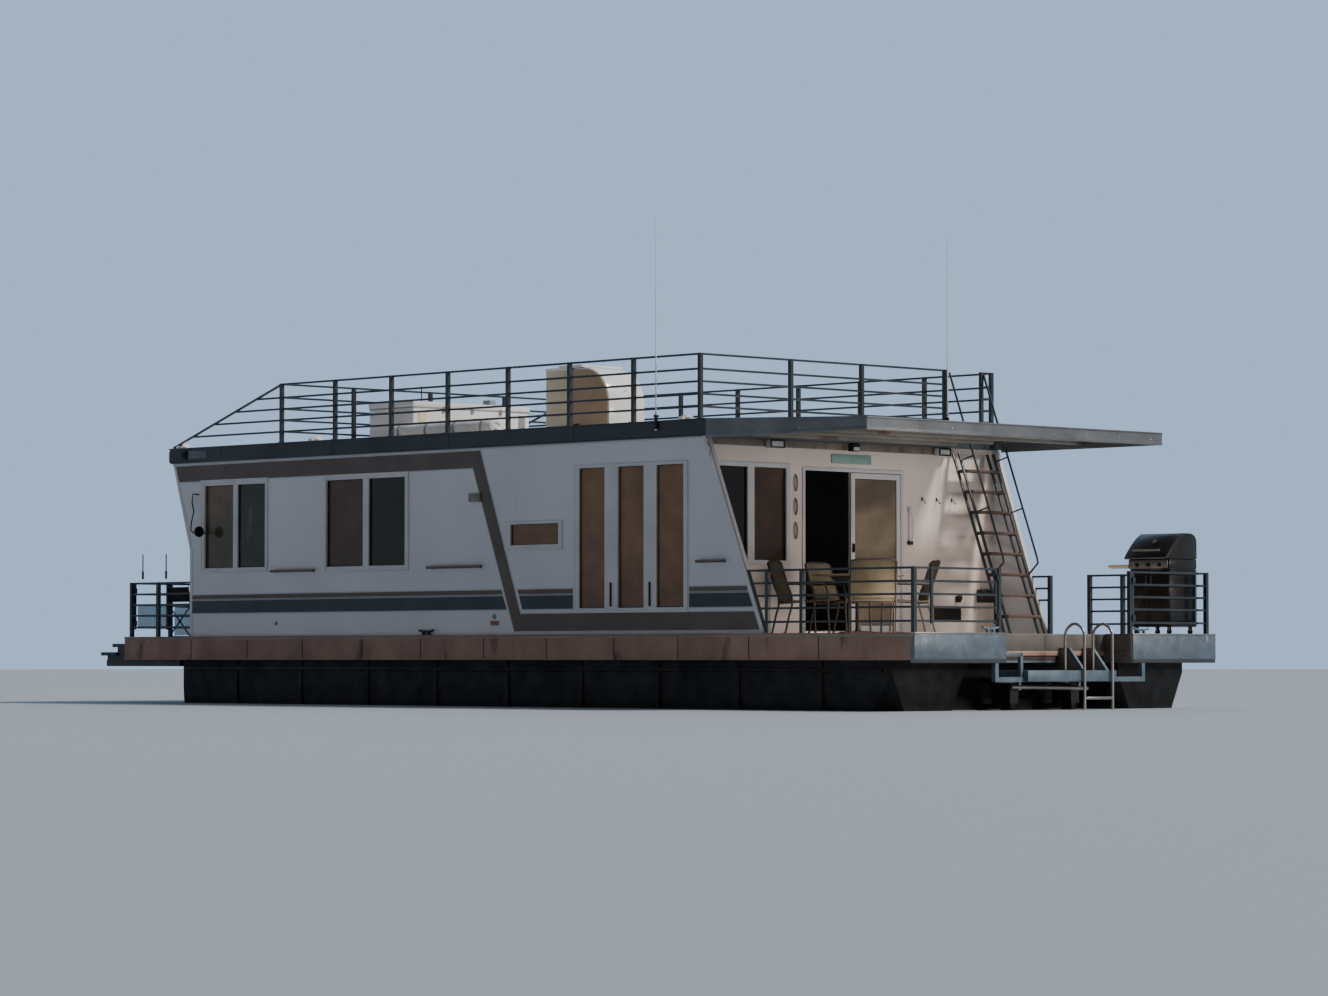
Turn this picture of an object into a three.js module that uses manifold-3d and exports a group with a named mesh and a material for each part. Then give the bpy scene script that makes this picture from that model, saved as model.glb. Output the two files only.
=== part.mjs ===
// A twin-pontoon lake houseboat, about 15 m long and 5.5 m wide, at its real size in millimetres.
// +X is forward to the bow, +Y is port and +Z is up. The origin is below the middle of the boat,
// level with the undersides of the pontoons.
import * as THREE from 'three';
import { mergeVertices } from 'three/addons/utils/BufferGeometryUtils.js';
import Module from 'manifold-3d';

const wasm = await Module();
wasm.setup();

// Driving dimensions of the hull and deck
const deckLength = 15240;
const deckHalf = 2770;
const draft = 500;
const deckTop = draft + 920;
const deckPlate = 40;
const rimBottom = draft + 600;
const rimThickness = 60;
const pontoonTop = rimBottom + 20;
const bowReach = 600;
const ladderRadius = 18;
const ladderOuterStation = -90;
const sternReach = ladderRadius - ladderOuterStation;
const clearance = 0.3;

// Driving dimensions of the cabin and roof
const wallHalf = 2700;
const wallThickness = 50;
const wallTop = draft + 3350;
const roofTop = draft + 3560;
const roofHalf = 2720;
const sternWallStation = 3610;
const wingFootStations = { port: 2510, starboard: 2690 };
const wingTopStations = { port: 3510, starboard: 3550 };
const bowFootStation = 13815;
const bowTopStation = 14210;
const bowKnee = draft + 2130;
const roofBowStation = 14290;
const canopySternStation = 800;

// Railings
const postSize = 50;
const railSize = 26;
const deckRailHeight = 775;
const deckRailLevels = [140, 304, 456, 608];
const roofRailHeight = 815;
const roofRailLevels = [155, 310, 465, 620];
const edgeInset = 80;

// Finishes: colour, roughness, metalness
const finishes = {
  whitePanel: [0xd9dadc, 0.5, 0.0],
  slateTrim: [0x3a4347, 0.5, 0.2],
  brownRim: [0x8a6d62, 0.8, 0.2],
  blackHull: [0x141414, 0.7, 0.1],
  galvanised: [0x8fa0ac, 0.45, 0.7],
  deckGrey: [0x8d8a84, 0.9, 0.0],
  windowWhite: [0xe9e9e6, 0.4, 0.0],
  darkRail: [0x2c3940, 0.5, 0.3],
  stainless: [0xb8b6b0, 0.25, 1.0],
  gelcoat: [0xf2f2ee, 0.25, 0.0],
  blackEnamel: [0x17181a, 0.4, 0.2],
  castAlloy: [0x22262a, 0.5, 0.4],
  chairTube: [0x5a4b3c, 0.5, 0.3],
};

// A station is a distance forward of the stern edge of the deck
const originStation = (deckLength + bowReach - sternReach) / 2;
const at = (station) => station - originStation;
const range = (a, b) => [Math.min(a, b), Math.max(a, b)];
const bowSlope = (bowTopStation - bowFootStation) / (wallTop - bowKnee);

// Geometry helpers: closed solids that can be joined and cut
function solidOf(geometry) {
  geometry.deleteAttribute('normal');
  geometry.deleteAttribute('uv');
  const merged = mergeVertices(geometry, 1e-3);
  const mesh = new wasm.Mesh({
    numProp: 3,
    vertProperties: new Float32Array(merged.attributes.position.array),
    triVerts: new Uint32Array(merged.index.array),
  });
  return new wasm.Manifold(mesh);
}

function geometryOf(solid) {
  const mesh = solid.getMesh();
  const geometry = new THREE.BufferGeometry();
  geometry.setAttribute('position', new THREE.BufferAttribute(new Float32Array(mesh.vertProperties), 3));
  geometry.setIndex(new THREE.BufferAttribute(new Uint32Array(mesh.triVerts), 1));
  geometry.computeVertexNormals();
  return geometry;
}

const join = (solids) => solids.reduce((whole, piece) => whole.add(piece));
const cut = (solid, holes) => holes.reduce((left, hole) => left.subtract(hole), solid);

function block(x, y, z) {
  const geometry = new THREE.BoxGeometry(x[1] - x[0], y[1] - y[0], z[1] - z[0]);
  geometry.translate((x[0] + x[1]) / 2, (y[0] + y[1]) / 2, (z[0] + z[1]) / 2);
  return solidOf(geometry);
}

function outline(points) {
  return new THREE.Shape(points.map(([a, b]) => new THREE.Vector2(a, b)));
}

// A side profile of x and z, as wide as the y range
function sideProfile(points, y) {
  const geometry = new THREE.ExtrudeGeometry(outline(points), { depth: y[1] - y[0], bevelEnabled: false });
  geometry.rotateX(Math.PI / 2);
  geometry.translate(0, y[1], 0);
  return solidOf(geometry);
}

// A cross-section of y and z, as long as the x range
function crossProfile(shape, x) {
  const geometry = new THREE.ExtrudeGeometry(shape, { depth: x[1] - x[0], bevelEnabled: false, curveSegments: 6 });
  const axes = new THREE.Matrix4();
  axes.makeBasis(new THREE.Vector3(0, 1, 0), new THREE.Vector3(0, 0, 1), new THREE.Vector3(1, 0, 0));
  geometry.applyMatrix4(axes);
  geometry.translate(x[0], 0, 0);
  return solidOf(geometry);
}

// A plan of x and y, as tall as the z range
function planProfile(points, z) {
  const geometry = new THREE.ExtrudeGeometry(outline(points), { depth: z[1] - z[0], bevelEnabled: false });
  geometry.translate(0, 0, z[0]);
  return solidOf(geometry);
}

// A straight bar of rectangular section between two points
function bar(from, to, width, height = width) {
  const start = new THREE.Vector3(...from);
  const end = new THREE.Vector3(...to);
  const along = end.clone().sub(start);
  const geometry = new THREE.BoxGeometry(along.length(), width, height);
  const forward = along.clone().normalize();
  const sideways = Math.abs(forward.z) > 0.999
    ? new THREE.Vector3(0, 1, 0)
    : new THREE.Vector3(0, 0, 1).cross(forward).normalize();
  const up = forward.clone().cross(sideways);
  geometry.applyMatrix4(new THREE.Matrix4().makeBasis(forward, sideways, up));
  const middle = start.add(end).multiplyScalar(0.5);
  geometry.translate(middle.x, middle.y, middle.z);
  return solidOf(geometry);
}

// A straight round rod between two points
function rod(from, to, radius, sides = 10, endRadius = radius) {
  const start = new THREE.Vector3(...from);
  const end = new THREE.Vector3(...to);
  const along = end.clone().sub(start);
  const geometry = new THREE.CylinderGeometry(endRadius, radius, along.length(), sides);
  const turn = new THREE.Quaternion().setFromUnitVectors(new THREE.Vector3(0, 1, 0), along.clone().normalize());
  geometry.applyQuaternion(turn);
  const middle = start.add(end).multiplyScalar(0.5);
  geometry.translate(middle.x, middle.y, middle.z);
  return solidOf(geometry);
}

// A round tube along a bent route
function bentTube(points, radius, sides = 8, steps = 24) {
  const route = new THREE.CatmullRomCurve3(points.map((p) => new THREE.Vector3(...p)), false, 'centripetal');
  const section = new THREE.Shape();
  for (let i = 0; i < sides; i += 1) {
    const angle = (i / sides) * 2 * Math.PI;
    const [a, b] = [radius * Math.cos(angle), radius * Math.sin(angle)];
    if (i === 0) section.moveTo(a, b);
    else section.lineTo(a, b);
  }
  section.closePath();
  return solidOf(new THREE.ExtrudeGeometry(section, { steps, extrudePath: route, bevelEnabled: false }));
}

const boat = new THREE.Group();
const groups = {};
for (const name of ['hull', 'drives', 'cabin', 'openings', 'rails', 'fittings']) {
  groups[name] = new THREE.Group();
  boat.add(groups[name]);
}

// Adds a named piece whose geometry is measured from its own place
function place(group, name, solid, finish, position = [0, 0, 0]) {
  const [color, roughness, metalness] = finishes[finish];
  const geometry = geometryOf(solid);
  geometry.translate(-position[0], -position[1], -position[2]);
  const mesh = new THREE.Mesh(geometry, new THREE.MeshStandardMaterial({ color, roughness, metalness }));
  mesh.name = name;
  mesh.position.set(...position);
  groups[group].add(mesh);
}

const sides = [['port', 1], ['starboard', -1]];

// Pontoons: long closed tanks, full width above and rounded in to a flat keel
const pontoonMiddle = 2045;
const pontoonHalf = 625;
const pontoonKeelHalf = 300;
const pontoonTurn = 750;
const pontoonSternStation = 450;
const pontoonBowStation = 14000;
const pontoonBowRise = 420;
const pontoonBowRake = 700;

// The part of space beyond a plane, as a large block whose face lies on it
function beyond(point, normal) {
  const size = 3000;
  const geometry = new THREE.BoxGeometry(size, size, size);
  geometry.translate(size / 2, 0, 0);
  const way = new THREE.Vector3(...normal).normalize();
  geometry.applyQuaternion(new THREE.Quaternion().setFromUnitVectors(new THREE.Vector3(1, 0, 0), way));
  geometry.translate(...point);
  return solidOf(geometry);
}

// The lower stern corners are cut away to a plane of these three reaches
const cornerReach = { forward: 700, inward: 450, upward: 950 };

function sternCorner(middle, way) {
  const edge = middle + way * pontoonHalf;
  return beyond([at(pontoonSternStation), edge, cornerReach.upward],
    [-1 / cornerReach.forward, way / cornerReach.inward, -1 / cornerReach.upward]);
}

function pontoon(side) {
  const middle = side * pontoonMiddle;
  const section = new THREE.Shape();
  section.moveTo(middle - pontoonHalf, pontoonTop);
  section.lineTo(middle - pontoonHalf, pontoonTurn);
  section.quadraticCurveTo(middle - pontoonHalf, 150, middle - pontoonKeelHalf, 0);
  section.lineTo(middle + pontoonKeelHalf, 0);
  section.quadraticCurveTo(middle + pontoonHalf, 150, middle + pontoonHalf, pontoonTurn);
  section.lineTo(middle + pontoonHalf, pontoonTop);
  section.closePath();
  const tank = crossProfile(section, [at(pontoonSternStation), at(pontoonBowStation)]);
  const noseCut = sideProfile([
    [at(pontoonBowStation) + 10, pontoonBowRise],
    [at(pontoonBowStation), pontoonBowRise],
    [at(pontoonBowStation) - pontoonBowRake, 0],
    [at(pontoonBowStation) - pontoonBowRake, -10],
    [at(pontoonBowStation) + 10, -10],
  ], range(middle - pontoonHalf - 10, middle + pontoonHalf + 10));
  return cut(tank, [noseCut, sternCorner(middle, 1), sternCorner(middle, -1)]);
}

for (const [name, side] of sides) {
  place('hull', `pontoon_${name}`, pontoon(side), 'blackHull', [0, side * pontoonMiddle, 0]);
}

// Deck frame: cross beams on the pontoons, tied by two lengthwise beams
const beamWidth = 80;
const beamHalf = deckHalf - rimThickness;
const tieOffset = 1320;
const recessHalf = 1165;
const recessDepth = 450;
const beamStations = [560, 2700, 4600, 6500, 8400, 10300, 12200, 13900, 15100];

function deckFrame() {
  const height = [pontoonTop, deckTop - deckPlate];
  const beams = beamStations.map((station) => (
    block([at(station), at(station) + beamWidth], [-beamHalf, beamHalf], height)
  ));
  const ends = [at(beamStations[0]), at(beamStations[beamStations.length - 1])];
  const ties = [-1, 1].map((side) => (
    block(ends, range(side * tieOffset, side * (tieOffset + beamWidth)), height)
  ));
  return join([...beams, ...ties]);
}

place('hull', 'deck_frame', deckFrame(), 'galvanised');

// Deck: one plate with a boarding recess in its stern edge
function deck() {
  return planProfile([
    [at(0), -deckHalf],
    [at(deckLength), -deckHalf],
    [at(deckLength), deckHalf],
    [at(0), deckHalf],
    [at(0), recessHalf],
    [at(recessDepth), recessHalf],
    [at(recessDepth), -recessHalf],
    [at(0), -recessHalf],
  ], [deckTop - deckPlate, deckTop]);
}

place('hull', 'deck_plate', deck(), 'deckGrey');

// Rim of the deck along both sides and the bow
function deckRim() {
  return planProfile([
    [at(rimThickness), -deckHalf],
    [at(deckLength), -deckHalf],
    [at(deckLength), deckHalf],
    [at(rimThickness), deckHalf],
    [at(rimThickness), deckHalf - rimThickness],
    [at(deckLength - rimThickness), deckHalf - rimThickness],
    [at(deckLength - rimThickness), -deckHalf + rimThickness],
    [at(rimThickness), -deckHalf + rimThickness],
  ], [rimBottom, deckTop - deckPlate]);
}

place('hull', 'deck_rim', deckRim(), 'brownRim');

// Stern edge: a plated channel that follows the recess, with the two gate posts
const sternEdgeDrop = 30;
const gatePostY = recessHalf + 45;

function sternEdge() {
  const edge = planProfile([
    [at(0), -deckHalf],
    [at(rimThickness), -deckHalf],
    [at(rimThickness), -recessHalf - rimThickness],
    [at(recessDepth + rimThickness), -recessHalf - rimThickness],
    [at(recessDepth + rimThickness), recessHalf + rimThickness],
    [at(rimThickness), recessHalf + rimThickness],
    [at(rimThickness), deckHalf],
    [at(0), deckHalf],
    [at(0), recessHalf],
    [at(recessDepth), recessHalf],
    [at(recessDepth), -recessHalf],
    [at(0), -recessHalf],
  ], [rimBottom - sternEdgeDrop, deckTop - deckPlate]);
  return edge;
}

place('hull', 'stern_edge', sternEdge(), 'galvanised');

// Engine pod: an open steel tub hung under the frame between the pontoons, with two engines
const podHalf = 1180;
const podWall = 30;
const podBottom = 100;
const podSternStation = 900;
const podBowStation = 2700;
const driveOffset = 560;
const steeringStation = podSternStation - 190;
const barrelRadius = 50;
const barrelHeight = 260;
const barrelMiddle = 700;
const lugThickness = 50;

function enginePod() {
  const shell = sideProfile([
    [at(podSternStation), podBottom],
    [at(podBowStation) - 500, podBottom],
    [at(podBowStation), podBottom + 400],
    [at(podBowStation), pontoonTop],
    [at(podSternStation), pontoonTop],
  ], [-podHalf, podHalf]);
  const inside = sideProfile([
    [at(podSternStation) + podWall, podBottom + podWall],
    [at(podBowStation) - 510, podBottom + podWall],
    [at(podBowStation) - podWall, podBottom + 410],
    [at(podBowStation) - podWall, pontoonTop + 10],
    [at(podSternStation) + podWall, pontoonTop + 10],
  ], [-podHalf + podWall, podHalf - podWall]);
  const lugs = [];
  for (const [, side] of sides) {
    const y = [side * driveOffset - 70, side * driveOffset + 70];
    const half = barrelHeight / 2 + clearance;
    lugs.push(block([at(steeringStation) - 60, at(podSternStation) + 5], y,
      [barrelMiddle + half, barrelMiddle + half + lugThickness]));
    lugs.push(block([at(steeringStation) - 60, at(podSternStation) + 5], y,
      [barrelMiddle - half - lugThickness, barrelMiddle - half]));
  }
  return join([shell.subtract(inside), ...lugs]);
}

function engine(side) {
  return block(
    [at(podSternStation) + 150, at(podSternStation) + 1050],
    [side * driveOffset - 330, side * driveOffset + 330],
    [podBottom + podWall, podBottom + podWall + 720],
  );
}

place('drives', 'engine_pod', enginePod(), 'blackHull');
for (const [name, side] of sides) {
  place('drives', `engine_${name}`, engine(side), 'castAlloy', [0, side * driveOffset, 0]);
}

// Drives: a steering barrel, a leg with its cavitation plate and skeg, and the propeller behind it
const shaftHeight = 270;
const propellerRadius = 175;
const hubRadius = 55;
const hubLength = 150;
const legBackStation = steeringStation - 300;

function drive(side) {
  const y = side * driveOffset;
  const barrel = rod(
    [at(steeringStation), y, barrelMiddle - barrelHeight / 2],
    [at(steeringStation), y, barrelMiddle + barrelHeight / 2],
    barrelRadius, 16,
  );
  const head = block([at(legBackStation), at(steeringStation)], [y - 75, y + 75],
    [barrelMiddle - barrelHeight / 2 + 10, barrelMiddle + barrelHeight / 2 - 10]);
  const leg = sideProfile([
    [at(legBackStation) + 20, barrelMiddle - 60],
    [at(legBackStation) + 60, shaftHeight - 140],
    [at(legBackStation) + 150, shaftHeight - 140],
    [at(legBackStation) + 200, barrelMiddle - 60],
  ], [y - 32, y + 32]);
  const skeg = sideProfile([
    [at(legBackStation) + 60, shaftHeight],
    [at(legBackStation) + 50, 60],
    [at(legBackStation) + 100, 60],
    [at(legBackStation) + 170, shaftHeight],
  ], [y - 8, y + 8]);
  const plate = block([at(legBackStation) - 150, at(legBackStation) + 200], [y - 110, y + 110],
    [shaftHeight + propellerRadius + 25, shaftHeight + propellerRadius + 40]);
  const gearcase = rod([at(legBackStation), y, shaftHeight], [at(legBackStation) + 230, y, shaftHeight],
    hubRadius, 12);
  const nose = rod([at(legBackStation) + 225, y, shaftHeight], [at(legBackStation) + 300, y, shaftHeight],
    hubRadius, 12, 15);
  return join([barrel, head, leg, skeg, plate, gearcase, nose]);
}

function propeller(side) {
  const y = side * driveOffset;
  const front = at(legBackStation) - clearance;
  const hub = rod([front - hubLength, y, shaftHeight], [front, y, shaftHeight], hubRadius - 5, 12);
  const blades = [0, 1, 2].map((k) => {
    const geometry = new THREE.BoxGeometry(14, 90, propellerRadius - 30);
    geometry.translate(0, 0, (propellerRadius - 30) / 2 + 30);
    geometry.rotateZ(side * 0.6);
    geometry.rotateX((k * 2 * Math.PI) / 3);
    geometry.translate(front - hubLength / 2, y, shaftHeight);
    return solidOf(geometry);
  });
  return join([hub, ...blades]);
}

for (const [name, side] of sides) {
  const position = [at(steeringStation), side * driveOffset, barrelMiddle];
  place('drives', `drive_${name}`, drive(side), 'castAlloy', position);
  place('drives', `propeller_${name}`, propeller(side), 'stainless', [position[0], position[1], shaftHeight]);
}

// Side walls: the stern end runs on as a sloping wing beside the porch, and the bow end leans out above a knee
// Window rows: name, opening from and to along the boat, sill, head, panes from and to, pane sill and head,
// and whether the starboard wall has it too
const paneInset = 60;
const windowRows = [
  ['helm', 12090, 13580, 1810, 3100, [[12140, 12750], [12840, 13490]], 1870, 3020, true],
  ['saloon', 9120, 10870, 1780, 3090, [[9190, 9940], [10050, 10830]], 1850, 3020, true],
  ['galley', 6120, 7210, 2000, 2380, [[6190, 7110]], 2070, 2340, false],
  ['triple', 3840, 5910, 1190, 3060, [[3910, 4400], [4620, 5100], [5330, 5810]], 1250, 3020, true],
];

// A slab of a side wall: t is measured outward from the wall's outer face
const sideSlab = (side) => (t, u, z) => (
  block([at(u[0]), at(u[1])], range(side * (wallHalf + t[0]), side * (wallHalf + t[1])), [draft + z[0], draft + z[1]])
);

// A slab of the stern wall, whose outside faces the porch: u runs to port
const sternSlab = (t, u, z) => (
  block(range(at(sternWallStation) - t[0], at(sternWallStation) - t[1]), u, [draft + z[0], draft + z[1]])
);

// A slab of the bow wall's upright lower part: u runs to port
const bowSlab = (t, u, z) => (
  block([at(bowFootStation) + t[0], at(bowFootStation) + t[1]], u, [draft + z[0], draft + z[1]])
);

// A slab of the bow wall's raked upper part, sheared forward as it rises
const rakedFront = (height) => at(bowFootStation) + (draft + height - bowKnee) * bowSlope;
const rakedSlab = (t, u, z) => {
  const front = rakedFront;
  return sideProfile([
    [front(z[0]) + t[0], draft + z[0]],
    [front(z[0]) + t[1], draft + z[0]],
    [front(z[1]) + t[1], draft + z[1]],
    [front(z[1]) + t[0], draft + z[1]],
  ], u);
};

const frameOutside = 15;
const glassRange = [-30, -22];

// A window: one frame with its panes set in it
function windowUnit(slab, u, z, panes, paneZ) {
  const inner = (pair) => [pair[0] + clearance, pair[1] - clearance];
  const frame = slab([-wallThickness, frameOutside], inner(u), inner(z));
  const holes = panes.map((pane) => slab([-wallThickness - 10, frameOutside + 10], pane, paneZ));
  const glass = slab(glassRange, [u[0] + 20, u[1] - 20], [z[0] + 20, z[1] - 20]);
  return cut(frame, holes).add(glass);
}

function sideWall(name, side) {
  const wall = sideProfile([
    [at(wingFootStations[name]), deckTop],
    [at(bowFootStation), deckTop],
    [at(bowFootStation), bowKnee],
    [at(bowTopStation), wallTop],
    [at(wingTopStations[name]), wallTop],
  ], range(side * (wallHalf - wallThickness), side * wallHalf));
  const openings = windowRows
    .filter((row) => side > 0 || row[8])
    .map(([, from, to, sill, head]) => sideSlab(side)([-wallThickness - 10, 10], [from, to], [sill, head]));
  return cut(wall, openings);
}

for (const [name, side] of sides) {
  place('cabin', `side_wall_${name}`, sideWall(name, side), 'whitePanel', [0, side * wallHalf, deckTop]);
  for (const [label, from, to, sill, head, panes, paneSill, paneHead, both] of windowRows) {
    if (side > 0 || both) {
      const unit = windowUnit(sideSlab(side), [from, to], [sill, head], panes, [paneSill, paneHead]);
      place('openings', `window_${label}_${name}`, unit, 'windowWhite', [at(from), side * wallHalf, draft + sill]);
    }
  }
}

// End walls, each between the side walls
const endHalf = wallHalf - wallThickness;
const deckLevel = deckTop - draft;
const wallLevel = wallTop - draft;
const doorHalf = 930;
const doorSill = 960;
const doorHead = 3030;
const doorStile = 50;
const sternWindow = { u: [1150, 2500], z: [1780, 3060], panes: [[1212, 1790], [1900, 2440]] };
const bowWindow = { inner: 1060, outer: 2480, z: [2230, 3030] };

function sternWall() {
  const wall = sternSlab([-wallThickness, 0], [-endHalf, endHalf], [deckLevel, wallLevel]);
  return cut(wall, [
    sternSlab([-wallThickness - 10, 10], sternWindow.u, sternWindow.z),
    sternSlab([-wallThickness - 10, 10], [-doorHalf, doorHalf], [deckLevel - 10, doorHead]),
  ]);
}

function bowWall() {
  const knee = bowKnee - draft;
  const wall = join([
    bowSlab([-wallThickness, 0], [-endHalf, endHalf], [deckLevel, knee]),
    rakedSlab([-wallThickness, 0], [-endHalf, endHalf], [knee, wallLevel]),
  ]);
  const beside = bowWindow.z[0];
  return cut(wall, [
    rakedSlab([-wallThickness - 10, 10], [-bowWindow.outer, bowWindow.outer], bowWindow.z),
    rakedSlab([-wallThickness - 60, 10], [-doorHalf, doorHalf], [knee, beside]),
    bowSlab([-wallThickness - 10, 10], [-doorHalf, doorHalf], [deckLevel - 10, knee + 10]),
  ]);
}

place('cabin', 'stern_wall', sternWall(), 'whitePanel', [at(sternWallStation), 0, deckTop]);
place('cabin', 'bow_wall', bowWall(), 'whitePanel', [at(bowFootStation), 0, deckTop]);
place('openings', 'window_stern',
  windowUnit(sternSlab, sternWindow.u, sternWindow.z, sternWindow.panes, [1840, 3000]),
  'windowWhite', [at(sternWallStation), sternWindow.u[0], draft + sternWindow.z[0]]);

// Sliding doors: a frame with one fixed leaf, and a leaf that runs on the sill outside it
const trackHeight = 8;
const leafLap = 40;
const leafGap = 6;
const leafRange = [-21, 5];
const fixedLeafRange = [-wallThickness, leafRange[0] - leafGap];
const leafZ = [doorSill + trackHeight + clearance, doorHead - doorStile - leafGap];

// The leaf fills one half, from its jamb to a lap past the middle; side is the half it covers
function doorLeaf(slab, side, t, z, inset) {
  const u = range(-side * leafLap, side * (doorHalf - doorStile - inset));
  const leaf = slab(t, u, z);
  const hole = slab([t[0] - 5, t[1] + 5], [u[0] + 75, u[1] - 75], [z[0] + 90, z[1] - 80]);
  const glass = slab([(t[0] + t[1]) / 2 - 4, (t[0] + t[1]) / 2 + 4], [u[0] + 20, u[1] - 20], [z[0] + 20, z[1] - 20]);
  return leaf.subtract(hole).add(glass);
}

function doorFrame(slab, fixedSide) {
  const outer = slab([-wallThickness, frameOutside], [-doorHalf + clearance, doorHalf - clearance],
    [deckLevel, doorHead - clearance]);
  const hole = slab([-wallThickness - 10, frameOutside + 10], [-doorHalf + doorStile, doorHalf - doorStile],
    [doorSill, doorHead - doorStile]);
  const track = slab([-12, -4], [-doorHalf + doorStile - 5, doorHalf - doorStile + 5],
    [doorSill - 5, doorSill + trackHeight]);
  const fixed = doorLeaf(slab, fixedSide, fixedLeafRange, [doorSill - 5, doorHead - doorStile + 5], -5);
  return join([outer.subtract(hole), track, fixed]);
}

place('openings', 'stern_door_frame', doorFrame(sternSlab, -1), 'windowWhite', [at(sternWallStation), 0, deckTop]);
place('openings', 'stern_door_leaf', doorLeaf(sternSlab, -1, leafRange, leafZ, leafGap), 'windowWhite',
  [at(sternWallStation), 0, deckTop]);

// The bow door stands upright in an alcove of the raked wall, and shares one frame with the windows beside it
const cheekThickness = 40;

function bowFrame() {
  const windows = [-1, 1].map((side) => {
    const u = range(side * (doorHalf - 20), side * (bowWindow.outer - clearance));
    const z = [bowWindow.z[0] + clearance, bowWindow.z[1] - clearance];
    const frame = rakedSlab([-wallThickness, frameOutside], u, z);
    const pane = range(side * bowWindow.inner, side * (bowWindow.outer - paneInset));
    const paneZ = [bowWindow.z[0] + paneInset, bowWindow.z[1] - paneInset];
    const hole = rakedSlab([-wallThickness - 10, frameOutside + 10], pane, paneZ);
    const glass = rakedSlab(glassRange, [pane[0] - 20, pane[1] + 20], [paneZ[0] - 20, paneZ[1] + 20]);
    return frame.subtract(hole).add(glass);
  });
  const head = doorHead - clearance;
  const back = at(bowFootStation) - wallThickness;
  const alcove = (foot) => [
    [back, draft + foot],
    [rakedFront(foot) - clearance, draft + foot],
    [rakedFront(head) - clearance, draft + head],
    [back, draft + head],
  ];
  const outer = doorHalf - clearance;
  const cheeks = [-1, 1].map((side) => (
    sideProfile(alcove(bowKnee - draft), range(side * (outer - cheekThickness), side * outer))
  ));
  const soffit = sideProfile(alcove(doorHead - cheekThickness), [-outer, outer]);
  return join([doorFrame(bowSlab, -1), ...cheeks, soffit, ...windows]);
}

place('openings', 'bow_door_frame', bowFrame(), 'windowWhite', [at(bowFootStation), 0, deckTop]);
place('openings', 'bow_door_leaf', doorLeaf(bowSlab, 1, leafRange, leafZ, leafGap), 'windowWhite',
  [at(bowFootStation), 0, deckTop]);

// Cabin roof: one thick panel with square fascias
const roofSternStation = wingTopStations.port;

// Its bow end is rounded above and below
const bowNose = at(roofBowStation);
const roofPanel = sideProfile([
  [at(roofSternStation), wallTop],
  [bowNose - 50, wallTop],
  [bowNose - 15, wallTop + 12],
  [bowNose, wallTop + 45],
  [bowNose, roofTop - 60],
  [bowNose - 15, roofTop - 18],
  [bowNose - 50, roofTop],
  [at(roofSternStation), roofTop],
], [-roofHalf, roofHalf]);

place('cabin', 'roof', roofPanel, 'slateTrim', [at(roofSternStation), 0, wallTop]);

// Porch canopy: a shallow tray with a rim, its top falling to the stern, open where the stairs come up
const canopyBottom = wallTop;
const canopySternTop = roofTop - 85;
const canopyRim = 50;
const canopySoffit = 90;
const stairInner = -1760;
const stairOuter = -2560;
const stairHatchStation = 2560;

function porchCanopy() {
  const end = at(roofSternStation) - clearance;
  const tray = sideProfile([
    [at(canopySternStation), canopyBottom],
    [end, canopyBottom],
    [end, roofTop],
    [at(canopySternStation), canopySternTop],
  ], [-roofHalf, roofHalf]);
  const hollow = block(
    [at(canopySternStation) + canopyRim, end - canopyRim],
    [-roofHalf + canopyRim, roofHalf - canopyRim],
    [canopyBottom - 10, canopyBottom + canopySoffit],
  );
  const hatch = block([at(stairHatchStation), end + 10], [stairOuter, stairInner],
    [canopyBottom - 20, roofTop + 20]);
  return cut(tray, [hollow, hatch]);
}

place('cabin', 'porch_canopy', porchCanopy(), 'galvanised', [at(canopySternStation), 0, canopyBottom]);

// Railings
// One straight run: posts along the boat, a top bar and level rails between two stations
function sideRun(y, floor, posts, ends, height, levels) {
  const top = floor + height;
  const uprights = posts.map((station) => (
    block([at(station) - postSize / 2, at(station) + postSize / 2], [y - postSize / 2, y + postSize / 2],
      [floor, top])
  ));
  const rails = [...levels, height - railSize / 2].map((level) => (
    block([at(ends[0]), at(ends[1])], [y - railSize / 2, y + railSize / 2],
      [floor + level - railSize / 2, floor + level + railSize / 2])
  ));
  return join([...uprights, ...rails]);
}

// One run across the boat
function crossRun(station, floor, posts, ends, height, levels) {
  const x = at(station);
  const uprights = posts.map((y) => (
    block([x - postSize / 2, x + postSize / 2], [y - postSize / 2, y + postSize / 2], [floor, floor + height])
  ));
  const rails = [...levels, height - railSize / 2].map((level) => (
    block([x - railSize / 2, x + railSize / 2], range(ends[0], ends[1]),
      [floor + level - railSize / 2, floor + level + railSize / 2])
  ));
  return join([...uprights, ...rails]);
}

// Roof railing: the side runs fall to the roof's bow corners in a sloping brace
const roofPostStations = [3650, 4840, 6020, 7190, 8370, 9510, 10680, 11825];
const roofRailY = 2675;
const roofRailBow = roofPostStations[roofPostStations.length - 1];
const braceFootStation = 14240;

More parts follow.
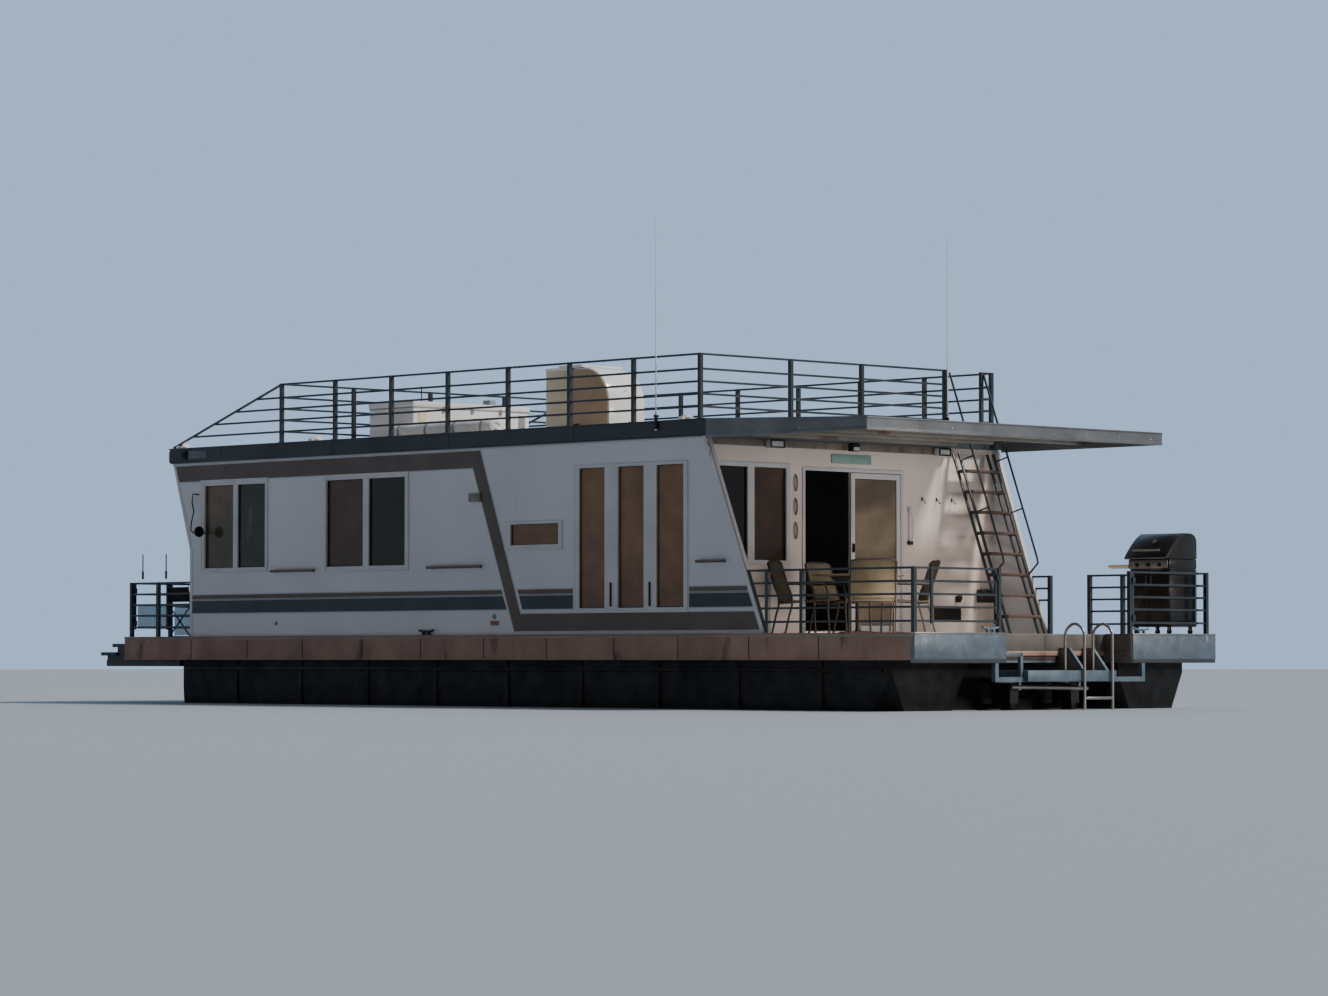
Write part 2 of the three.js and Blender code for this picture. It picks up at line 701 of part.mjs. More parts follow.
function roofSideRail(side) {
  const y = side * roofRailY;
  const run = sideRun(y, roofTop, roofPostStations, [roofPostStations[0], roofRailBow], roofRailHeight,
    roofRailLevels);
  const braceTop = [at(roofRailBow), y, roofTop + roofRailHeight - railSize / 2];
  const braceFoot = [at(braceFootStation), y, roofTop + railSize / 2 + 2];
  const brace = bar(braceTop, braceFoot, railSize);
  const fall = (braceFootStation - roofRailBow) / (roofRailHeight - railSize);
  const rails = roofRailLevels.map((level) => (
    block([at(roofRailBow), at(roofRailBow) + (roofRailHeight - railSize - level) * fall],
      [y - railSize / 2, y + railSize / 2],
      [roofTop + level - railSize / 2, roofTop + level + railSize / 2])
  ));
  const foot = block([at(braceFootStation) - 60, at(braceFootStation)], [y - railSize / 2, y + railSize / 2],
    [roofTop, roofTop + railSize]);
  return join([run, brace, foot, ...rails]);
}

for (const [name, side] of sides) {
  place('rails', `roof_rail_${name}`, roofSideRail(side), 'darkRail', [at(roofRailBow), side * roofRailY, roofTop]);
}

const roofPostGap = postSize / 2 + clearance;
const sternRailPosts = [1090, -200, -1770];
const bowRailPosts = [1400, 0, -1400];

place('rails', 'roof_rail_stern',
  crossRun(roofPostStations[0], roofTop, sternRailPosts, [roofRailY - roofPostGap, sternRailPosts[2]],
    roofRailHeight, roofRailLevels),
  'darkRail', [at(roofPostStations[0]), 0, roofTop]);
place('rails', 'roof_rail_bow',
  crossRun(roofRailBow, roofTop, bowRailPosts, [-roofRailY + roofPostGap, roofRailY - roofPostGap],
    roofRailHeight, roofRailLevels),
  'darkRail', [at(roofRailBow), 0, roofTop]);

// Porch railing: side runs with a short return on the stern edge
const railY = deckHalf - edgeInset;
const gateFreeYs = { port: 2386, starboard: 2473 };
const gateStop = 40;
const porchPosts = { port: [edgeInset, 1895, 2474], starboard: [edgeInset, 1430, 1980] };
const wingRailGap = 6;
const wingBarSize = 26;
const wingBarFoot = 60;

// Where the rails end short of the wing's sloping edge, at a height above the deck
function wingEdge(name, level) {
  const slope = (wingTopStations[name] - wingFootStations[name]) / (wallTop - deckTop);
  return at(wingFootStations[name]) + level * slope - wingRailGap;
}

function railsToWing(name, side, station, levels) {
  const y = side * railY;
  return levels.map((level) => (
    block([at(station), wingEdge(name, level - railSize / 2)], [y - railSize / 2, y + railSize / 2],
      [deckTop + level - railSize / 2, deckTop + level + railSize / 2])
  ));
}

function porchRail(name, side) {
  const y = side * railY;
  const posts = porchPosts[name];
  const last = posts[posts.length - 1];
  const run = sideRun(y, deckTop, posts, [edgeInset, last], deckRailHeight, deckRailLevels);
  const stub = crossRun(edgeInset, deckTop, [], [y, side * (gateFreeYs[name] + gateStop)], deckRailHeight,
    deckRailLevels);
  return run.add(stub);
}

// The port rail runs on to the wing and ends in a bar along its slope
function portWingEnd() {
  const levels = [...deckRailLevels, deckRailHeight - railSize / 2];
  const rails = railsToWing('port', 1, porchPosts.port[2], levels);
  const barEnd = (level) => [wingEdge('port', level) - wingBarSize * 0.6, railY, deckTop + level];
  rails.push(bar(barEnd(wingBarFoot), barEnd(deckRailHeight - railSize), wingBarSize));
  return join(rails);
}

// A gate hangs on the stern face of its post and swings sternward; freeY is the middle of its free stile
const gateBottom = 110;
const stileWidth = 36;
const hingeRadius = 12;
const hingeLeaf = 8;
const gateGap = 8;
const gateHingeLevels = [200, 660];
const hingeBack = postSize / 2 + hingeRadius + clearance;
const hingeSide = postSize / 2 - 5;

function gateLeaf(station, postY, freeY) {
  const x = at(station);
  const way = Math.sign(freeY - postY);
  const hungY = postY + way * (postSize / 2 + gateGap + stileWidth / 2);
  const axisX = x - hingeBack;
  const axisY = postY + way * hingeSide;
  const rails = [...deckRailLevels, deckRailHeight - railSize / 2].map((level) => (
    block([x - railSize / 2, x + railSize / 2], range(hungY, freeY),
      [deckTop + level - railSize / 2, deckTop + level + railSize / 2])
  ));
  const stiles = [hungY, freeY].map((y) => (
    block([x - railSize / 2, x + railSize / 2], [y - stileWidth / 2, y + stileWidth / 2],
      [deckTop + gateBottom, deckTop + deckRailHeight])
  ));
  const hinges = gateHingeLevels.map((level) => {
    const z = [deckTop + level - 35, deckTop + level + 35];
    const knuckle = rod([axisX, axisY, z[0]], [axisX, axisY, z[1]], hingeRadius, 12);
    const leaf = block([axisX - hingeLeaf / 2, axisX + hingeLeaf / 2], range(axisY, hungY + way * 10), z);
    const pad = block([axisX - hingeLeaf / 2, x], range(hungY - way * 10, hungY + way * 10), z);
    return join([knuckle, leaf, pad]);
  });
  return join([...rails, ...stiles, ...hinges]);
}

for (const [name, side] of sides) {
  const rail = side > 0 ? porchRail(name, side).add(portWingEnd()) : porchRail(name, side);
  place('rails', `porch_rail_${name}`, rail, 'darkRail', [at(edgeInset), side * railY, deckTop]);
  const post = block([at(edgeInset) - postSize / 2, at(edgeInset) + postSize / 2],
    [side * gatePostY - postSize / 2, side * gatePostY + postSize / 2], [deckTop, deckTop + deckRailHeight]);
  place('rails', `gate_post_${name}`, post, 'darkRail', [at(edgeInset), side * gatePostY, deckTop]);
  place('rails', `stern_gate_${name}`, gateLeaf(edgeInset, side * gatePostY, side * gateFreeYs[name]),
    'darkRail',
    [at(edgeInset) - hingeBack, side * (gatePostY + hingeSide), deckTop]);
}

// A short run that stands clear of the starboard wing's sloping edge
const wingPostStation = 2652;

function wingRail() {
  const x = at(wingPostStation);
  const post = block([x - postSize / 2, x + postSize / 2], [-railY - postSize / 2, -railY + postSize / 2],
    [deckTop, deckTop + deckRailHeight]);
  const levels = [...deckRailLevels.slice(2), deckRailHeight - railSize / 2];
  return join([post, ...railsToWing('starboard', -1, wingPostStation, levels)]);
}

place('rails', 'wing_rail_starboard', wingRail(), 'darkRail', [at(wingPostStation), -railY, deckTop]);

// Bow railing: a side run to port, and the front with the starboard side
const bowRailStation = deckLength - 65;
const bowSidePost = 14560;
const bowSideEnd = 13822;
const bowGateEnd = railY - 680;

function bowPortRail() {
  return sideRun(railY, deckTop, [bowSidePost, bowRailStation], [bowSideEnd, bowRailStation], deckRailHeight,
    deckRailLevels);
}

function bowFrontRail() {
  const front = crossRun(bowRailStation, deckTop, [bowGateEnd, 900, -300, -1500], [bowGateEnd, -railY],
    deckRailHeight, deckRailLevels);
  const starboard = sideRun(-railY, deckTop, [bowSidePost, bowRailStation], [bowSideEnd, bowRailStation],
    deckRailHeight, deckRailLevels);
  return front.add(starboard);
}

place('rails', 'bow_rail_port', bowPortRail(), 'darkRail', [at(bowRailStation), railY, deckTop]);
place('rails', 'bow_rail_front', bowFrontRail(), 'darkRail', [at(bowRailStation), 0, deckTop]);
place('rails', 'bow_gate', gateLeaf(bowRailStation, railY, bowGateEnd + postSize / 2 + gateGap + stileWidth / 2),
  'darkRail', [at(bowRailStation) - hingeBack, railY - hingeSide, deckTop]);

// Stairs from the porch deck to the roof, beside the starboard wing, with their handrails
const stairFootStation = 2620;
const stairRun = 0.377;
const stairInside = -1830;
const stairOutside = -2495;
const stringerTube = 30;
const stringerOffset = 52;
const linkSize = 22;
const treadCount = 9;
const treadFirst = 260;
const treadRise = 270;
const treadRange = [-100, 75];
const treadThickness = 40;
const handrailOffset = 295;
const handrailLow = 955;
const handrailStay = 1650;

function porchStairs() {
  const rise = wallTop - deckTop - 60;
  const lineX = (height, offset) => at(stairFootStation) + height * stairRun + offset;
  const point = (height, offset, y) => [lineX(height, offset), y, deckTop + height];
  const pieces = [];
  for (const y of [stairInside, stairOutside]) {
    for (const offset of [-stringerOffset, stringerOffset]) {
      pieces.push(sideProfile([
        [lineX(0, offset - stringerTube / 2), deckTop],
        [lineX(0, offset + stringerTube / 2), deckTop],
        [lineX(rise, offset + stringerTube / 2), deckTop + rise],
        [lineX(rise, offset - stringerTube / 2), deckTop + rise],
      ], [y - stringerTube / 2, y + stringerTube / 2]));
    }
    for (let height = treadFirst - treadThickness / 2; height < rise; height += treadRise) {
      pieces.push(bar(point(height, -stringerOffset, y), point(height, stringerOffset, y), linkSize));
    }
    pieces.push(bar(point(handrailLow, -handrailOffset, y), point(rise, -handrailOffset, y), 28));
    pieces.push(bar(point(handrailLow, -handrailOffset, y), point(handrailLow - 180, -stringerOffset, y), 26));
    for (const height of [handrailStay, rise - 40]) {
      pieces.push(bar(point(height, -handrailOffset, y), point(height - 60, -stringerOffset, y), 22));
    }
  }
  for (let k = 0; k < treadCount; k += 1) {
    const top = treadFirst + k * treadRise;
    const middle = lineX(top, 0);
    if (top < rise) {
      pieces.push(block([middle + treadRange[0], middle + treadRange[1]], [stairOutside, stairInside],
        [deckTop + top - treadThickness, deckTop + top]));
    }
  }
  return join(pieces);
}

place('fittings', 'porch_stairs', porchStairs(), 'darkRail', [at(stairFootStation), stairInside, deckTop]);

// Swim platform: a square-tube frame hung from the stern edge, with a step on two gussets
const tube = 60;
const platformY = [-1370, 1330];
const platformTop = draft + 400;
const stepTop = draft + 470;
const stepY = [-780, 840];
const gussetYs = [-320, -755];
const gussetTop = draft + 750;

function swimPlatform() {
  const x = [at(0), at(tube)];
  const hangTop = rimBottom - sternEdgeDrop;
  const legs = platformY.map((y) => block(x, [y - tube / 2, y + tube / 2], [platformTop - tube, hangTop]));
  const beam = block(x, platformY, [platformTop - tube, platformTop]);
  const step = block([at(-60), at(recessDepth) - clearance], stepY, [platformTop - 5, stepTop]);
  const gussets = gussetYs.map((y) => sideProfile([
    [at(recessDepth) - clearance, stepTop - 5],
    [at(recessDepth) - clearance, gussetTop],
    [at(recessDepth) - 170, gussetTop],
    [at(40), stepTop - 5],
  ], [y - 20, y + 20]));
  return join([...legs, beam, step, ...gussets]);
}

place('fittings', 'swim_platform', swimPlatform(), 'galvanised', [at(0), 0, platformTop]);

// Swim ladder: two hoops that stand on the step and reach down into the water
const ladderYs = [-155, -675];
const ladderBottom = 180;
const ladderTopLevel = draft + 1040;
const ladderInnerStation = 218;

function swimLadder() {
  const pieces = [];
  for (const y of ladderYs) {
    const [outer, inner] = [at(ladderOuterStation), at(ladderInnerStation)];
    const bend = ladderTopLevel - 160;
    pieces.push(bentTube([
      [outer, y, bend - 60],
      [outer, y, bend],
      [outer + 50, y, ladderTopLevel - 40],
      [(outer + inner) / 2, y, ladderTopLevel],
      [inner - 50, y, ladderTopLevel - 40],
      [inner, y, bend],
      [inner, y, bend - 60],
    ], ladderRadius));
    pieces.push(rod([outer, y, ladderBottom], [outer, y, bend - 50], ladderRadius));
    pieces.push(rod([inner, y, stepTop + clearance], [inner, y, bend - 50], ladderRadius));
  }
  for (const level of [draft + 140, ladderBottom + 60]) {
    pieces.push(rod([at(ladderOuterStation), ladderYs[1], level], [at(ladderOuterStation), ladderYs[0], level],
      ladderRadius - 4));
  }
  return join(pieces);
}

place('fittings', 'swim_ladder', swimLadder(), 'stainless', [at(0), ladderYs[0], stepTop]);

// Boarding step at the port bow corner: a beam under the deck with two treads past its edge
const stepBeamY = [2300, 2700];

function boardingStep() {
  const underside = rimBottom - clearance;
  const beam = block([at(14050), at(deckLength + 520)], stepBeamY, [underside - 90, underside]);
  const body = block([at(deckLength) + clearance, at(deckLength + 260)], stepBeamY, [underside - 20, draft + 780]);
  const upper = block([at(deckLength) + clearance, at(deckLength + 330)], [stepBeamY[0] - 40, stepBeamY[1] + 40],
    [draft + 780, draft + 830]);
  const lower = block([at(deckLength + 250), at(deckLength + bowReach)], [stepBeamY[0] - 40, stepBeamY[1] + 40],
    [draft + 660, draft + 710]);
  const hanger = block([at(deckLength + 250), at(deckLength + 500)], stepBeamY, [underside - 20, draft + 665]);
  return join([beam, body, upper, lower, hanger]);
}

place('fittings', 'boarding_step', boardingStep(), 'slateTrim', [at(deckLength), stepBeamY[0], rimBottom]);

// Things on the roof
const lockerY = [-760, 1400];
const lockerStations = [10560, 11520];
const lockerHeight = 580;
const rollStations = [8730, 10750];
const rollRadius = 135;
const consoleY = [-100, 570];

// A wide locker across the roof, with a rolled cover that lies against its port end
function roofLocker() {
  const box = block([at(lockerStations[0]), at(lockerStations[1])], lockerY, [roofTop, roofTop + lockerHeight]);
  const rollY = lockerY[1] + rollRadius - 8;
  const roll = rod([at(rollStations[0]), rollY, roofTop + rollRadius],
    [at(rollStations[1]), rollY, roofTop + rollRadius], rollRadius, 16);
  const bed = block([at(rollStations[0]), at(rollStations[1])], [rollY - 60, rollY + 60],
    [roofTop, roofTop + rollRadius]);
  return join([box, roll, bed]);
}

function roofConsole() {
  const front = at(7530);
  const back = at(8780);
  const radius = 500;
  const shape = new THREE.Shape();
  shape.moveTo(front, roofTop);
  shape.lineTo(back, roofTop);
  shape.lineTo(back, roofTop + 960);
  shape.lineTo(front + radius, roofTop + 960);
  shape.absarc(front + radius, roofTop + 960 - radius, radius, Math.PI / 2, Math.PI, false);
  shape.closePath();
  const geometry = new THREE.ExtrudeGeometry(shape,
    { depth: consoleY[1] - consoleY[0], bevelEnabled: false, curveSegments: 12 });
  geometry.rotateX(Math.PI / 2);
  geometry.translate(0, consoleY[1], 0);
  const lid = block([front + 500, back - 250], [consoleY[0] - 20, consoleY[1] + 20],
    [roofTop + 950, roofTop + 990]);
  return solidOf(geometry).add(lid);
}

place('fittings', 'roof_locker', roofLocker(), 'gelcoat', [at(lockerStations[0]), lockerY[0], roofTop]);
place('fittings', 'roof_console', roofConsole(), 'gelcoat', [at(7530), consoleY[0], roofTop]);

// Whip antennas: station, y, foot height, tip height
const antennaRows = [
  ['port', 4370, roofHalf + 20 + clearance, roofTop - 120, draft + 6134],
  ['starboard', 3600, -1770, roofTop, draft + 6105],
];

for (const [name, station, y, footZ, tipZ] of antennaRows) {
  const whip = rod([at(station), y, footZ + 200], [at(station), y, tipZ], 9, 8, 4);
  const foot = rod([at(station), y, footZ], [at(station), y, footZ + 210], 20, 10);
  place('fittings', `antenna_${name}`, whip.add(foot), 'windowWhite', [at(station), y, footZ]);
}

// Barbecue grill on its cart in the starboard stern corner: its front faces port, and its lid lifts to starboard
const grillX = [at(145), at(790)];
const grillY = [-2590, -2060];
const cartTop = deckTop + 800;
const bowlTop = deckTop + 940;
const lidX = [grillX[0] - 10, grillX[1] + 25];
const lidFrontY = grillY[1] + 80;
const lidHingeRadius = 10;
const lidHingeY = grillY[0] - 12;
const lidHingeZ = bowlTop + lidHingeRadius + 6;
const casterInset = 60;

function grillCart() {
  const cart = block(grillX, grillY, [deckTop + 95, cartTop]);
  const bowl = block([grillX[0] - 5, grillX[1] + 15], [grillY[0], grillY[1] + 30], [cartTop - 5, bowlTop]);
  const shelf = block([grillX[1] + 10, grillX[1] + 350], [grillY[0] + 60, grillY[1]], [deckTop + 830, deckTop + 880]);
  const legs = [];
  for (const x of [grillX[0] + casterInset, grillX[1] - casterInset]) {
    for (const y of [grillY[0] + casterInset, grillY[1] - casterInset]) {
      legs.push(rod([x, y - 14, deckTop + 35], [x, y + 14, deckTop + 35], 35, 12));
      legs.push(block([x - 12, x + 12], [y - 12, y + 12], [deckTop + 40, deckTop + 100]));
    }
  }
  return join([cart, bowl, shelf, ...legs]);
}

function grillLid() {
  const shape = new THREE.Shape();
  shape.moveTo(grillY[0] + 6, bowlTop + clearance);
  shape.lineTo(lidFrontY, bowlTop + clearance);
  shape.lineTo(lidFrontY, bowlTop + 25);
  shape.quadraticCurveTo(lidFrontY - 190, bowlTop + 270, lidFrontY - 330, bowlTop + 325);
  shape.lineTo(grillY[0] + 130, bowlTop + 325);
  shape.quadraticCurveTo(grillY[0] + 6, bowlTop + 310, grillY[0] + 6, bowlTop + 200);
  shape.closePath();
  const shell = crossProfile(shape, lidX);
  const handleY = lidFrontY - 5;
  const handleZ = bowlTop + 110;
  const handleX = [lidX[0] + 130, lidX[1] - 160];
  const handle = rod([handleX[0], handleY, handleZ], [handleX[1], handleY, handleZ], 13);
  const stays = handleX.map((x) => (
    rod([x, handleY, handleZ], [x, handleY - 110, handleZ - 40], 8, 8)
  ));
  const hinges = [lidX[0] + 120, lidX[1] - 120].map((middle) => {
    const width = [middle - 30, middle + 30];
    const leaf = block(width, [lidHingeY, grillY[0] + 20], [lidHingeZ - 4, lidHingeZ + 4]);
    return leaf.add(rod([width[0], lidHingeY, lidHingeZ], [width[1], lidHingeY, lidHingeZ], lidHingeRadius, 12));
  });
  return join([shell, handle, ...stays, ...hinges]);
}

place('fittings', 'grill_cart', grillCart(), 'blackEnamel', [grillX[0], grillY[0], deckTop]);
place('fittings', 'grill_lid', grillLid(), 'blackEnamel', [grillX[0], lidHingeY, lidHingeZ]);

// Porch furniture: sling chairs round a table; turn is the way that a chair faces, from +X to +Y
const chairRows = [
  { name: 'near', station: 1190, y: 2200, turn: -44 },
  { name: 'forward', station: 2700, y: 2180, turn: -118 },
  { name: 'wall', station: 2960, y: 1180, turn: 190 },
  { name: 'aft', station: 1480, y: 976, turn: 55 },
];
const chairHalf = 270;
const chairDepth = 470;
const seatHeight = 400;
const armHeight = 610;
const chairTop = 895;
const chairTube = 28;

// A chair that faces +X with the foot of its back above the origin
function slingChair() {
  const y = [-chairHalf, chairHalf];
  const pieces = [];
  for (const side of y) {
    pieces.push(bar([-70, side, 0], [20, side, seatHeight], chairTube));
    pieces.push(bar([20, side, seatHeight - 20], [-130, side, chairTop - 20], chairTube));
    pieces.push(bar([chairDepth + 20, side, 0], [chairDepth - 20, side, armHeight], chairTube));
    pieces.push(bar([-55, side, armHeight], [chairDepth - 6, side, armHeight], chairTube, 24));
  }
  pieces.push(bar([-130, y[0] - chairTube / 2, chairTop - 20], [-130, y[1] + chairTube / 2, chairTop - 20], chairTube));
  pieces.push(sideProfile([
    [8, seatHeight - 15],
    [chairDepth - 10, seatHeight + 5],
    [chairDepth - 10, seatHeight + 30],
    [8, seatHeight + 10],
  ], y));
  pieces.push(sideProfile([
    [12, seatHeight - 10],
    [32, seatHeight - 10],
    [-92, chairTop - 60],
    [-112, chairTop - 60],
  ], y));
  const underFeet = block([-400, 800], [-500, 500], [-100, 0]);
  return cut(join(pieces), [underFeet]);
}

for (const { name, station, y, turn } of chairRows) {
  const chair = slingChair().rotate([0, 0, turn]).translate([at(station), y, deckTop]);
  place('fittings', `porch_chair_${name}`, chair, 'chairTube', [at(station), y, deckTop]);
}

const tablePlace = [at(2000), 1610];
const tableRadius = 560;
const tableHeight = 720;

function porchTable() {
  const [x, y] = tablePlace;
  const top = rod([x, y, deckTop + tableHeight - 22], [x, y, deckTop + tableHeight], tableRadius, 28);
  const apron = rod([x, y, deckTop + tableHeight - 60], [x, y, deckTop + tableHeight - 20], 330, 20);
  const post = rod([x, y, deckTop + 20], [x, y, deckTop + tableHeight - 50], 32, 12);
  const base = rod([x, y, deckTop], [x, y, deckTop + 30], 260, 20);
  return join([top, apron, post, base]);
}

place('fittings', 'porch_table', porchTable(), 'chairTube', [...tablePlace, deckTop]);

export default boat;
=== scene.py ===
"""A twin-pontoon lake houseboat, dressed over its CAD frame.

Metres, +X to the bow, +Y to port, +Z up. Each sub-assembly is a class that builds its pieces and gives them
their finishes. Stations are distances forward of the deck's stern edge.
"""

import functools
import logging
import math
from collections.abc import Callable, Iterable, Sequence
from dataclasses import dataclass
from enum import Enum

import bpy
from mathutils import Matrix, Vector


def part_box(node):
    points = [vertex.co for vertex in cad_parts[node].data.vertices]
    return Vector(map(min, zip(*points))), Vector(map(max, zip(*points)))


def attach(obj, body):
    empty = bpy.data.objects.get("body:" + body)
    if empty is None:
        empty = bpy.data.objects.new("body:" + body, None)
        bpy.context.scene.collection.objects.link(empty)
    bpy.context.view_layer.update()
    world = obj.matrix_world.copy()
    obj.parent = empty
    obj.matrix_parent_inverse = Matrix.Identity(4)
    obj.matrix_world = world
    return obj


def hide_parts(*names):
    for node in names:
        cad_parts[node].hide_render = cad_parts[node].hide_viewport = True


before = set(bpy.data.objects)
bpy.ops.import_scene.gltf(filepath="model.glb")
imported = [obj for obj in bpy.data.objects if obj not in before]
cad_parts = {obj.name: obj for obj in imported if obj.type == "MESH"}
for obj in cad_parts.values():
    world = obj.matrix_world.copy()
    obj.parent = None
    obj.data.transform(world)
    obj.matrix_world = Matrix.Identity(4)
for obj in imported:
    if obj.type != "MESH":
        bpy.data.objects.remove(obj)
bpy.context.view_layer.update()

log = logging.getLogger("houseboat")

Point = Sequence[float]
Span = tuple[float, float]

# Places shared with the CAD frame
STERN_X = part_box("deck_plate")[0].x
DECK_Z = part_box("deck_plate")[1].z
WATER_Z = 0.5
PORT_Y = 2.77
WALL_Y = 2.70
WALL_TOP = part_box("side_wall_port")[1].z
ROOF_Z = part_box("roof")[1].z
STERN_WALL = 3.61
BOW_FOOT = 13.815
BOW_KNEE = 2.13
BOW_TOP = 14.21
BOW_RAIL = 15.175
DECK_END = 15.24
LIP_TOP = 3.475
ROOT = "boat"

# Modelling tolerances
SHARP_ANGLE = 0.6
TUBE_ANGLE = 0.9
MERGE = 0.0001
SPUN_MERGE = 0.00005
HAIR = 0.0005

# Directions
UP = (0, 0, 1)
ALONG = (1, 0, 0)
ASTERN = (-1, 0, 0)
TO_PORT = (0, 1, 0)


def at(station: float) -> float:
    """Turns a distance forward of the stern edge into X.

    Args:
        station: Metres forward of the stern edge.

    Returns:
        X in the frame.
    """
    return STERN_X + station


def above(height: float) -> float:
    """Turns a height above the water into Z.

    Args:
        height: A height above the water.

    Returns:
        Z in the frame.
    """
    return WATER_Z + height


def from_port(distance: float) -> float:
    """Turns a distance to starboard of the port deck edge into Y.

    Args:
        distance: Metres to starboard of the port deck edge.

    Returns:
        Y in the frame.
    """
    return PORT_Y - distance


class Side(Enum):
    """A side of the boat, with the sign of its Y."""

    PORT = 1
    STARBOARD = -1

    @property
    def label(self) -> str:
        """The side's name in lower case.

        Returns:
            Port or starboard.
        """
        return self.name.lower()

    @property
    def wing(self) -> tuple[float, float]:
        """The stations of the wing's foot and top.

        Returns:
            The foot's station, then the top's.
        """
        return (2.51, 3.51) if self is Side.PORT else (2.69, 3.55)


# Materials

# How Blender's wave texture counts its scale, and where the noise is cut
WAVE_UNIT = 20
MOTTLE_CUT = (0.35, 0.68)
ROUGH_CUT = (0.3, 0.7)
STAIN_EDGE = 0.72
STAIN_FADE = 0.12
STAIN_MOST = 0.8


def wave_scale(period_mm: float) -> float:
    """Turns a real period into the wave texture's scale.

    Args:
        period_mm: The distance from one band to the next, in millimetres.

    Returns:
        The scale.
    """
    return 1000.0 / period_mm / WAVE_UNIT


def linear(hex_colour: str) -> tuple[float, float, float, float]:
    """Turns an sRGB hex colour into linear RGBA.

    Args:
        hex_colour: Six hex digits after a hash.

    Returns:
        Linear red, green and blue, with an alpha of 1.
    """
    parts = [int(hex_colour[i : i + 2], 16) / 255 for i in (1, 3, 5)]
    r, g, b = (c / 12.92 if c <= 0.04045 else ((c + 0.055) / 1.055) ** 2.4 for c in parts)
    return (r, g, b, 1.0)


def socket_of(sockets: bpy.types.bpy_prop_collection, key: str) -> bpy.types.NodeSocket:
    """Finds a socket by its identifier, or else by its name.

    Args:
        sockets: A node's inputs or outputs.
        key: The socket's identifier or name.

    Returns:
        The socket.
    """
    for socket in sockets:
        if socket.identifier == key:
            return socket
    return sockets[key]


def add_node(
    tree: bpy.types.NodeTree,
    kind: str,
    settings: dict[str, object] | None = None,
    links: dict[str, bpy.types.NodeSocket] | None = None,
) -> bpy.types.Node:
    """Adds a shader node with its settings and links.

    Args:
        tree: The material's node tree.
        kind: The node's type name.
        settings: Values for the node's own properties, then for its input sockets.
        links: Output sockets to join to the node's inputs.

    Returns:
        The new node.
    """
    node = tree.nodes.new(kind)
    for key, value in (settings or {}).items():
        if hasattr(node, key):
            setattr(node, key, value)
        else:
            socket_of(node.inputs, key).default_value = value
    for key, source in (links or {}).items():
        tree.links.new(source, socket_of(node.inputs, key))
    return node


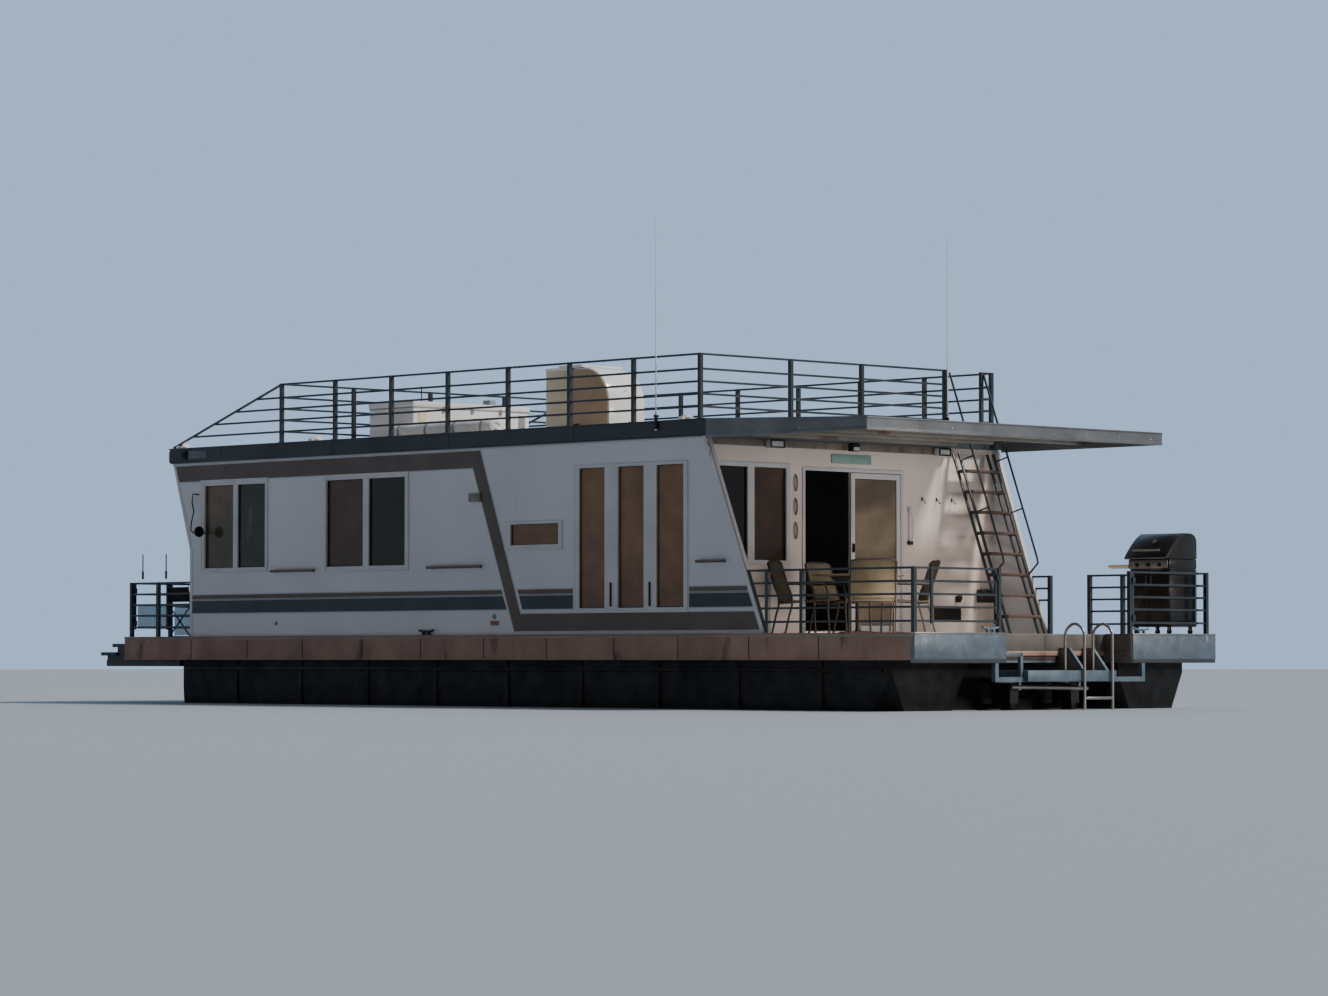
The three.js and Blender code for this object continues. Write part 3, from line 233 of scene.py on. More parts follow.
@dataclass(frozen=True)
class Finish:
    """A surface, from what it is made of and how it was made.

    Sizes of patterns are real ones in millimetres.
    """

    name: str
    colour: str
    shade: str
    roughness: tuple[float, float] = (0.45, 0.6)
    patch_mm: float = 900.0
    metallic: float = 0.0
    coat: float = 0.0
    grain_mm: float = 6.0
    relief_mm: float = 0.3
    stain: str = ""
    stain_mm: float = 350.0
    stain_share: float = 0.35
    fall: float = 1.0
    alpha: float = 1.0
    sheen: float = 0.0

    def material(self) -> bpy.types.Material:
        """Makes the material, or gives back the one already made.

        Returns:
            The material.
        """
        found = bpy.data.materials.get(self.name)
        if found:
            return found
        made = bpy.data.materials.new(self.name)
        made.use_nodes = True
        tree = made.node_tree
        tree.nodes.clear()
        shader = add_node(tree, "ShaderNodeBsdfPrincipled", self.shader_settings())
        output = add_node(tree, "ShaderNodeOutputMaterial")
        tree.links.new(shader.outputs["BSDF"], output.inputs["Surface"])
        place = add_node(tree, "ShaderNodeTexCoord").outputs["Object"]
        self.paint(tree, shader, place)
        made.diffuse_color = linear(self.colour)
        return made

    def shader_settings(self) -> dict[str, object]:
        """The values that are the same all over the surface.

        Returns:
            The shader's inputs by name.
        """
        settings = {"Metallic": self.metallic}
        if self.coat:
            settings |= {"Coat Weight": self.coat, "Coat Roughness": 0.06}
        if self.alpha < 1:
            settings["Alpha"] = self.alpha
        if self.sheen:
            settings["Sheen Weight"] = self.sheen
        return settings

    def noise(
        self, tree: bpy.types.NodeTree, place: bpy.types.NodeSocket, size_mm: float, fall: float = 1.0,
        detail: float = 4.0,
    ) -> bpy.types.NodeSocket:
        """Noise whose blobs have a real size, drawn out downwards by fall.

        Args:
            tree: The material's node tree.
            place: The coordinates.
            size_mm: The blobs' size.
            fall: How many times longer they are in height.
            detail: Octaves of the noise.

        Returns:
            The noise's value.
        """
        scale = 1000.0 / size_mm
        mapping = add_node(
            tree, "ShaderNodeMapping", {"Scale": (scale, scale, scale / fall)}, {"Vector": place}
        )
        made = add_node(
            tree,
            "ShaderNodeTexNoise",
            {"Scale": 1.0, "Detail": detail},
            {"Vector": mapping.outputs["Vector"]},
        )
        return made.outputs["Fac"]

    def between(
        self, tree: bpy.types.NodeTree, value: bpy.types.NodeSocket, low: float, high: float,
        ends: tuple[float, float],
    ) -> bpy.types.NodeSocket:
        """Spreads the part of a value between low and high over a new range.

        Args:
            tree: The material's node tree.
            value: The value.
            low: Where the part starts.
            high: Where the part stops.
            ends: The new range.

        Returns:
            The value in its new range.
        """
        made = add_node(
            tree,
            "ShaderNodeMapRange",
            {"From Min": low, "From Max": high, "To Min": ends[0], "To Max": ends[1]},
            {"Value": value},
        )
        return made.outputs["Result"]

    def mix(
        self, tree: bpy.types.NodeTree, share: bpy.types.NodeSocket, first: bpy.types.NodeSocket | str,
        second: bpy.types.NodeSocket | str,
    ) -> bpy.types.NodeSocket:
        """Mixes two colours, each a hex value or a socket.

        Args:
            tree: The material's node tree.
            share: How much of the second colour.
            first: The first colour.
            second: The second colour.

        Returns:
            The mixed colour.
        """
        node = add_node(tree, "ShaderNodeMix", {"data_type": "RGBA"}, {"Factor_Float": share})
        for key, colour in (("A_Color", first), ("B_Color", second)):
            if isinstance(colour, str):
                socket_of(node.inputs, key).default_value = linear(colour)
            else:
                tree.links.new(colour, socket_of(node.inputs, key))
        return socket_of(node.outputs, "Result_Color")

    def colouring(self, tree: bpy.types.NodeTree, place: bpy.types.NodeSocket) -> bpy.types.NodeSocket:
        """The mottled base colour, with its stains.

        Args:
            tree: The material's node tree.
            place: The coordinates.

        Returns:
            The base colour.
        """
        mottle = self.between(
            tree, self.noise(tree, place, self.patch_mm, self.fall), *MOTTLE_CUT, (0.0, 1.0)
        )
        colour = self.mix(tree, mottle, self.colour, self.shade)
        if self.stain:
            spots = self.noise(tree, place, self.stain_mm, self.fall * 2, 6.0)
            edge = STAIN_EDGE - self.stain_share * 0.4
            share = self.between(tree, spots, edge, edge + STAIN_FADE, (0.0, STAIN_MOST))
            colour = self.mix(tree, share, colour, self.stain)
        return colour

    def paint(
        self, tree: bpy.types.NodeTree, shader: bpy.types.Node, place: bpy.types.NodeSocket
    ) -> None:
        """Joins colour, roughness and relief to the shader.

        Args:
            tree: The material's node tree.
            shader: The shader node.
            place: The coordinates.
        """
        tree.links.new(self.colouring(tree, place), shader.inputs["Base Color"])
        rough = self.between(tree, self.noise(tree, place, self.patch_mm / 3), *ROUGH_CUT, self.roughness)
        tree.links.new(rough, shader.inputs["Roughness"])
        self.emboss(tree, shader, self.noise(tree, place, self.grain_mm), self.relief_mm)

    def emboss(
        self, tree: bpy.types.NodeTree, shader: bpy.types.Node, height: bpy.types.NodeSocket,
        depth_mm: float,
    ) -> None:
        """Raises the surface by a height value, in real depth.

        Args:
            tree: The material's node tree.
            shader: The shader node.
            height: The height value.
            depth_mm: The relief's depth in millimetres.
        """
        bump = add_node(
            tree, "ShaderNodeBump", {"Strength": 0.6, "Distance": depth_mm / 1000}, {"Height": height}
        )
        tree.links.new(bump.outputs["Normal"], shader.inputs["Normal"])


@dataclass(frozen=True)
class BandedFinish(Finish):
    """A finish with soft parallel bands, such as wood grain, or rock bedding painted in a mirror film as a
    reflection.
    """

    band_mm: float = 40.0
    tilt: tuple[float, float, float] = (0.0, 0.0, 0.0)
    waver: float = 3.0
    dark: str = "#000000"
    dark_share: float = 0.5

    def colouring(self, tree: bpy.types.NodeTree, place: bpy.types.NodeSocket) -> bpy.types.NodeSocket:
        """Bands over the mottled colour.

        Args:
            tree: The material's node tree.
            place: The coordinates.

        Returns:
            The base colour.
        """
        base = super().colouring(tree, place)
        turned = add_node(tree, "ShaderNodeMapping", {"Rotation": self.tilt}, {"Vector": place})
        wave = add_node(
            tree,
            "ShaderNodeTexWave",
            {
                "bands_direction": "Z", "Scale": wave_scale(self.band_mm), "Distortion": self.waver,
                "Detail": 4.0, "Detail Scale": 1.5,
            },
            {"Vector": turned.outputs["Vector"]},
        )
        share = self.between(tree, wave.outputs["Fac"], 0.35, 0.9, (0.0, self.dark_share))
        return self.mix(tree, share, base, self.dark)


@dataclass(frozen=True)
class RibbedFinish(Finish):
    """Sheet with ribs pressed into it at an even pitch along X."""

    rib_mm: float = 75.0
    rib_depth_mm: float = 8.0

    def paint(
        self, tree: bpy.types.NodeTree, shader: bpy.types.Node, place: bpy.types.NodeSocket
    ) -> None:
        """Adds the ribs to the mottled sheet.

        Args:
            tree: The material's node tree.
            shader: The shader node.
            place: The coordinates.
        """
        super().paint(tree, shader, place)
        ribs = add_node(
            tree,
            "ShaderNodeTexWave",
            {"bands_direction": "X", "Scale": wave_scale(self.rib_mm) * math.pi / 1.5},
            {"Vector": place},
        )
        self.emboss(tree, shader, ribs.outputs["Fac"], self.rib_depth_mm)


@dataclass(frozen=True)
class WeavedFinish(Finish):
    """Cloth woven from two crossing sets of threads, drawn coarse enough to show."""

    thread_mm: float = 6.0

    def paint(
        self, tree: bpy.types.NodeTree, shader: bpy.types.Node, place: bpy.types.NodeSocket
    ) -> None:
        """Adds the threads to the cloth.

        Args:
            tree: The material's node tree.
            shader: The shader node.
            place: The coordinates.
        """
        super().paint(tree, shader, place)
        scale = wave_scale(self.thread_mm) * math.pi
        sets = [
            add_node(
                tree, "ShaderNodeTexWave", {"bands_direction": way, "Scale": scale}, {"Vector": place}
            ).outputs["Fac"]
            for way in ("Y", "Z")
        ]
        both = add_node(tree, "ShaderNodeMath", {"operation": "MULTIPLY"})
        tree.links.new(sets[0], both.inputs[0])
        tree.links.new(sets[1], both.inputs[1])
        self.emboss(tree, shader, both.outputs["Value"], 0.8)


# Gelcoat over plywood, rolled on and sun-chalked: cool white, satin, faint streaks below the seams
WALL_WHITE = Finish(
    "gelcoat_wall_panel", "#d9dbe2", "#cfd2da", (0.38, 0.55), 1400, stain="#bfc1c9", stain_share=0.05,
    stain_mm=500, fall=3.0, relief_mm=0.25, grain_mm=60,
)
# The same panel where the sun reaches it, painted warmer and lighter: painted sunlight
SUNLIT_STERN_WHITE = Finish(
    "gelcoat_stern_panel", "#eadfd8", "#dfd2ca", (0.4, 0.55), 1100, stain="#c7bbb0", stain_share=0.08,
    fall=3.0, relief_mm=0.25, grain_mm=60,
)
# Cast vinyl striping film: flat taupe brown with a slight orange peel
TAUPE = Finish("taupe_vinyl_film", "#655c58", "#5a524f", (0.5, 0.65), 700, relief_mm=0.1)
# Cast vinyl striping film in slate blue
SLATE_FILM = Finish("slate_vinyl_film", "#33434e", "#2c3a44", (0.45, 0.6), 700, relief_mm=0.1)
# Pale pinstripe film along the bands
PINSTRIPE = Finish("pale_vinyl_film", "#c3c5ca", "#b5b7bd", (0.45, 0.6), 500, relief_mm=0.1)
# Sprayed enamel on folded aluminium fascia: dark slate, chalked in patches
FASCIA = Finish(
    "slate_enamel_fascia", "#333e44", "#29333a", (0.4, 0.6), 1200, stain="#4a555b", stain_share=0.12,
    relief_mm=0.3, grain_mm=40,
)
# Bare aluminium sheet of the canopy, dulled by weather
CANOPY_METAL = Finish(
    "mill_aluminium_sheet", "#7b7f82", "#6b6f72", (0.35, 0.5), 500, metallic=0.65, stain="#7b6c5f",
    stain_share=0.1, stain_mm=300, relief_mm=0.3,
)
# Canopy soffit: ribbed beige sheet with brown water stains
SOFFIT = RibbedFinish(
    "ribbed_soffit_sheet", "#918e88", "#7b7872", (0.5, 0.7), 600, stain="#6b4a30", stain_share=0.33,
    stain_mm=420, rib_mm=150, rib_depth_mm=14,
)
# Brushed-on slate enamel over square steel tube
RAIL_PAINT = Finish(
    "slate_enamel_rail", "#2b363e", "#20292f", (0.35, 0.5), 300, stain="#5a4a40", stain_share=0.05,
    stain_mm=90, relief_mm=0.2, coat=0.2,
)
# Steel rim, primed pink-brown and stained by rust and water
RIM_STEEL = Finish(
    "primed_rim_steel", "#ae8d7e", "#927567", (0.6, 0.8), 420, stain="#4d3b35", stain_share=0.3,
    stain_mm=260, fall=1.6, relief_mm=0.6, grain_mm=18,
)
# Hot-dip galvanised plate: pale blue-grey with spangle
GALVANISED = Finish(
    "hot_dip_galvanised_plate", "#74818c", "#636f7a", (0.35, 0.55), 160, metallic=0.55, stain="#b6c3cb",
    stain_share=0.2, stain_mm=120, relief_mm=0.2,
)
# Galvanised tube under water spray, greyer
WET_STEEL = Finish(
    "dulled_galvanised_tube", "#6d7f8c", "#586975", (0.35, 0.55), 200, metallic=0.5, stain="#54493f",
    stain_share=0.15, stain_mm=120,
)
# Brown-grey painted plate inside the boarding recess
RECESS_PLATE = Finish(
    "worn_painted_plate", "#6f6964", "#5d5753", (0.5, 0.7), 350, stain="#4d3c33", stain_share=0.25,
    relief_mm=0.5,
)
# Black bottom paint, matt, with dust near the top
BOTTOM_PAINT = Finish(
    "black_bottom_paint", "#111315", "#0b0c0e", (0.55, 0.8), 700, stain="#191817", stain_share=0.2,
    fall=2.0, relief_mm=0.8, grain_mm=25,
)
# Rolled non-slip coating with sand in it
NONSLIP = Finish(
    "nonslip_deck_coating", "#a8a298", "#958f85", (0.8, 0.95), 800, stain="#7d766c", stain_share=0.2,
    relief_mm=1.0, grain_mm=8,
)
# Extruded white vinyl window frame
FRAME_VINYL = Finish(
    "white_vinyl_extrusion", "#d3d3d6", "#c7c7cb", (0.3, 0.45), 400, coat=0.15, relief_mm=0.1
)
# Tinted window glass with a dark room behind
DARK_GLASS = Finish(
    "dark_tinted_glass", "#1d1d1c", "#121212", (0.03, 0.08), 500, coat=0.1, relief_mm=0.02, grain_mm=300
)
# Reflective bronze film on glass: the film's warm brown tint, with a painted reflection of rock bedding in
# soft dark bands
BRONZE_GLASS = BandedFinish(
    "bronze_film_glass", "#8c6a4b", "#735338", (0.05, 0.12), 350, coat=0.25, relief_mm=0.02, grain_mm=300,
    band_mm=420, waver=6.0, dark="#5d4230", dark_share=0.5,
)
# The same film over the darkest rooms: its darker colour is painted shade of the rooms behind, its bands a
# painted reflection
RED_GLASS = BandedFinish(
    "bronze_film_glass_deep", "#54402f", "#403023", (0.05, 0.12), 350, coat=0.15, relief_mm=0.02,
    grain_mm=300, band_mm=500, waver=5.0, dark="#37251c", dark_share=0.5,
)
# Silver film on the stern door's fixed leaf, its tan and its bands a painted reflection of the shore
PALE_GLASS = BandedFinish(
    "silver_film_glass", "#8f8069", "#796a55", (0.05, 0.12), 350, coat=0.3, relief_mm=0.02, grain_mm=300,
    band_mm=160, waver=5.0, tilt=(0.25, 0.1, 0.0), dark="#54493a", dark_share=0.8,
)
# Tan film on float glass, with the helm's things dim behind it
HELM_GLASS = BandedFinish(
    "tan_film_glass", "#6f6350", "#574c3c", (0.05, 0.12), 350, coat=0.2, relief_mm=0.02, grain_mm=300,
    band_mm=260, waver=4.0, dark="#3b3a2f", dark_share=0.6,
)
# Green-tinted float glass of the helm's after light
GREEN_GLASS = Finish(
    "green_tinted_glass", "#2e3833", "#222a27", (0.04, 0.1), 300, coat=0.15, relief_mm=0.02, grain_mm=300,
    stain="#4f5a52", stain_mm=300,
)
# Butyl and EPDM seals: dull black
SEAL_RUBBER = Finish("epdm_seal", "#1c1c1d", "#141414", (0.7, 0.85), 200, relief_mm=0.1)
# Glossy white gelcoat of the roof boxes
GELCOAT = Finish(
    "white_gelcoat", "#eef0f0", "#e0e3e4", (0.12, 0.22), 900, coat=0.6, relief_mm=0.1, grain_mm=80
)
# Cream gelcoat of the roof seat, yellowed by the sun
CREAM_GELCOAT = Finish("cream_gelcoat", "#e2d6c0", "#d5c8b0", (0.25, 0.4), 700, coat=0.2, relief_mm=0.1)
# Tan enamel brushed on the grill shelf's board; on the console's cheeks the tan is painted warm light
# bounced from sandstone onto faces in shade
TAN_BOARD_AND_BOUNCE = Finish("tan_painted_board", "#b39d84", "#a38d75", (0.5, 0.65), 600, relief_mm=0.2)
# Blue-grey polythene mouldings, and painted shade on the cloth
SHADE_PLASTIC = Finish("blue_grey_moulded_cover", "#8d98a6", "#7f8a98", (0.4, 0.55), 500, relief_mm=0.2)
# Brushed stainless tube
STAINLESS = Finish(
    "brushed_stainless_tube", "#b5b0aa", "#a49f99", (0.3, 0.4), 400, metallic=1.0, relief_mm=0.05
)
# Painted cast aluminium of the drives
DRIVE_PAINT = Finish("cast_alloy_enamel", "#1f2022", "#161719", (0.35, 0.5), 200, coat=0.2, relief_mm=0.5)
# Porcelain enamel of the grill, black and a little dusty
BLACK_ENAMEL = Finish(
    "black_porcelain_enamel", "#0a0a0b", "#060607", (0.28, 0.42), 300, coat=0.1, relief_mm=0.1
)
# Brushed stainless of the grill's handle, panel and forks
GRILL_STEEL = Finish(
    "brushed_grill_steel", "#9a9a98", "#838382", (0.3, 0.45), 60, metallic=0.9, relief_mm=0.1
)
# Acetal and nylon mouldings
BLACK_PLASTIC = Finish("black_nylon_moulding", "#1b1c1e", "#131415", (0.4, 0.6), 120, relief_mm=0.2)
# Stained redwood treads, dried out by the sun
REDWOOD = BandedFinish(
    "stained_redwood_tread", "#5f4a43", "#503e39", (0.6, 0.8), 160, relief_mm=0.6, grain_mm=8, band_mm=24,
    waver=2.5, dark="#4d362e", dark_share=0.45,
)
# Woven vinyl-coated polyester sling of the patio chairs
SLING = WeavedFinish("woven_vinyl_sling", "#7f7359", "#6e624a", (0.6, 0.8), 200, sheen=0.1, relief_mm=0.1)
# Powder-coated aluminium tube of the chairs
CHAIR_TUBE = Finish("bronze_powder_coat", "#4b4035", "#3c332a", (0.4, 0.55), 150, relief_mm=0.2)
# Cast acrylic sheet in the bow rail, sea green and see-through
ACRYLIC = Finish(
    "sea_green_acrylic_sheet", "#7fb0a8", "#6fa098", (0.08, 0.15), 400, alpha=0.55, relief_mm=0.02
)
# Painted wooden board, bare of words
BOARD_PAINT = Finish(
    "pale_teal_painted_board", "#8fb3ac", "#77a099", (0.55, 0.7), 120, stain="#5f8780", stain_share=0.3,
    stain_mm=60, relief_mm=0.4,
)
# Moulded lens of a lamp
LENS = Finish("frosted_lamp_lens", "#d6d8d8", "#c2c5c6", (0.2, 0.3), 60, coat=0.5, relief_mm=0.05)
# Loop-pile carpet inside
CARPET = Finish("loop_pile_carpet", "#5b5047", "#4b4139", (0.9, 1.0), 300, relief_mm=2.0, grain_mm=7)
# Oak veneer of the wainscot
LINING = Finish("oak_veneer_lining", "#a58a66", "#927857", (0.5, 0.6), 500, fall=6.0, relief_mm=0.2)
# Pleated polyester of the curtain, and the cabin's cloth ceiling
BLIND = Finish("pleated_blind_cloth", "#cbbfa8", "#b8ab93", (0.8, 0.9), 300, relief_mm=0.6, grain_mm=12)
# Red polyester tape, faded
RED_LABEL = Finish("faded_red_tape", "#a0705e", "#8b5d4d", (0.5, 0.6), 60, relief_mm=0.1)
# Dark brown: dirt held in the rim's joints, and painted shade on the strip under the recess lip
SEAM_DIRT_AND_SHADE = Finish("dirty_rim_seam", "#4a3c37", "#3d312d", (0.7, 0.9), 120, relief_mm=0.3)
# Grey moulded vent and caps
GREY_VENT = Finish("grey_moulded_vent", "#8d8a86", "#7b7875", (0.45, 0.6), 150, relief_mm=0.2)
# Weathered teak of the grab bars
GRAB_WOOD = BandedFinish(
    "weathered_teak_bar", "#6d5b4f", "#5b4b41", (0.35, 0.5), 90, coat=0.2, relief_mm=0.3, grain_mm=9,
    band_mm=9, waver=2.0, dark="#463930", dark_share=0.5,
)
# Wrought iron, rusted and rubbed back to a dull grey
WROUGHT_METAL = Finish(
    "wrought_iron_ornament", "#8d8983", "#716d67", (0.45, 0.6), 40, metallic=0.7, relief_mm=0.5
)
# White PVC-coated cloth of the rolled cover
COVER_CLOTH = WeavedFinish(
    "coated_cover_cloth", "#e2e3e4", "#cdd0d3", (0.6, 0.8), 260, sheen=0.1, relief_mm=0.5
)
# Flashing under the canopy, darker than the wall and blotched brown
FLASHING = Finish(
    "dark_blotched_flashing", "#857f76", "#6f675d", (0.5, 0.7), 300, stain="#5b3f29", stain_share=0.4,
    stain_mm=180, fall=2.0, relief_mm=0.2,
)
# Elastomeric roof coating, chalky
ROOF_COAT = Finish(
    "elastomeric_roof_coating", "#c9c7c0", "#b6b3aa", (0.75, 0.9), 900, stain="#9a968c", stain_share=0.2,
    relief_mm=0.8, grain_mm=10,
)
# Fibreglass whip, gloss white
ANTENNA_WHITE = Finish("fibreglass_whip", "#eceded", "#dfe1e2", (0.25, 0.35), 300, coat=0.3, relief_mm=0.05)
# Grey film of a number plate, left blank
PLATE_GREY = Finish("blank_plate_film", "#5d6a72", "#525e66", (0.4, 0.55), 200, relief_mm=0.05)


# Modelling


def clear_selection() -> None:
    """Deselects every object, so that the next operator acts on one piece only."""
    if bpy.context.mode != "OBJECT":
        bpy.ops.object.mode_set(mode="OBJECT")
    bpy.ops.object.select_all(action="DESELECT")


def select_only(piece: bpy.types.Object) -> None:
    """Selects one object and makes it active.

    Args:
        piece: The piece.
    """
    clear_selection()
    piece.select_set(True)
    bpy.context.view_layer.objects.active = piece


def settle(piece: bpy.types.Object) -> None:
    """Puts a piece's place, turn and scale into its mesh.

    Args:
        piece: The piece.
    """
    select_only(piece)
    bpy.ops.object.transform_apply(location=True, rotation=True, scale=True)


def apply_modifier(piece: bpy.types.Object, kind: str, **settings: object) -> None:
    """Adds a modifier and applies it.

    Args:
        piece: The object to change.
        kind: The modifier's type.
        settings: Values for the modifier.
    """
    select_only(piece)
    modifier = piece.modifiers.new(kind.lower(), kind)
    for key, value in settings.items():
        setattr(modifier, key, value)
    bpy.ops.object.modifier_apply(modifier=modifier.name)


def soften(piece: bpy.types.Object, width: float) -> None:
    """Rounds a piece's sharp edges and shades it smooth between them.

    Args:
        piece: The piece.
        width: The radius of the edges.
    """
    if width > 0:
        apply_modifier(
            piece, "BEVEL", width=width, segments=2, limit_method="ANGLE", angle_limit=SHARP_ANGLE,
            use_clamp_overlap=True,
        )
    select_only(piece)
    bpy.ops.object.shade_smooth_by_angle(angle=SHARP_ANGLE)


def finish_edit() -> None:
    """Turns all normals outwards and leaves edit mode."""
    bpy.ops.mesh.select_all(action="SELECT")
    bpy.ops.mesh.normals_make_consistent(inside=False)
    bpy.ops.object.mode_set(mode="OBJECT")


def block(
    name: str, low: Point, high: Point, bevel: float = 0.003, *, finish: Finish | None = None
) -> bpy.types.Object:
    """A box between two corners, with its edges rounded.

    Args:
        name: The piece's name.
        low: One corner.
        high: The corner across from it.
        bevel: The radius of the edges.
        finish: The piece's finish, where it has its own.

    Returns:
        The new piece.
    """
    near = Vector([min(pair) for pair in zip(low, high)])
    far = Vector([max(pair) for pair in zip(low, high)])
    clear_selection()
    bpy.ops.mesh.primitive_cube_add(size=1, location=(near + far) / 2)
    piece = bpy.context.active_object
    piece.name = name
    piece.scale = far - near
    settle(piece)
    soften(piece, min(bevel, min(far - near) * 0.45))
    return painted(piece, finish)


def slab(
    name: str, outline: Sequence[Point], push: Point, bevel: float = 0.002, *,
    finish: Finish | None = None,
) -> bpy.types.Object:
    """A flat outline of any shape, pushed out into a plate.

    Args:
        name: The piece's name.
        outline: The outline's points in order.
        push: The direction and length of the push.
        bevel: The radius of the edges.
        finish: The piece's finish, where it has its own.

    Returns:
        The new piece.
    """
    clear_selection()
    bpy.ops.mesh.primitive_circle_add(vertices=len(outline), radius=1, fill_type="NGON")
    piece = bpy.context.active_object
    piece.name = name
    for vertex, point in zip(piece.data.vertices, outline):
        vertex.co = Vector(point)
    bpy.ops.object.mode_set(mode="EDIT")
    bpy.ops.mesh.select_all(action="SELECT")
    bpy.ops.mesh.extrude_region_move(TRANSFORM_OT_translate={"value": tuple(push)})
    finish_edit()
    soften(piece, bevel)
    return painted(piece, finish)


def ring(
    name: str, corners: Sequence[Point], width: float, push: Point, bevel: float = 0.003, *,
    finish: Finish | None = None,
) -> bpy.types.Object:
    """A four-sided frame of even width, pushed out to its thickness.

    Args:
        name: The piece's name.
        corners: The frame's outer corners in order.
        width: The width of its members.
        push: The direction and length of the push.
        bevel: The radius of the edges.
        finish: The piece's finish, where it has its own.

    Returns:
        The new piece.
    """
    clear_selection()
    bpy.ops.mesh.primitive_plane_add(size=1)
    piece = bpy.context.active_object
    piece.name = name
    order = (0, 1, 3, 2)
    for index, point in zip(order, corners):
        piece.data.vertices[index].co = Vector(point)
    bpy.ops.object.mode_set(mode="EDIT")
    bpy.ops.mesh.select_mode(type="FACE")
    bpy.ops.mesh.select_all(action="SELECT")
    bpy.ops.mesh.inset(thickness=width, use_even_offset=True)
    bpy.ops.mesh.delete(type="FACE")
    bpy.ops.mesh.select_all(action="SELECT")
    bpy.ops.mesh.extrude_region_move(TRANSFORM_OT_translate={"value": tuple(push)})
    finish_edit()
    soften(piece, bevel)
    return painted(piece, finish)


def tube(
    name: str, route: Sequence[Point], radius: float, sides: int = 12, smooth_route: bool = False, *,
    finish: Finish | None = None,
) -> bpy.types.Object:
    """A round tube along a route, with closed ends.

    Args:
        name: The piece's name.
        route: The points that it follows.
        radius: The tube's radius.
        sides: How many sides its section has.
        smooth_route: Whether the route curves through its points.
        finish: The piece's finish, where it has its own.

    Returns:
        The new piece.
    """
    curve = bpy.data.curves.new(name, "CURVE")
    curve.dimensions = "3D"
    curve.bevel_depth = radius
    curve.bevel_resolution = max(0, sides // 4 - 1)
    curve.use_fill_caps = True
    curve.resolution_u = 6
    if smooth_route:
        spline = curve.splines.new("BEZIER")
        spline.bezier_points.add(len(route) - 1)
        for knot, point in zip(spline.bezier_points, route):
            knot.co = Vector(point)
            knot.handle_left_type = knot.handle_right_type = "AUTO"
    else:
        spline = curve.splines.new("POLY")
        spline.points.add(len(route) - 1)
        for knot, point in zip(spline.points, route):
            knot.co = (*point, 1.0)
    piece = bpy.data.objects.new(name, curve)
    bpy.context.scene.collection.objects.link(piece)
    select_only(piece)
    bpy.ops.object.convert(target="MESH")
    piece = bpy.context.active_object
    piece.name = name
    select_only(piece)
    bpy.ops.object.mode_set(mode="EDIT")
    bpy.ops.mesh.select_all(action="SELECT")
    bpy.ops.mesh.remove_doubles(threshold=MERGE)
    finish_edit()
    bpy.ops.object.shade_smooth_by_angle(angle=TUBE_ANGLE)
    return painted(piece, finish)


def square_tube(name: str, start: Point, end: Point, width: float) -> bpy.types.Object:
    """A square bar between two points, its corners rounded.

    Args:
        name: The piece's name.
        start: The middle of one end.
        end: The middle of the other.
        width: The bar's width.

    Returns:
        The new piece.
    """
    begin, stop = Vector(start), Vector(end)
    along = stop - begin
    clear_selection()
    bpy.ops.mesh.primitive_cube_add(size=1)
    piece = bpy.context.active_object
    piece.name = name
    piece.scale = (along.length, width, width)
    upright = abs(along.normalized().z) > 0.999
    level = Vector(TO_PORT) if upright else Vector(UP).cross(along).normalized()
    up = along.normalized().cross(level)
    turn = Matrix((along.normalized(), level, up)).transposed().to_4x4()
    middle = Matrix.Translation((begin + stop) / 2)
    piece.matrix_world = middle @ turn @ Matrix.Diagonal((*piece.scale, 1))
    settle(piece)
    soften(piece, width * 0.12)
    return piece


def spun(
    name: str, profile: Sequence[Span], centre: Point, axis: Point, steps: int = 24, *,
    finish: Finish | None = None,
) -> bpy.types.Object:
    """A turned shape from a profile of (distance along the axis, radius).

    Args:
        name: The piece's name.
        profile: Points from one end on the axis to the other.
        centre: The point on the axis that distances start from.
        axis: The axis's direction.
        steps: Sides of the turned shape.
        finish: The piece's finish, where it has its own.

    Returns:
        The new piece.
    """
    way = Vector(axis).normalized()
    aside = way.orthogonal().normalized()
    points = [Vector(centre) + way * a + aside * r for a, r in profile]
    mesh = bpy.data.meshes.new(name)
    mesh.from_pydata([tuple(p) for p in points], [(i, i + 1) for i in range(len(points) - 1)], [])
    piece = bpy.data.objects.new(name, mesh)
    bpy.context.scene.collection.objects.link(piece)
    select_only(piece)
    bpy.ops.object.mode_set(mode="EDIT")
    bpy.ops.mesh.select_all(action="SELECT")
    bpy.ops.mesh.spin(steps=steps, angle=2 * math.pi, center=tuple(centre), axis=tuple(way))
    bpy.ops.mesh.select_all(action="SELECT")
    bpy.ops.mesh.remove_doubles(threshold=SPUN_MERGE)
    finish_edit()
    bpy.ops.object.shade_smooth_by_angle(angle=SHARP_ANGLE)
    return painted(piece, finish)


def joined(name: str, parts: Iterable[bpy.types.Object]) -> bpy.types.Object:
    """Joins several pieces into one, which keeps each one's finish.

    Args:
        name: The whole piece's name.
        parts: The pieces to join.

    Returns:
        The whole piece.
    """
    parts = list(parts)
    clear_selection()
    for part in parts:
        part.select_set(True)
    bpy.context.view_layer.objects.active = parts[0]
    bpy.ops.object.join()
    whole = bpy.context.active_object
    whole.name = name
    return whole


def moved(piece: bpy.types.Object, place: Point, turn_deg: float = 0.0) -> bpy.types.Object:
    """Turns a piece about the upright axis, then moves it, in its mesh.

    Args:
        piece: The piece, built about the origin.
        place: Where its origin goes.
        turn_deg: The turn from +X to +Y.

    Returns:
        The piece.
    """
    piece.matrix_world = Matrix.Translation(Vector(place)) @ Matrix.Rotation(math.radians(turn_deg), 4, "Z")
    settle(piece)
    return piece


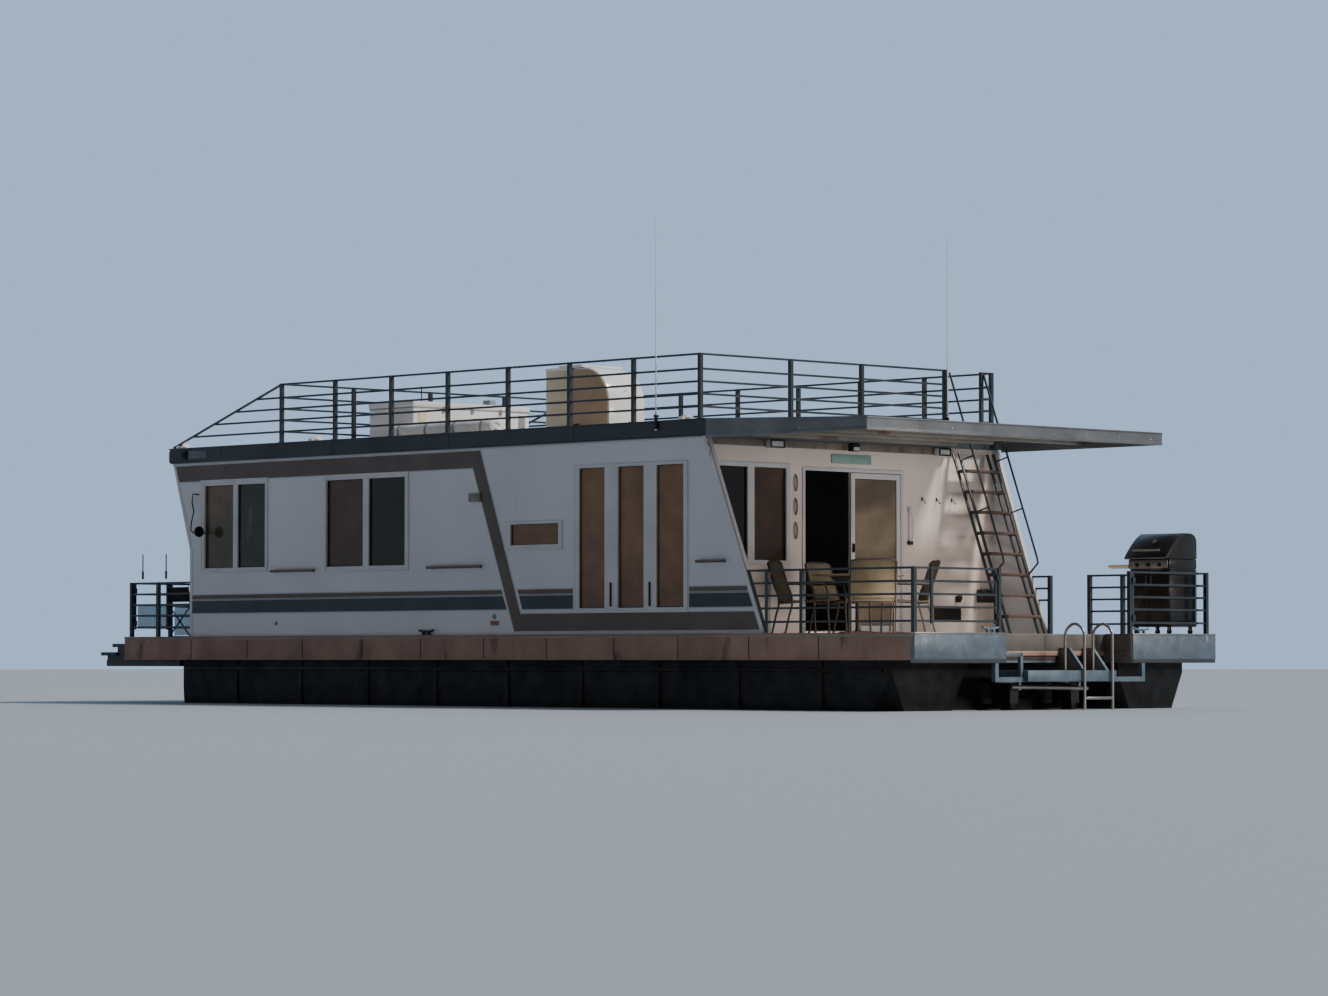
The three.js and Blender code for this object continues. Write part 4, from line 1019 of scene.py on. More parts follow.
def curve_between(start: Point, bend: Point, stop: Point, steps: int = 6) -> list[tuple[float, ...]]:
    """Points of a quadratic curve, its start left out.

    Args:
        start: The curve's start.
        bend: The point that pulls it.
        stop: The curve's end.
        steps: How many points.

    Returns:
        The points in order.
    """
    found = []
    for k in range(1, steps + 1):
        t = k / steps
        shares = ((1 - t) ** 2, 2 * t * (1 - t), t * t)
        found.append(
            tuple(shares[0] * a + shares[1] * b + shares[2] * c for a, b, c in zip(start, bend, stop))
        )
    return found


def painted(piece: bpy.types.Object, finish: Finish | None) -> bpy.types.Object:
    """Gives a piece one finish all over, or leaves it as it is.

    Args:
        piece: The piece.
        finish: Its finish, or none.

    Returns:
        The piece.
    """
    if finish:
        piece.data.materials.clear()
        piece.data.materials.append(finish.material())
    return piece


def dress(
    piece: bpy.types.Object, finish: Finish | None, body: str = ROOT,
    stands_for: Sequence[str] = (),
) -> bpy.types.Object:
    """Gives a piece its finish and body, and hides the CAD nodes that it replaces.

    Args:
        piece: The piece.
        finish: Its finish, or none where its parts have theirs.
        body: The body that it rides on.
        stands_for: CAD nodes that it replaces.

    Returns:
        The piece.
    """
    painted(piece, finish)
    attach(piece, body)
    if stands_for:
        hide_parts(*stands_for)
    return piece


def dress_node(node: str, finish: Finish) -> None:
    """Gives a CAD node its finish in its own material slots.

    Args:
        node: The CAD node's name.
        finish: The node's finish.
    """
    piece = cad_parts[node]
    if not piece.material_slots:
        piece.data.materials.append(finish.material())
    for place in piece.material_slots:
        place.material = finish.material()


# Sub-assemblies


def side_point(side: Side, station: float, height: float, out: float = 0.0) -> Vector:
    """A point on a side wall's outer face, or out from it.

    Args:
        side: The side of the boat.
        station: Metres forward of the stern edge.
        height: A height above the water.
        out: How far out from the wall.

    Returns:
        The point.
    """
    return Vector((at(station), side.value * (WALL_Y + out), above(height)))


def stern_point(distance: float, height: float, out: float = 0.0) -> Vector:
    """A point on the stern wall's outer face, or out from it; distance is measured from the port deck edge.

    Args:
        distance: Metres to starboard of the port deck edge.
        height: A height above the water.
        out: How far out from the wall.

    Returns:
        The point.
    """
    return Vector((at(STERN_WALL) - out, from_port(distance), above(height)))


def bow_point(distance: float, height: float, out: float = 0.0) -> Vector:
    """A point on the bow wall's outer face, or forward of it.

    Args:
        distance: Metres to starboard of the port deck edge.
        height: A height above the water.
        out: How far out from the wall.

    Returns:
        The point.
    """
    return Vector((at(bow_edge(height)) + out, from_port(distance), above(height)))


def bow_door_point(distance: float, height: float, out: float = 0.0) -> Vector:
    """A point on the upright plane of the bow door, or forward of it.

    Args:
        distance: Metres to starboard of the port deck edge.
        height: A height above the water.
        out: How far out from the wall.

    Returns:
        The point.
    """
    return Vector((at(BOW_FOOT) + out, from_port(distance), above(height)))


def wing_edge(height: float, side: Side) -> float:
    """The station of a wing's sloping edge at a height.

    Args:
        height: A height above the water.
        side: The side of the boat.

    Returns:
        The station.
    """
    foot, top = side.wing
    return foot + (above(height) - DECK_Z) * (top - foot) / (WALL_TOP - DECK_Z)


def bow_edge(height: float) -> float:
    """The station of the bow wall's face at a height: upright to the knee, then leaning forward.

    Args:
        height: A height above the water.

    Returns:
        The station.
    """
    rise = max(0.0, height - BOW_KNEE)
    return BOW_FOOT + rise * (BOW_TOP - BOW_FOOT) / (WALL_TOP - above(BOW_KNEE))


@dataclass
class Hull:
    """Pontoons, deck, rim and stern edge."""

    rim_joints: tuple[float, ...] = (1.55, 2.72, 3.95, 5.1, 6.35, 7.55, 8.8, 10.0, 11.25, 12.45, 13.7)
    rib_stations: tuple[float, ...] = (1.6, 3.0, 4.4, 5.8, 7.2, 8.6, 10.0, 11.4, 12.8)
    cleat_station: float = 8.73
    stern_cleat_y: float = 1.39
    recess_y: float = 1.165

    def build(self) -> None:
        """Dresses the hull's nodes and adds what is welded to them."""
        for side in Side:
            dress_node(f"pontoon_{side.label}", BOTTOM_PAINT)
            self.add_ribs(side)
            self.add_rim_details(side)
            self.add_cleats(side)
        for node, finish in (
            ("deck_frame", WET_STEEL), ("deck_plate", NONSLIP), ("deck_rim", RIM_STEEL),
            ("stern_edge", GALVANISED), ("engine_pod", BOTTOM_PAINT), ("boarding_step", FASCIA),
        ):
            dress_node(node, finish)
        self.add_stern_plates()
        self.add_recess_plates()

    def add_ribs(self, side: Side) -> None:
        """Weld bands round each pontoon's outer side, and its rub strake.

        Args:
            side: The side of the boat.
        """
        low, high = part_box(f"pontoon_{side.label}")
        outer = high.y if side is Side.PORT else low.y
        way = side.value
        ribs = [
            block(
                f"rib_{k}",
                (at(s) - 0.03, outer - way * 0.02, 0.42),
                (at(s) + 0.03, outer + way * 0.012, high.z - 0.03),
            )
            for k, s in enumerate(self.rib_stations)
        ]
        strake = block(
            "strake",
            (low.x + 0.15, outer - way * 0.02, high.z - 0.16),
            (high.x - 0.1, outer + way * 0.02, high.z - 0.11),
            0.008,
        )
        dress(joined(f"pontoon_bands_{side.label}", [*ribs, strake]), BOTTOM_PAINT)

    def add_rim_details(self, side: Side) -> None:
        """Butt straps over the joints of the rim, a lip along its top and a bead along its foot.

        Args:
            side: The side of the boat.
        """
        way = side.value
        low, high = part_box("deck_rim")
        face = way * PORT_Y
        straps = [
            block(
                f"strap_{k}",
                (at(s) - 0.006, face, low.z + 0.005),
                (at(s) + 0.006, face + way * 0.004, high.z),
                0.001,
            )
            for k, s in enumerate(self.rim_joints)
        ]
        dress(joined(f"rim_joint_welds_{side.label}", straps), SEAM_DIRT_AND_SHADE)
        lip = block(
            "lip",
            (at(0.06), face - way * 0.01, DECK_Z - 0.012),
            (at(DECK_END), face + way * 0.012, DECK_Z + 0.006),
        )
        bead = block(
            "bead", (at(0.62), face - way * 0.01, low.z), (at(DECK_END), face + way * 0.008, low.z + 0.02)
        )
        dress(joined(f"rim_edges_{side.label}", [lip, bead]), RIM_STEEL)

    def add_cleats(self, side: Side) -> None:
        """A horn cleat amidships on the deck's edge, and one on the stern edge.

        Args:
            side: The side of the boat.
        """
        way = side.value
        horn_line = [(-0.14, 0, 0.068), (-0.05, 0, 0.055), (0.05, 0, 0.055), (0.14, 0, 0.068)]
        for name, place, turn, finish in (
            ("side", (at(self.cleat_station), way * (PORT_Y - 0.035), DECK_Z), 0.0, BLACK_PLASTIC),
            ("stern", (at(0.05), way * self.stern_cleat_y, DECK_Z), 90.0, WET_STEEL),
        ):
            horn = tube("horn", horn_line, 0.015, smooth_route=True)
            feet = [
                block("foot", (s - 0.016, -0.018, 0.0), (s + 0.016, 0.018, 0.055), 0.006)
                for s in (-0.05, 0.05)
            ]
            base = block("base", (-0.08, -0.026, 0.0), (0.08, 0.026, 0.008), 0.003)
            cleat = moved(joined(f"{name}_cleat_{side.label}", [horn, *feet, base]), place, turn)
            dress(cleat, finish)

    def add_stern_plates(self) -> None:
        """Galvanised plates round the corners of the stern edge, with their folded lips, and a dark strip
        of painted shade under each.
        """
        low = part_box("stern_edge")[0]
        foot, bottom = low.z + 0.045, low.z - 0.004
        face = at(0)
        for side in Side:
            way = side.value
            inner, outer = way * (self.recess_y + 0.004), way * (PORT_Y + 0.003)
            shoulder, corner = way * (self.recess_y + 0.01), way * (PORT_Y - 0.004)
            rows = (
                (
                    "plate", (face - 0.006, inner, foot), (face + 0.01, outer, DECK_Z + 0.002), 0.003,
                    GALVANISED,
                ),
                (
                    "lip", (face - 0.012, inner, DECK_Z - 0.008), (face + 0.05, outer, DECK_Z + 0.008),
                    0.003, STAINLESS,
                ),
                # painted shade: the strip under each plate takes the dark slate fascia finish for the shade
                # below the plate
                ("edge", (face - 0.003, shoulder, bottom), (face + 0.01, corner, foot), 0.002, FASCIA),
                (
                    "cheek",
                    (face, way * (self.recess_y - 0.004), bottom),
                    (at(0.44), shoulder, DECK_Z + 0.004),
                    0.003,
                    RECESS_PLATE,
                ),
            )
            parts = [block(name, a, b, bevel, finish=finish) for name, a, b, bevel, finish in rows]
            dress(joined(f"stern_corner_plate_{side.label}", parts), None)

    def add_recess_plates(self) -> None:
        """The worn plate at the back of the boarding recess, in two panels with a rail below."""
        face = at(0.45)
        upper = [
            block("panel", (face - 0.006, a, above(0.715)), (face + 0.01, b, DECK_Z - 0.004))
            for a, b in ((-1.15, -0.05), (-0.04, 1.15))
        ]
        dress(joined("recess_panels", upper), RECESS_PLATE)
        lip = block(
            "recess_lip", (face - 0.016, -1.155, above(0.655)), (face + 0.01, 1.155, above(0.712)), 0.004
        )
        dress(lip, RIM_STEEL)
        # painted shade: the strip under the recess lip is dark brown for the shade that falls under the lip
        strip = block(
            "recess_skirt_painted_shade", (face - 0.004, -1.155, above(0.60)), (face + 0.01, 1.155, above(0.652)), 0.003
        )
        dress(strip, SEAM_DIRT_AND_SHADE)
        cheeks = [
            block(
                "cheek",
                (at(0.012), way * 1.148, above(0.63)),
                (at(0.445), way * 1.164, DECK_Z - 0.004),
                0.002,
            )
            for way in (1, -1)
        ]
        ledges = [
            block(
                "ledge",
                (at(0.03), way * 1.138, above(0.695)),
                (at(0.43), way * 1.15, above(0.708)),
                0.002,
            )
            for way in (1, -1)
        ]
        dress(joined("recess_cheeks", [*cheeks, *ledges]), RECESS_PLATE)


@dataclass
class FilmBands:
    """The bands of vinyl film on a side wall; heights are above the water."""

    side: Side
    top: tuple[float, float] = (3.09, 3.31)
    foot: tuple[float, float] = (0.97, 1.19)
    slant_top: tuple[float, float] = (7.84, 7.70)
    slant_foot: tuple[float, float] = (7.03, 6.92)
    thin: tuple[float, float] = (1.445, 1.50)
    wide: tuple[float, float] = (1.25, 1.42)
    trim: float = 0.075
    edge: float = 0.016
    film: float = 0.003
    triple_fore: float = 5.93
    triple_aft: float = 3.82

    def slant(self, height: float) -> float:
        """The station of the slanting band's forward edge at a height.

        Args:
            height: A height above the water.

        Returns:
            The station.
        """
        share = (height - self.foot[0]) / (self.top[0] - self.foot[0])
        return self.slant_foot[0] + share * (self.slant_top[0] - self.slant_foot[0])

    def slant_back(self, height: float) -> float:
        """The station of the slanting band's after edge at a height.

        Args:
            height: A height above the water.

        Returns:
            The station.
        """
        share = (height - self.foot[1]) / (self.top[1] - self.foot[1])
        return self.slant_foot[1] + share * (self.slant_top[1] - self.slant_foot[1])

    def film_piece(
        self, name: str, outline: Sequence[tuple[float, float]], under: float, finish: Finish
    ) -> None:
        """A film of any outline of station and height, under metres out from the wall.

        Args:
            name: The film's name.
            outline: Stations and heights of its points.
            under: How far out of the wall it starts.
            finish: The film's finish.
        """
        points = [side_point(self.side, s, h, under) for s, h in outline]
        piece = slab(f"{name}_{self.side.label}", points, (0, self.side.value * self.film, 0), 0.0)
        dress(piece, finish)

    def build(self) -> None:
        """Lays the pinstripes, then the bands over them."""
        (low_top, high_top), (low_foot, high_foot) = self.top, self.foot

        def band(grow: float) -> list[Span]:
            """The band's outline, made larger by grow.

            Args:
                grow: How far each edge moves out.

            Returns:
                Stations and heights of the outline's points.
            """
            return [
                (bow_edge(high_top + grow) - 0.03, high_top + grow),
                (self.slant_top[1] - grow, high_top + grow),
                (self.slant_foot[1] - grow, high_foot + grow),
                (wing_edge(high_foot + grow, self.side) + self.trim, high_foot + grow),
                (wing_edge(low_foot - grow, self.side) + self.trim, low_foot - grow),
                (self.slant_foot[0] + grow, low_foot - grow),
                (self.slant_top[0] + grow, low_top - grow),
                (bow_edge(low_top - grow) - 0.03, low_top - grow),
            ]

        self.film_piece("pinstripe_band", band(self.edge), 0.0, PINSTRIPE)
        self.film_piece("taupe_band", band(0.0), self.film * 0.5, TAUPE)
        for run in ("fore", "middle", "aft"):
            for name, heights, finish in (
                ("thin_stripe", self.thin, TAUPE), ("wide_stripe", self.wide, SLATE_FILM)
            ):
                border = self.stripe(run, heights, self.edge)
                body = self.stripe(run, heights, 0.0)
                self.film_piece(f"pinstripe_{name}_{run}", border, 0.0, PINSTRIPE)
                self.film_piece(f"{name}_{run}", body, self.film * 0.5, finish)

    def run_ends(self, run: str, height: float) -> Span:
        """The stations between which a stripe runs at a height.

        Args:
            run: Fore, middle or aft.
            height: A height above the water.

        Returns:
            The forward end, then the after end.
        """
        if run == "fore":
            return bow_edge(height) - 0.03, self.slant(height) + 0.05
        if run == "middle":
            return self.slant_back(height) - 0.06, self.triple_fore
        return self.triple_aft, wing_edge(height, self.side) + self.trim

    def stripe(self, run: str, heights: Span, grow: float) -> list[Span]:
        """The outline of one run of a stripe.

        Args:
            run: Fore, middle or aft.
            heights: Its lower and upper edge.
            grow: How far these edges move out.

        Returns:
            Stations and heights of the outline's points.
        """
        low, high = heights
        (high_fore, high_aft), (low_fore, low_aft) = self.run_ends(run, high), self.run_ends(run, low)
        return [
            (high_fore, high + grow),
            (high_aft, high + grow),
            (low_aft, low - grow),
            (low_fore, low - grow),
        ]


@dataclass(frozen=True)
class WindowRow:
    """One window of a side wall: its opening, and its lights with their glass."""

    label: str
    stations: tuple[float, float]
    heights: tuple[float, float]
    lights: tuple[tuple[float, float, Finish], ...]
    pane_heights: tuple[float, float]
    starboard: bool = True
    pulls: bool = False


WINDOW_ROWS = (
    WindowRow(
        "helm",
        (12.09, 13.58),
        (1.81, 3.10),
        ((12.14, 12.75, GREEN_GLASS), (12.84, 13.49, HELM_GLASS)),
        (1.87, 3.02),
    ),
    WindowRow(
        "saloon",
        (9.12, 10.87),
        (1.78, 3.09),
        ((9.19, 9.94, DARK_GLASS), (10.05, 10.83, RED_GLASS)),
        (1.85, 3.02),
    ),
    WindowRow(
        "galley", (6.12, 7.21), (2.00, 2.38), ((6.19, 7.11, BRONZE_GLASS),), (2.07, 2.34), starboard=False
    ),
    WindowRow(
        "triple",
        (3.84, 5.91),
        (1.19, 3.06),
        ((3.91, 4.40, BRONZE_GLASS), (4.62, 5.10, BRONZE_GLASS), (5.33, 5.81, BRONZE_GLASS)),
        (1.25, 3.02),
        pulls=True,
    ),
)


@dataclass
class Windows:
    """Framed windows of both side walls and the stern wall."""

    proud: float = 0.015
    inside: float = 0.05
    glass_depth: float = 0.022
    glass: float = 0.006
    bead: float = 0.01
    member: float = 0.03
    lap: float = 0.01

    def build(self) -> None:
        """Builds each window of each wall."""
        for side in Side:
            for row in WINDOW_ROWS:
                if side is Side.PORT or row.starboard:
                    place = functools.partial(side_point, side)
                    self.window(f"window_{row.label}_{side.label}", place, row, Vector((0, side.value, 0)))
        stern = WindowRow(
            "stern",
            (0.27, 1.62),
            (1.78, 3.06),
            ((0.33, 0.87, DARK_GLASS), (0.98, 1.558, RED_GLASS)),
            (1.84, 3.00),
        )
        self.window("window_stern", stern_point, stern, Vector((-1, 0, 0)))

    def window(
        self, node: str, place: Callable[[float, float, float], Vector], row: WindowRow, outward: Vector
    ) -> None:
        """Builds a frame with its mullions, beads and panes in place of its CAD node.

        Args:
            node: The CAD node that it stands for.
            place: Turns a distance along the wall, a height and a distance out into a point.
            row: The window's sizes.
            outward: The wall's outward direction.
        """
        (a, b), (low, high) = row.stations, row.heights
        deep = self.proud + self.inside

        def rectangle(u0: float, u1: float, z0: float, z1: float, out: float) -> list[Vector]:
            """A rectangle on the wall, lifted out of it.

            Args:
                u0: Its start along the wall.
                u1: Its end along the wall.
                z0: Its foot.
                z1: Its head.
                out: How far out of the wall.

            Returns:
                The corners in order.
            """
            return [place(u0, z0, out), place(u1, z0, out), place(u1, z1, out), place(u0, z1, out)]

        lap = self.lap
        outer = rectangle(a + HAIR, b - HAIR, low + HAIR, high - HAIR, self.proud)
        parts = [ring("frame", outer, self.member, -outward * deep, 0.004)]
        edges = [a, *[x for light in row.lights for x in light[:2]], b]
        for left, right in zip(edges[::2], edges[1::2]):
            start = left + (lap if left == a else -0.004)
            stop = right - (lap if right == b else -0.004)
            fill = rectangle(start, stop, low + lap, high - lap, self.proud - 0.004)
            parts.append(slab("mullion", fill, -outward * (deep - 0.010), 0.0))
        for z0, z1 in ((low, row.pane_heights[0]), (row.pane_heights[1], high)):
            foot = z0 + (lap if z0 == low else -0.002)
            head = z1 - (lap if z1 == high else -0.002)
            fill = rectangle(a + lap, b - lap, foot, head, self.proud - 0.007)
            parts.append(slab("rail", fill, -outward * (deep - 0.014), 0.0))
        for part in parts:
            painted(part, FRAME_VINYL)
        panes = []
        for k, (left, right, finish) in enumerate(row.lights):
            back = self.glass_depth + (0.008 if k % 2 else 0.0)
            foot, head = row.pane_heights
            edge = rectangle(left - 0.001, right + 0.001, foot - 0.001, head + 0.001, -back + 0.012)
            parts.append(ring("seal", edge, self.bead, -outward * 0.012, 0.002, finish=SEAL_RUBBER))
            edge = rectangle(left - 0.006, right + 0.006, foot - 0.006, head + 0.006, -back)
            panes.append(slab("pane", edge, -outward * self.glass, 0.0, finish=finish))
        if row.pulls:
            foot = row.pane_heights[0]
            for light, after in zip(row.lights[:-1], row.lights[1:]):
                middle = (light[1] + after[0]) / 2
                edge = rectangle(
                    middle - 0.012, middle + 0.012, foot + 0.02, foot + 0.32, self.proud + 0.012
                )
                parts.append(slab("pull", edge, -outward * 0.016, 0.003, finish=SEAL_RUBBER))
        frame_piece = joined(f"{node}_frame", parts)
        dress(frame_piece, None, stands_for=[node])
        glass = joined(f"{node}_glass", panes)
        dress(glass, None)


@dataclass
class Doors:
    """The sliding doors: the stern one slid open over its fixed leaf, the bow one shut."""

    half: float = 0.93
    stile: float = 0.05
    sill: float = 0.96
    head: float = 3.03
    lap: float = 0.04
    leaf_gap: float = 0.006
    leaf_depth: tuple[float, float] = (-0.021, 0.005)
    fixed_depth: tuple[float, float] = (-0.05, -0.027)
    rail: float = 0.07

    def build(self) -> None:
        """Builds the frame and the leaves of both doorways."""
        self.doorway("stern", stern_point, Vector((-1, 0, 0)), -1, DARK_GLASS, PALE_GLASS)
        self.doorway("bow", bow_door_point, Vector((1, 0, 0)), 1, DARK_GLASS, DARK_GLASS)

    def leaf(
        self,
        name: str,
        place: Callable[[float, float, float], Vector],
        outward: Vector,
        span: tuple[float, float],
        depth: tuple[float, float],
        heights: tuple[float, float],
        glass: Finish,
    ) -> bpy.types.Object:
        """One glazed leaf, joined to its pane and seal.

        Args:
            name: The leaf's name.
            place: Turns a distance from the port deck edge, a height and a distance out into a point.
            outward: The wall's outward direction.
            span: From and to across the doorway.
            depth: From and to through the wall.
            heights: Foot and head.
            glass: The pane's finish.

        Returns:
            The leaf.
        """

        def rectangle(grow: float, out: float) -> list[Vector]:
            """The leaf's outline, made larger by grow.

            Args:
                grow: How far each edge moves out.
                out: How far out of the wall.

            Returns:
                The corners in order.
            """
            return [
                place(span[0] - grow, heights[0] - grow, out),
                place(span[1] + grow, heights[0] - grow, out),
                place(span[1] + grow, heights[1] + grow, out),
                place(span[0] - grow, heights[1] + grow, out),
            ]

        frame_ring = ring(
            "leaf", rectangle(0, depth[1]), self.rail, -outward * (depth[1] - depth[0]), 0.003,
            finish=FRAME_VINYL,
        )
        middle = (depth[0] + depth[1]) / 2
        seal = ring(
            "seal",
            rectangle(-self.rail + 0.001, middle + 0.007),
            0.01,
            -outward * 0.014,
            0.002,
            finish=SEAL_RUBBER,
        )
        pane = slab(
            "pane", rectangle(-self.rail + 0.006, middle + 0.003), -outward * 0.006, 0.0, finish=glass
        )
        return joined(name, [frame_ring, seal, pane])

    def doorway(
        self,
        end: str,
        place: Callable[[float, float, float], Vector],
        outward: Vector,
        open_side: int,
        fixed_glass: Finish,
        leaf_glass: Finish,
    ) -> None:
        """A doorway's frame, fixed leaf, moving leaf, track and handle.

        Args:
            end: Stern or bow.
            place: Turns a distance from the port deck edge, a height and a distance out into a point.
            outward: The wall's outward direction.
            open_side: 1 where the moving leaf stands to port, -1 to starboard.
            fixed_glass: The fixed pane's finish.
            leaf_glass: The moving pane's finish.
        """
        middle = PORT_Y

        def rectangle(half: float, foot: float, head: float, out: float) -> list[Vector]:
            """An upright rectangle about the doorway's middle.

            Args:
                half: Half of its width.
                foot: Its foot.
                head: Its head.
                out: How far out of the wall.

            Returns:
                The corners in order.
            """
            return [
                place(middle - half, foot, out),
                place(middle + half, foot, out),
                place(middle + half, head, out),
                place(middle - half, head, out),
            ]

        head_ring = ring(
            "frame",
            rectangle(self.half - HAIR, 0.921, self.head - HAIR, 0.015),
            self.stile - 0.004,
            -outward * 0.065,
            0.004,
            finish=FRAME_VINYL,
        )
        track = slab(
            "track",
            rectangle(self.half - 0.05, self.sill, self.sill + 0.008, -0.005),
            -outward * 0.006,
            0.001,
            finish=STAINLESS,
        )
        threshold = slab(
            "threshold",
            rectangle(self.half - 0.05, 0.93, self.sill, 0.02),
            -outward * 0.07,
            0.003,
            finish=STAINLESS,
        )
        starboard = (middle - self.lap, middle + self.half - self.stile)
        port = (middle - self.half + self.stile, middle + self.lap)
        inset = self.leaf_gap
        fixed = self.leaf(
            "fixed", place, outward, starboard, self.fixed_depth, (self.sill, self.head - self.stile),
            fixed_glass,
        )
        extras = self.bow_surround() if end == "bow" else []
        dress(
            joined(f"{end}_doorway", [head_ring, track, threshold, fixed, *extras]),
            None,
            stands_for=[f"{end}_door_frame"],
        )
        leaf_span = (starboard[0], starboard[1] - inset) if open_side < 0 else (port[0] + inset, port[1])
        heights = (self.sill + 0.0085, self.head - self.stile - inset)
        leaf = self.leaf(
            f"{end}_door_sliding_leaf", place, outward, leaf_span, self.leaf_depth, heights, leaf_glass
        )
        grip = leaf_span[0] + 0.035 if open_side < 0 else leaf_span[1] - 0.035
        corners = ((-0.024, 1.965), (0.024, 1.965), (0.024, 2.08), (-0.024, 2.08))
        outline = [place(grip + u, z, 0.007) for u, z in corners]
        plate = slab("plate", outline, -outward * 0.005, 0.002, finish=BLACK_PLASTIC)
        knots = ((1.975, 0.004), (1.985, 0.026), (2.06, 0.026), (2.07, 0.004))
        pull = tube("pull", [place(grip, z, out) for z, out in knots], 0.012, 10, finish=BLACK_PLASTIC)
        dress(
            joined(f"{end}_door_leaf_piece", [leaf, plate, pull]),
            None,
            f"{end}_door",
            [f"{end}_door_leaf"],
        )

    def bow_surround(self) -> list[bpy.types.Object]:
        """The cheeks and head of the bow door's alcove, and the raked windows beside it.

        Returns:
            The pieces, each with its finish.
        """
        cheek = 0.04
        outer = self.half - HAIR
        pieces = []

        def side_view(foot: float) -> list[tuple[float, float]]:
            """The alcove's outline of station and height from a foot up to the door's head.

            Args:
                foot: The outline's lowest height.

            Returns:
                Stations and heights of the outline's points.
            """
            back = BOW_FOOT - 0.045
            head = self.head - HAIR
            return [
                (back, foot), (bow_edge(foot) - HAIR, foot), (bow_edge(head) - HAIR, head), (back, head)
            ]

        for way in (-1, 1):
            lining = [(at(s), way * (outer - cheek), above(h)) for s, h in side_view(BOW_KNEE)]
            pieces.append(slab("cheek", lining, (0, way * cheek, 0), 0.002, finish=FRAME_VINYL))
            lip = [
                (at(bow_edge(h)), way * (outer - cheek), above(h))
                for h in (BOW_KNEE + 0.005, self.head - 0.005)
            ]
            pieces.append(painted(square_tube("lip", lip[0], lip[1], 0.012), FRAME_VINYL))
            pieces += self.raked_window(way)
        head = [(at(s), -outer, above(h)) for s, h in side_view(self.head - cheek)]
        pieces.append(slab("head", head, (0, 2 * outer, 0), 0.002, finish=FRAME_VINYL))
        return pieces

    def raked_window(self, way: int) -> list[bpy.types.Object]:
        """One window of the raked wall: its frame, a mullion, seals and two panes.

        Args:
            way: 1 to port, -1 to starboard.

        Returns:
            The window's pieces.
        """
        inner, outer, low, high = 0.935, 2.4797, 2.2303, 3.0297

        def quad(y0: float, y1: float, z0: float, z1: float, out: float) -> list[Vector]:
            """A rectangle on the raked face.

            Args:
                y0: Its inner edge.
                y1: Its outer edge.
                z0: Its foot.
                z1: Its head.
                out: How far out of the face.

            Returns:
                The corners in order.
            """
            return [
                bow_point(PORT_Y - way * y, z, out) for y, z in ((y0, z0), (y1, z0), (y1, z1), (y0, z1))
            ]

        into = Vector(ASTERN)
        bars = (
            (inner, 1.06, low, high), (outer - 0.06, outer, low, high), (1.745, 1.795, low, high),
            (inner, outer, low, low + 0.06), (inner, outer, high - 0.06, high),
        )
        pieces = [slab("bar", quad(*bar, 0.015), into * 0.06, 0.004, finish=FRAME_VINYL) for bar in bars]
        for y0, y1 in ((1.06, 1.745), (1.795, outer - 0.06)):
            pane = quad(y0 - 0.006, y1 + 0.006, low + 0.054, high - 0.054, -0.022)
            pieces.append(slab("pane", pane, into * 0.006, 0.0, finish=DARK_GLASS))
            seal = quad(y0 - 0.001, y1 + 0.001, low + 0.059, high - 0.059, -0.010)
            pieces.append(ring("seal", seal, 0.01, into * 0.012, 0.002, finish=SEAL_RUBBER))
        return pieces


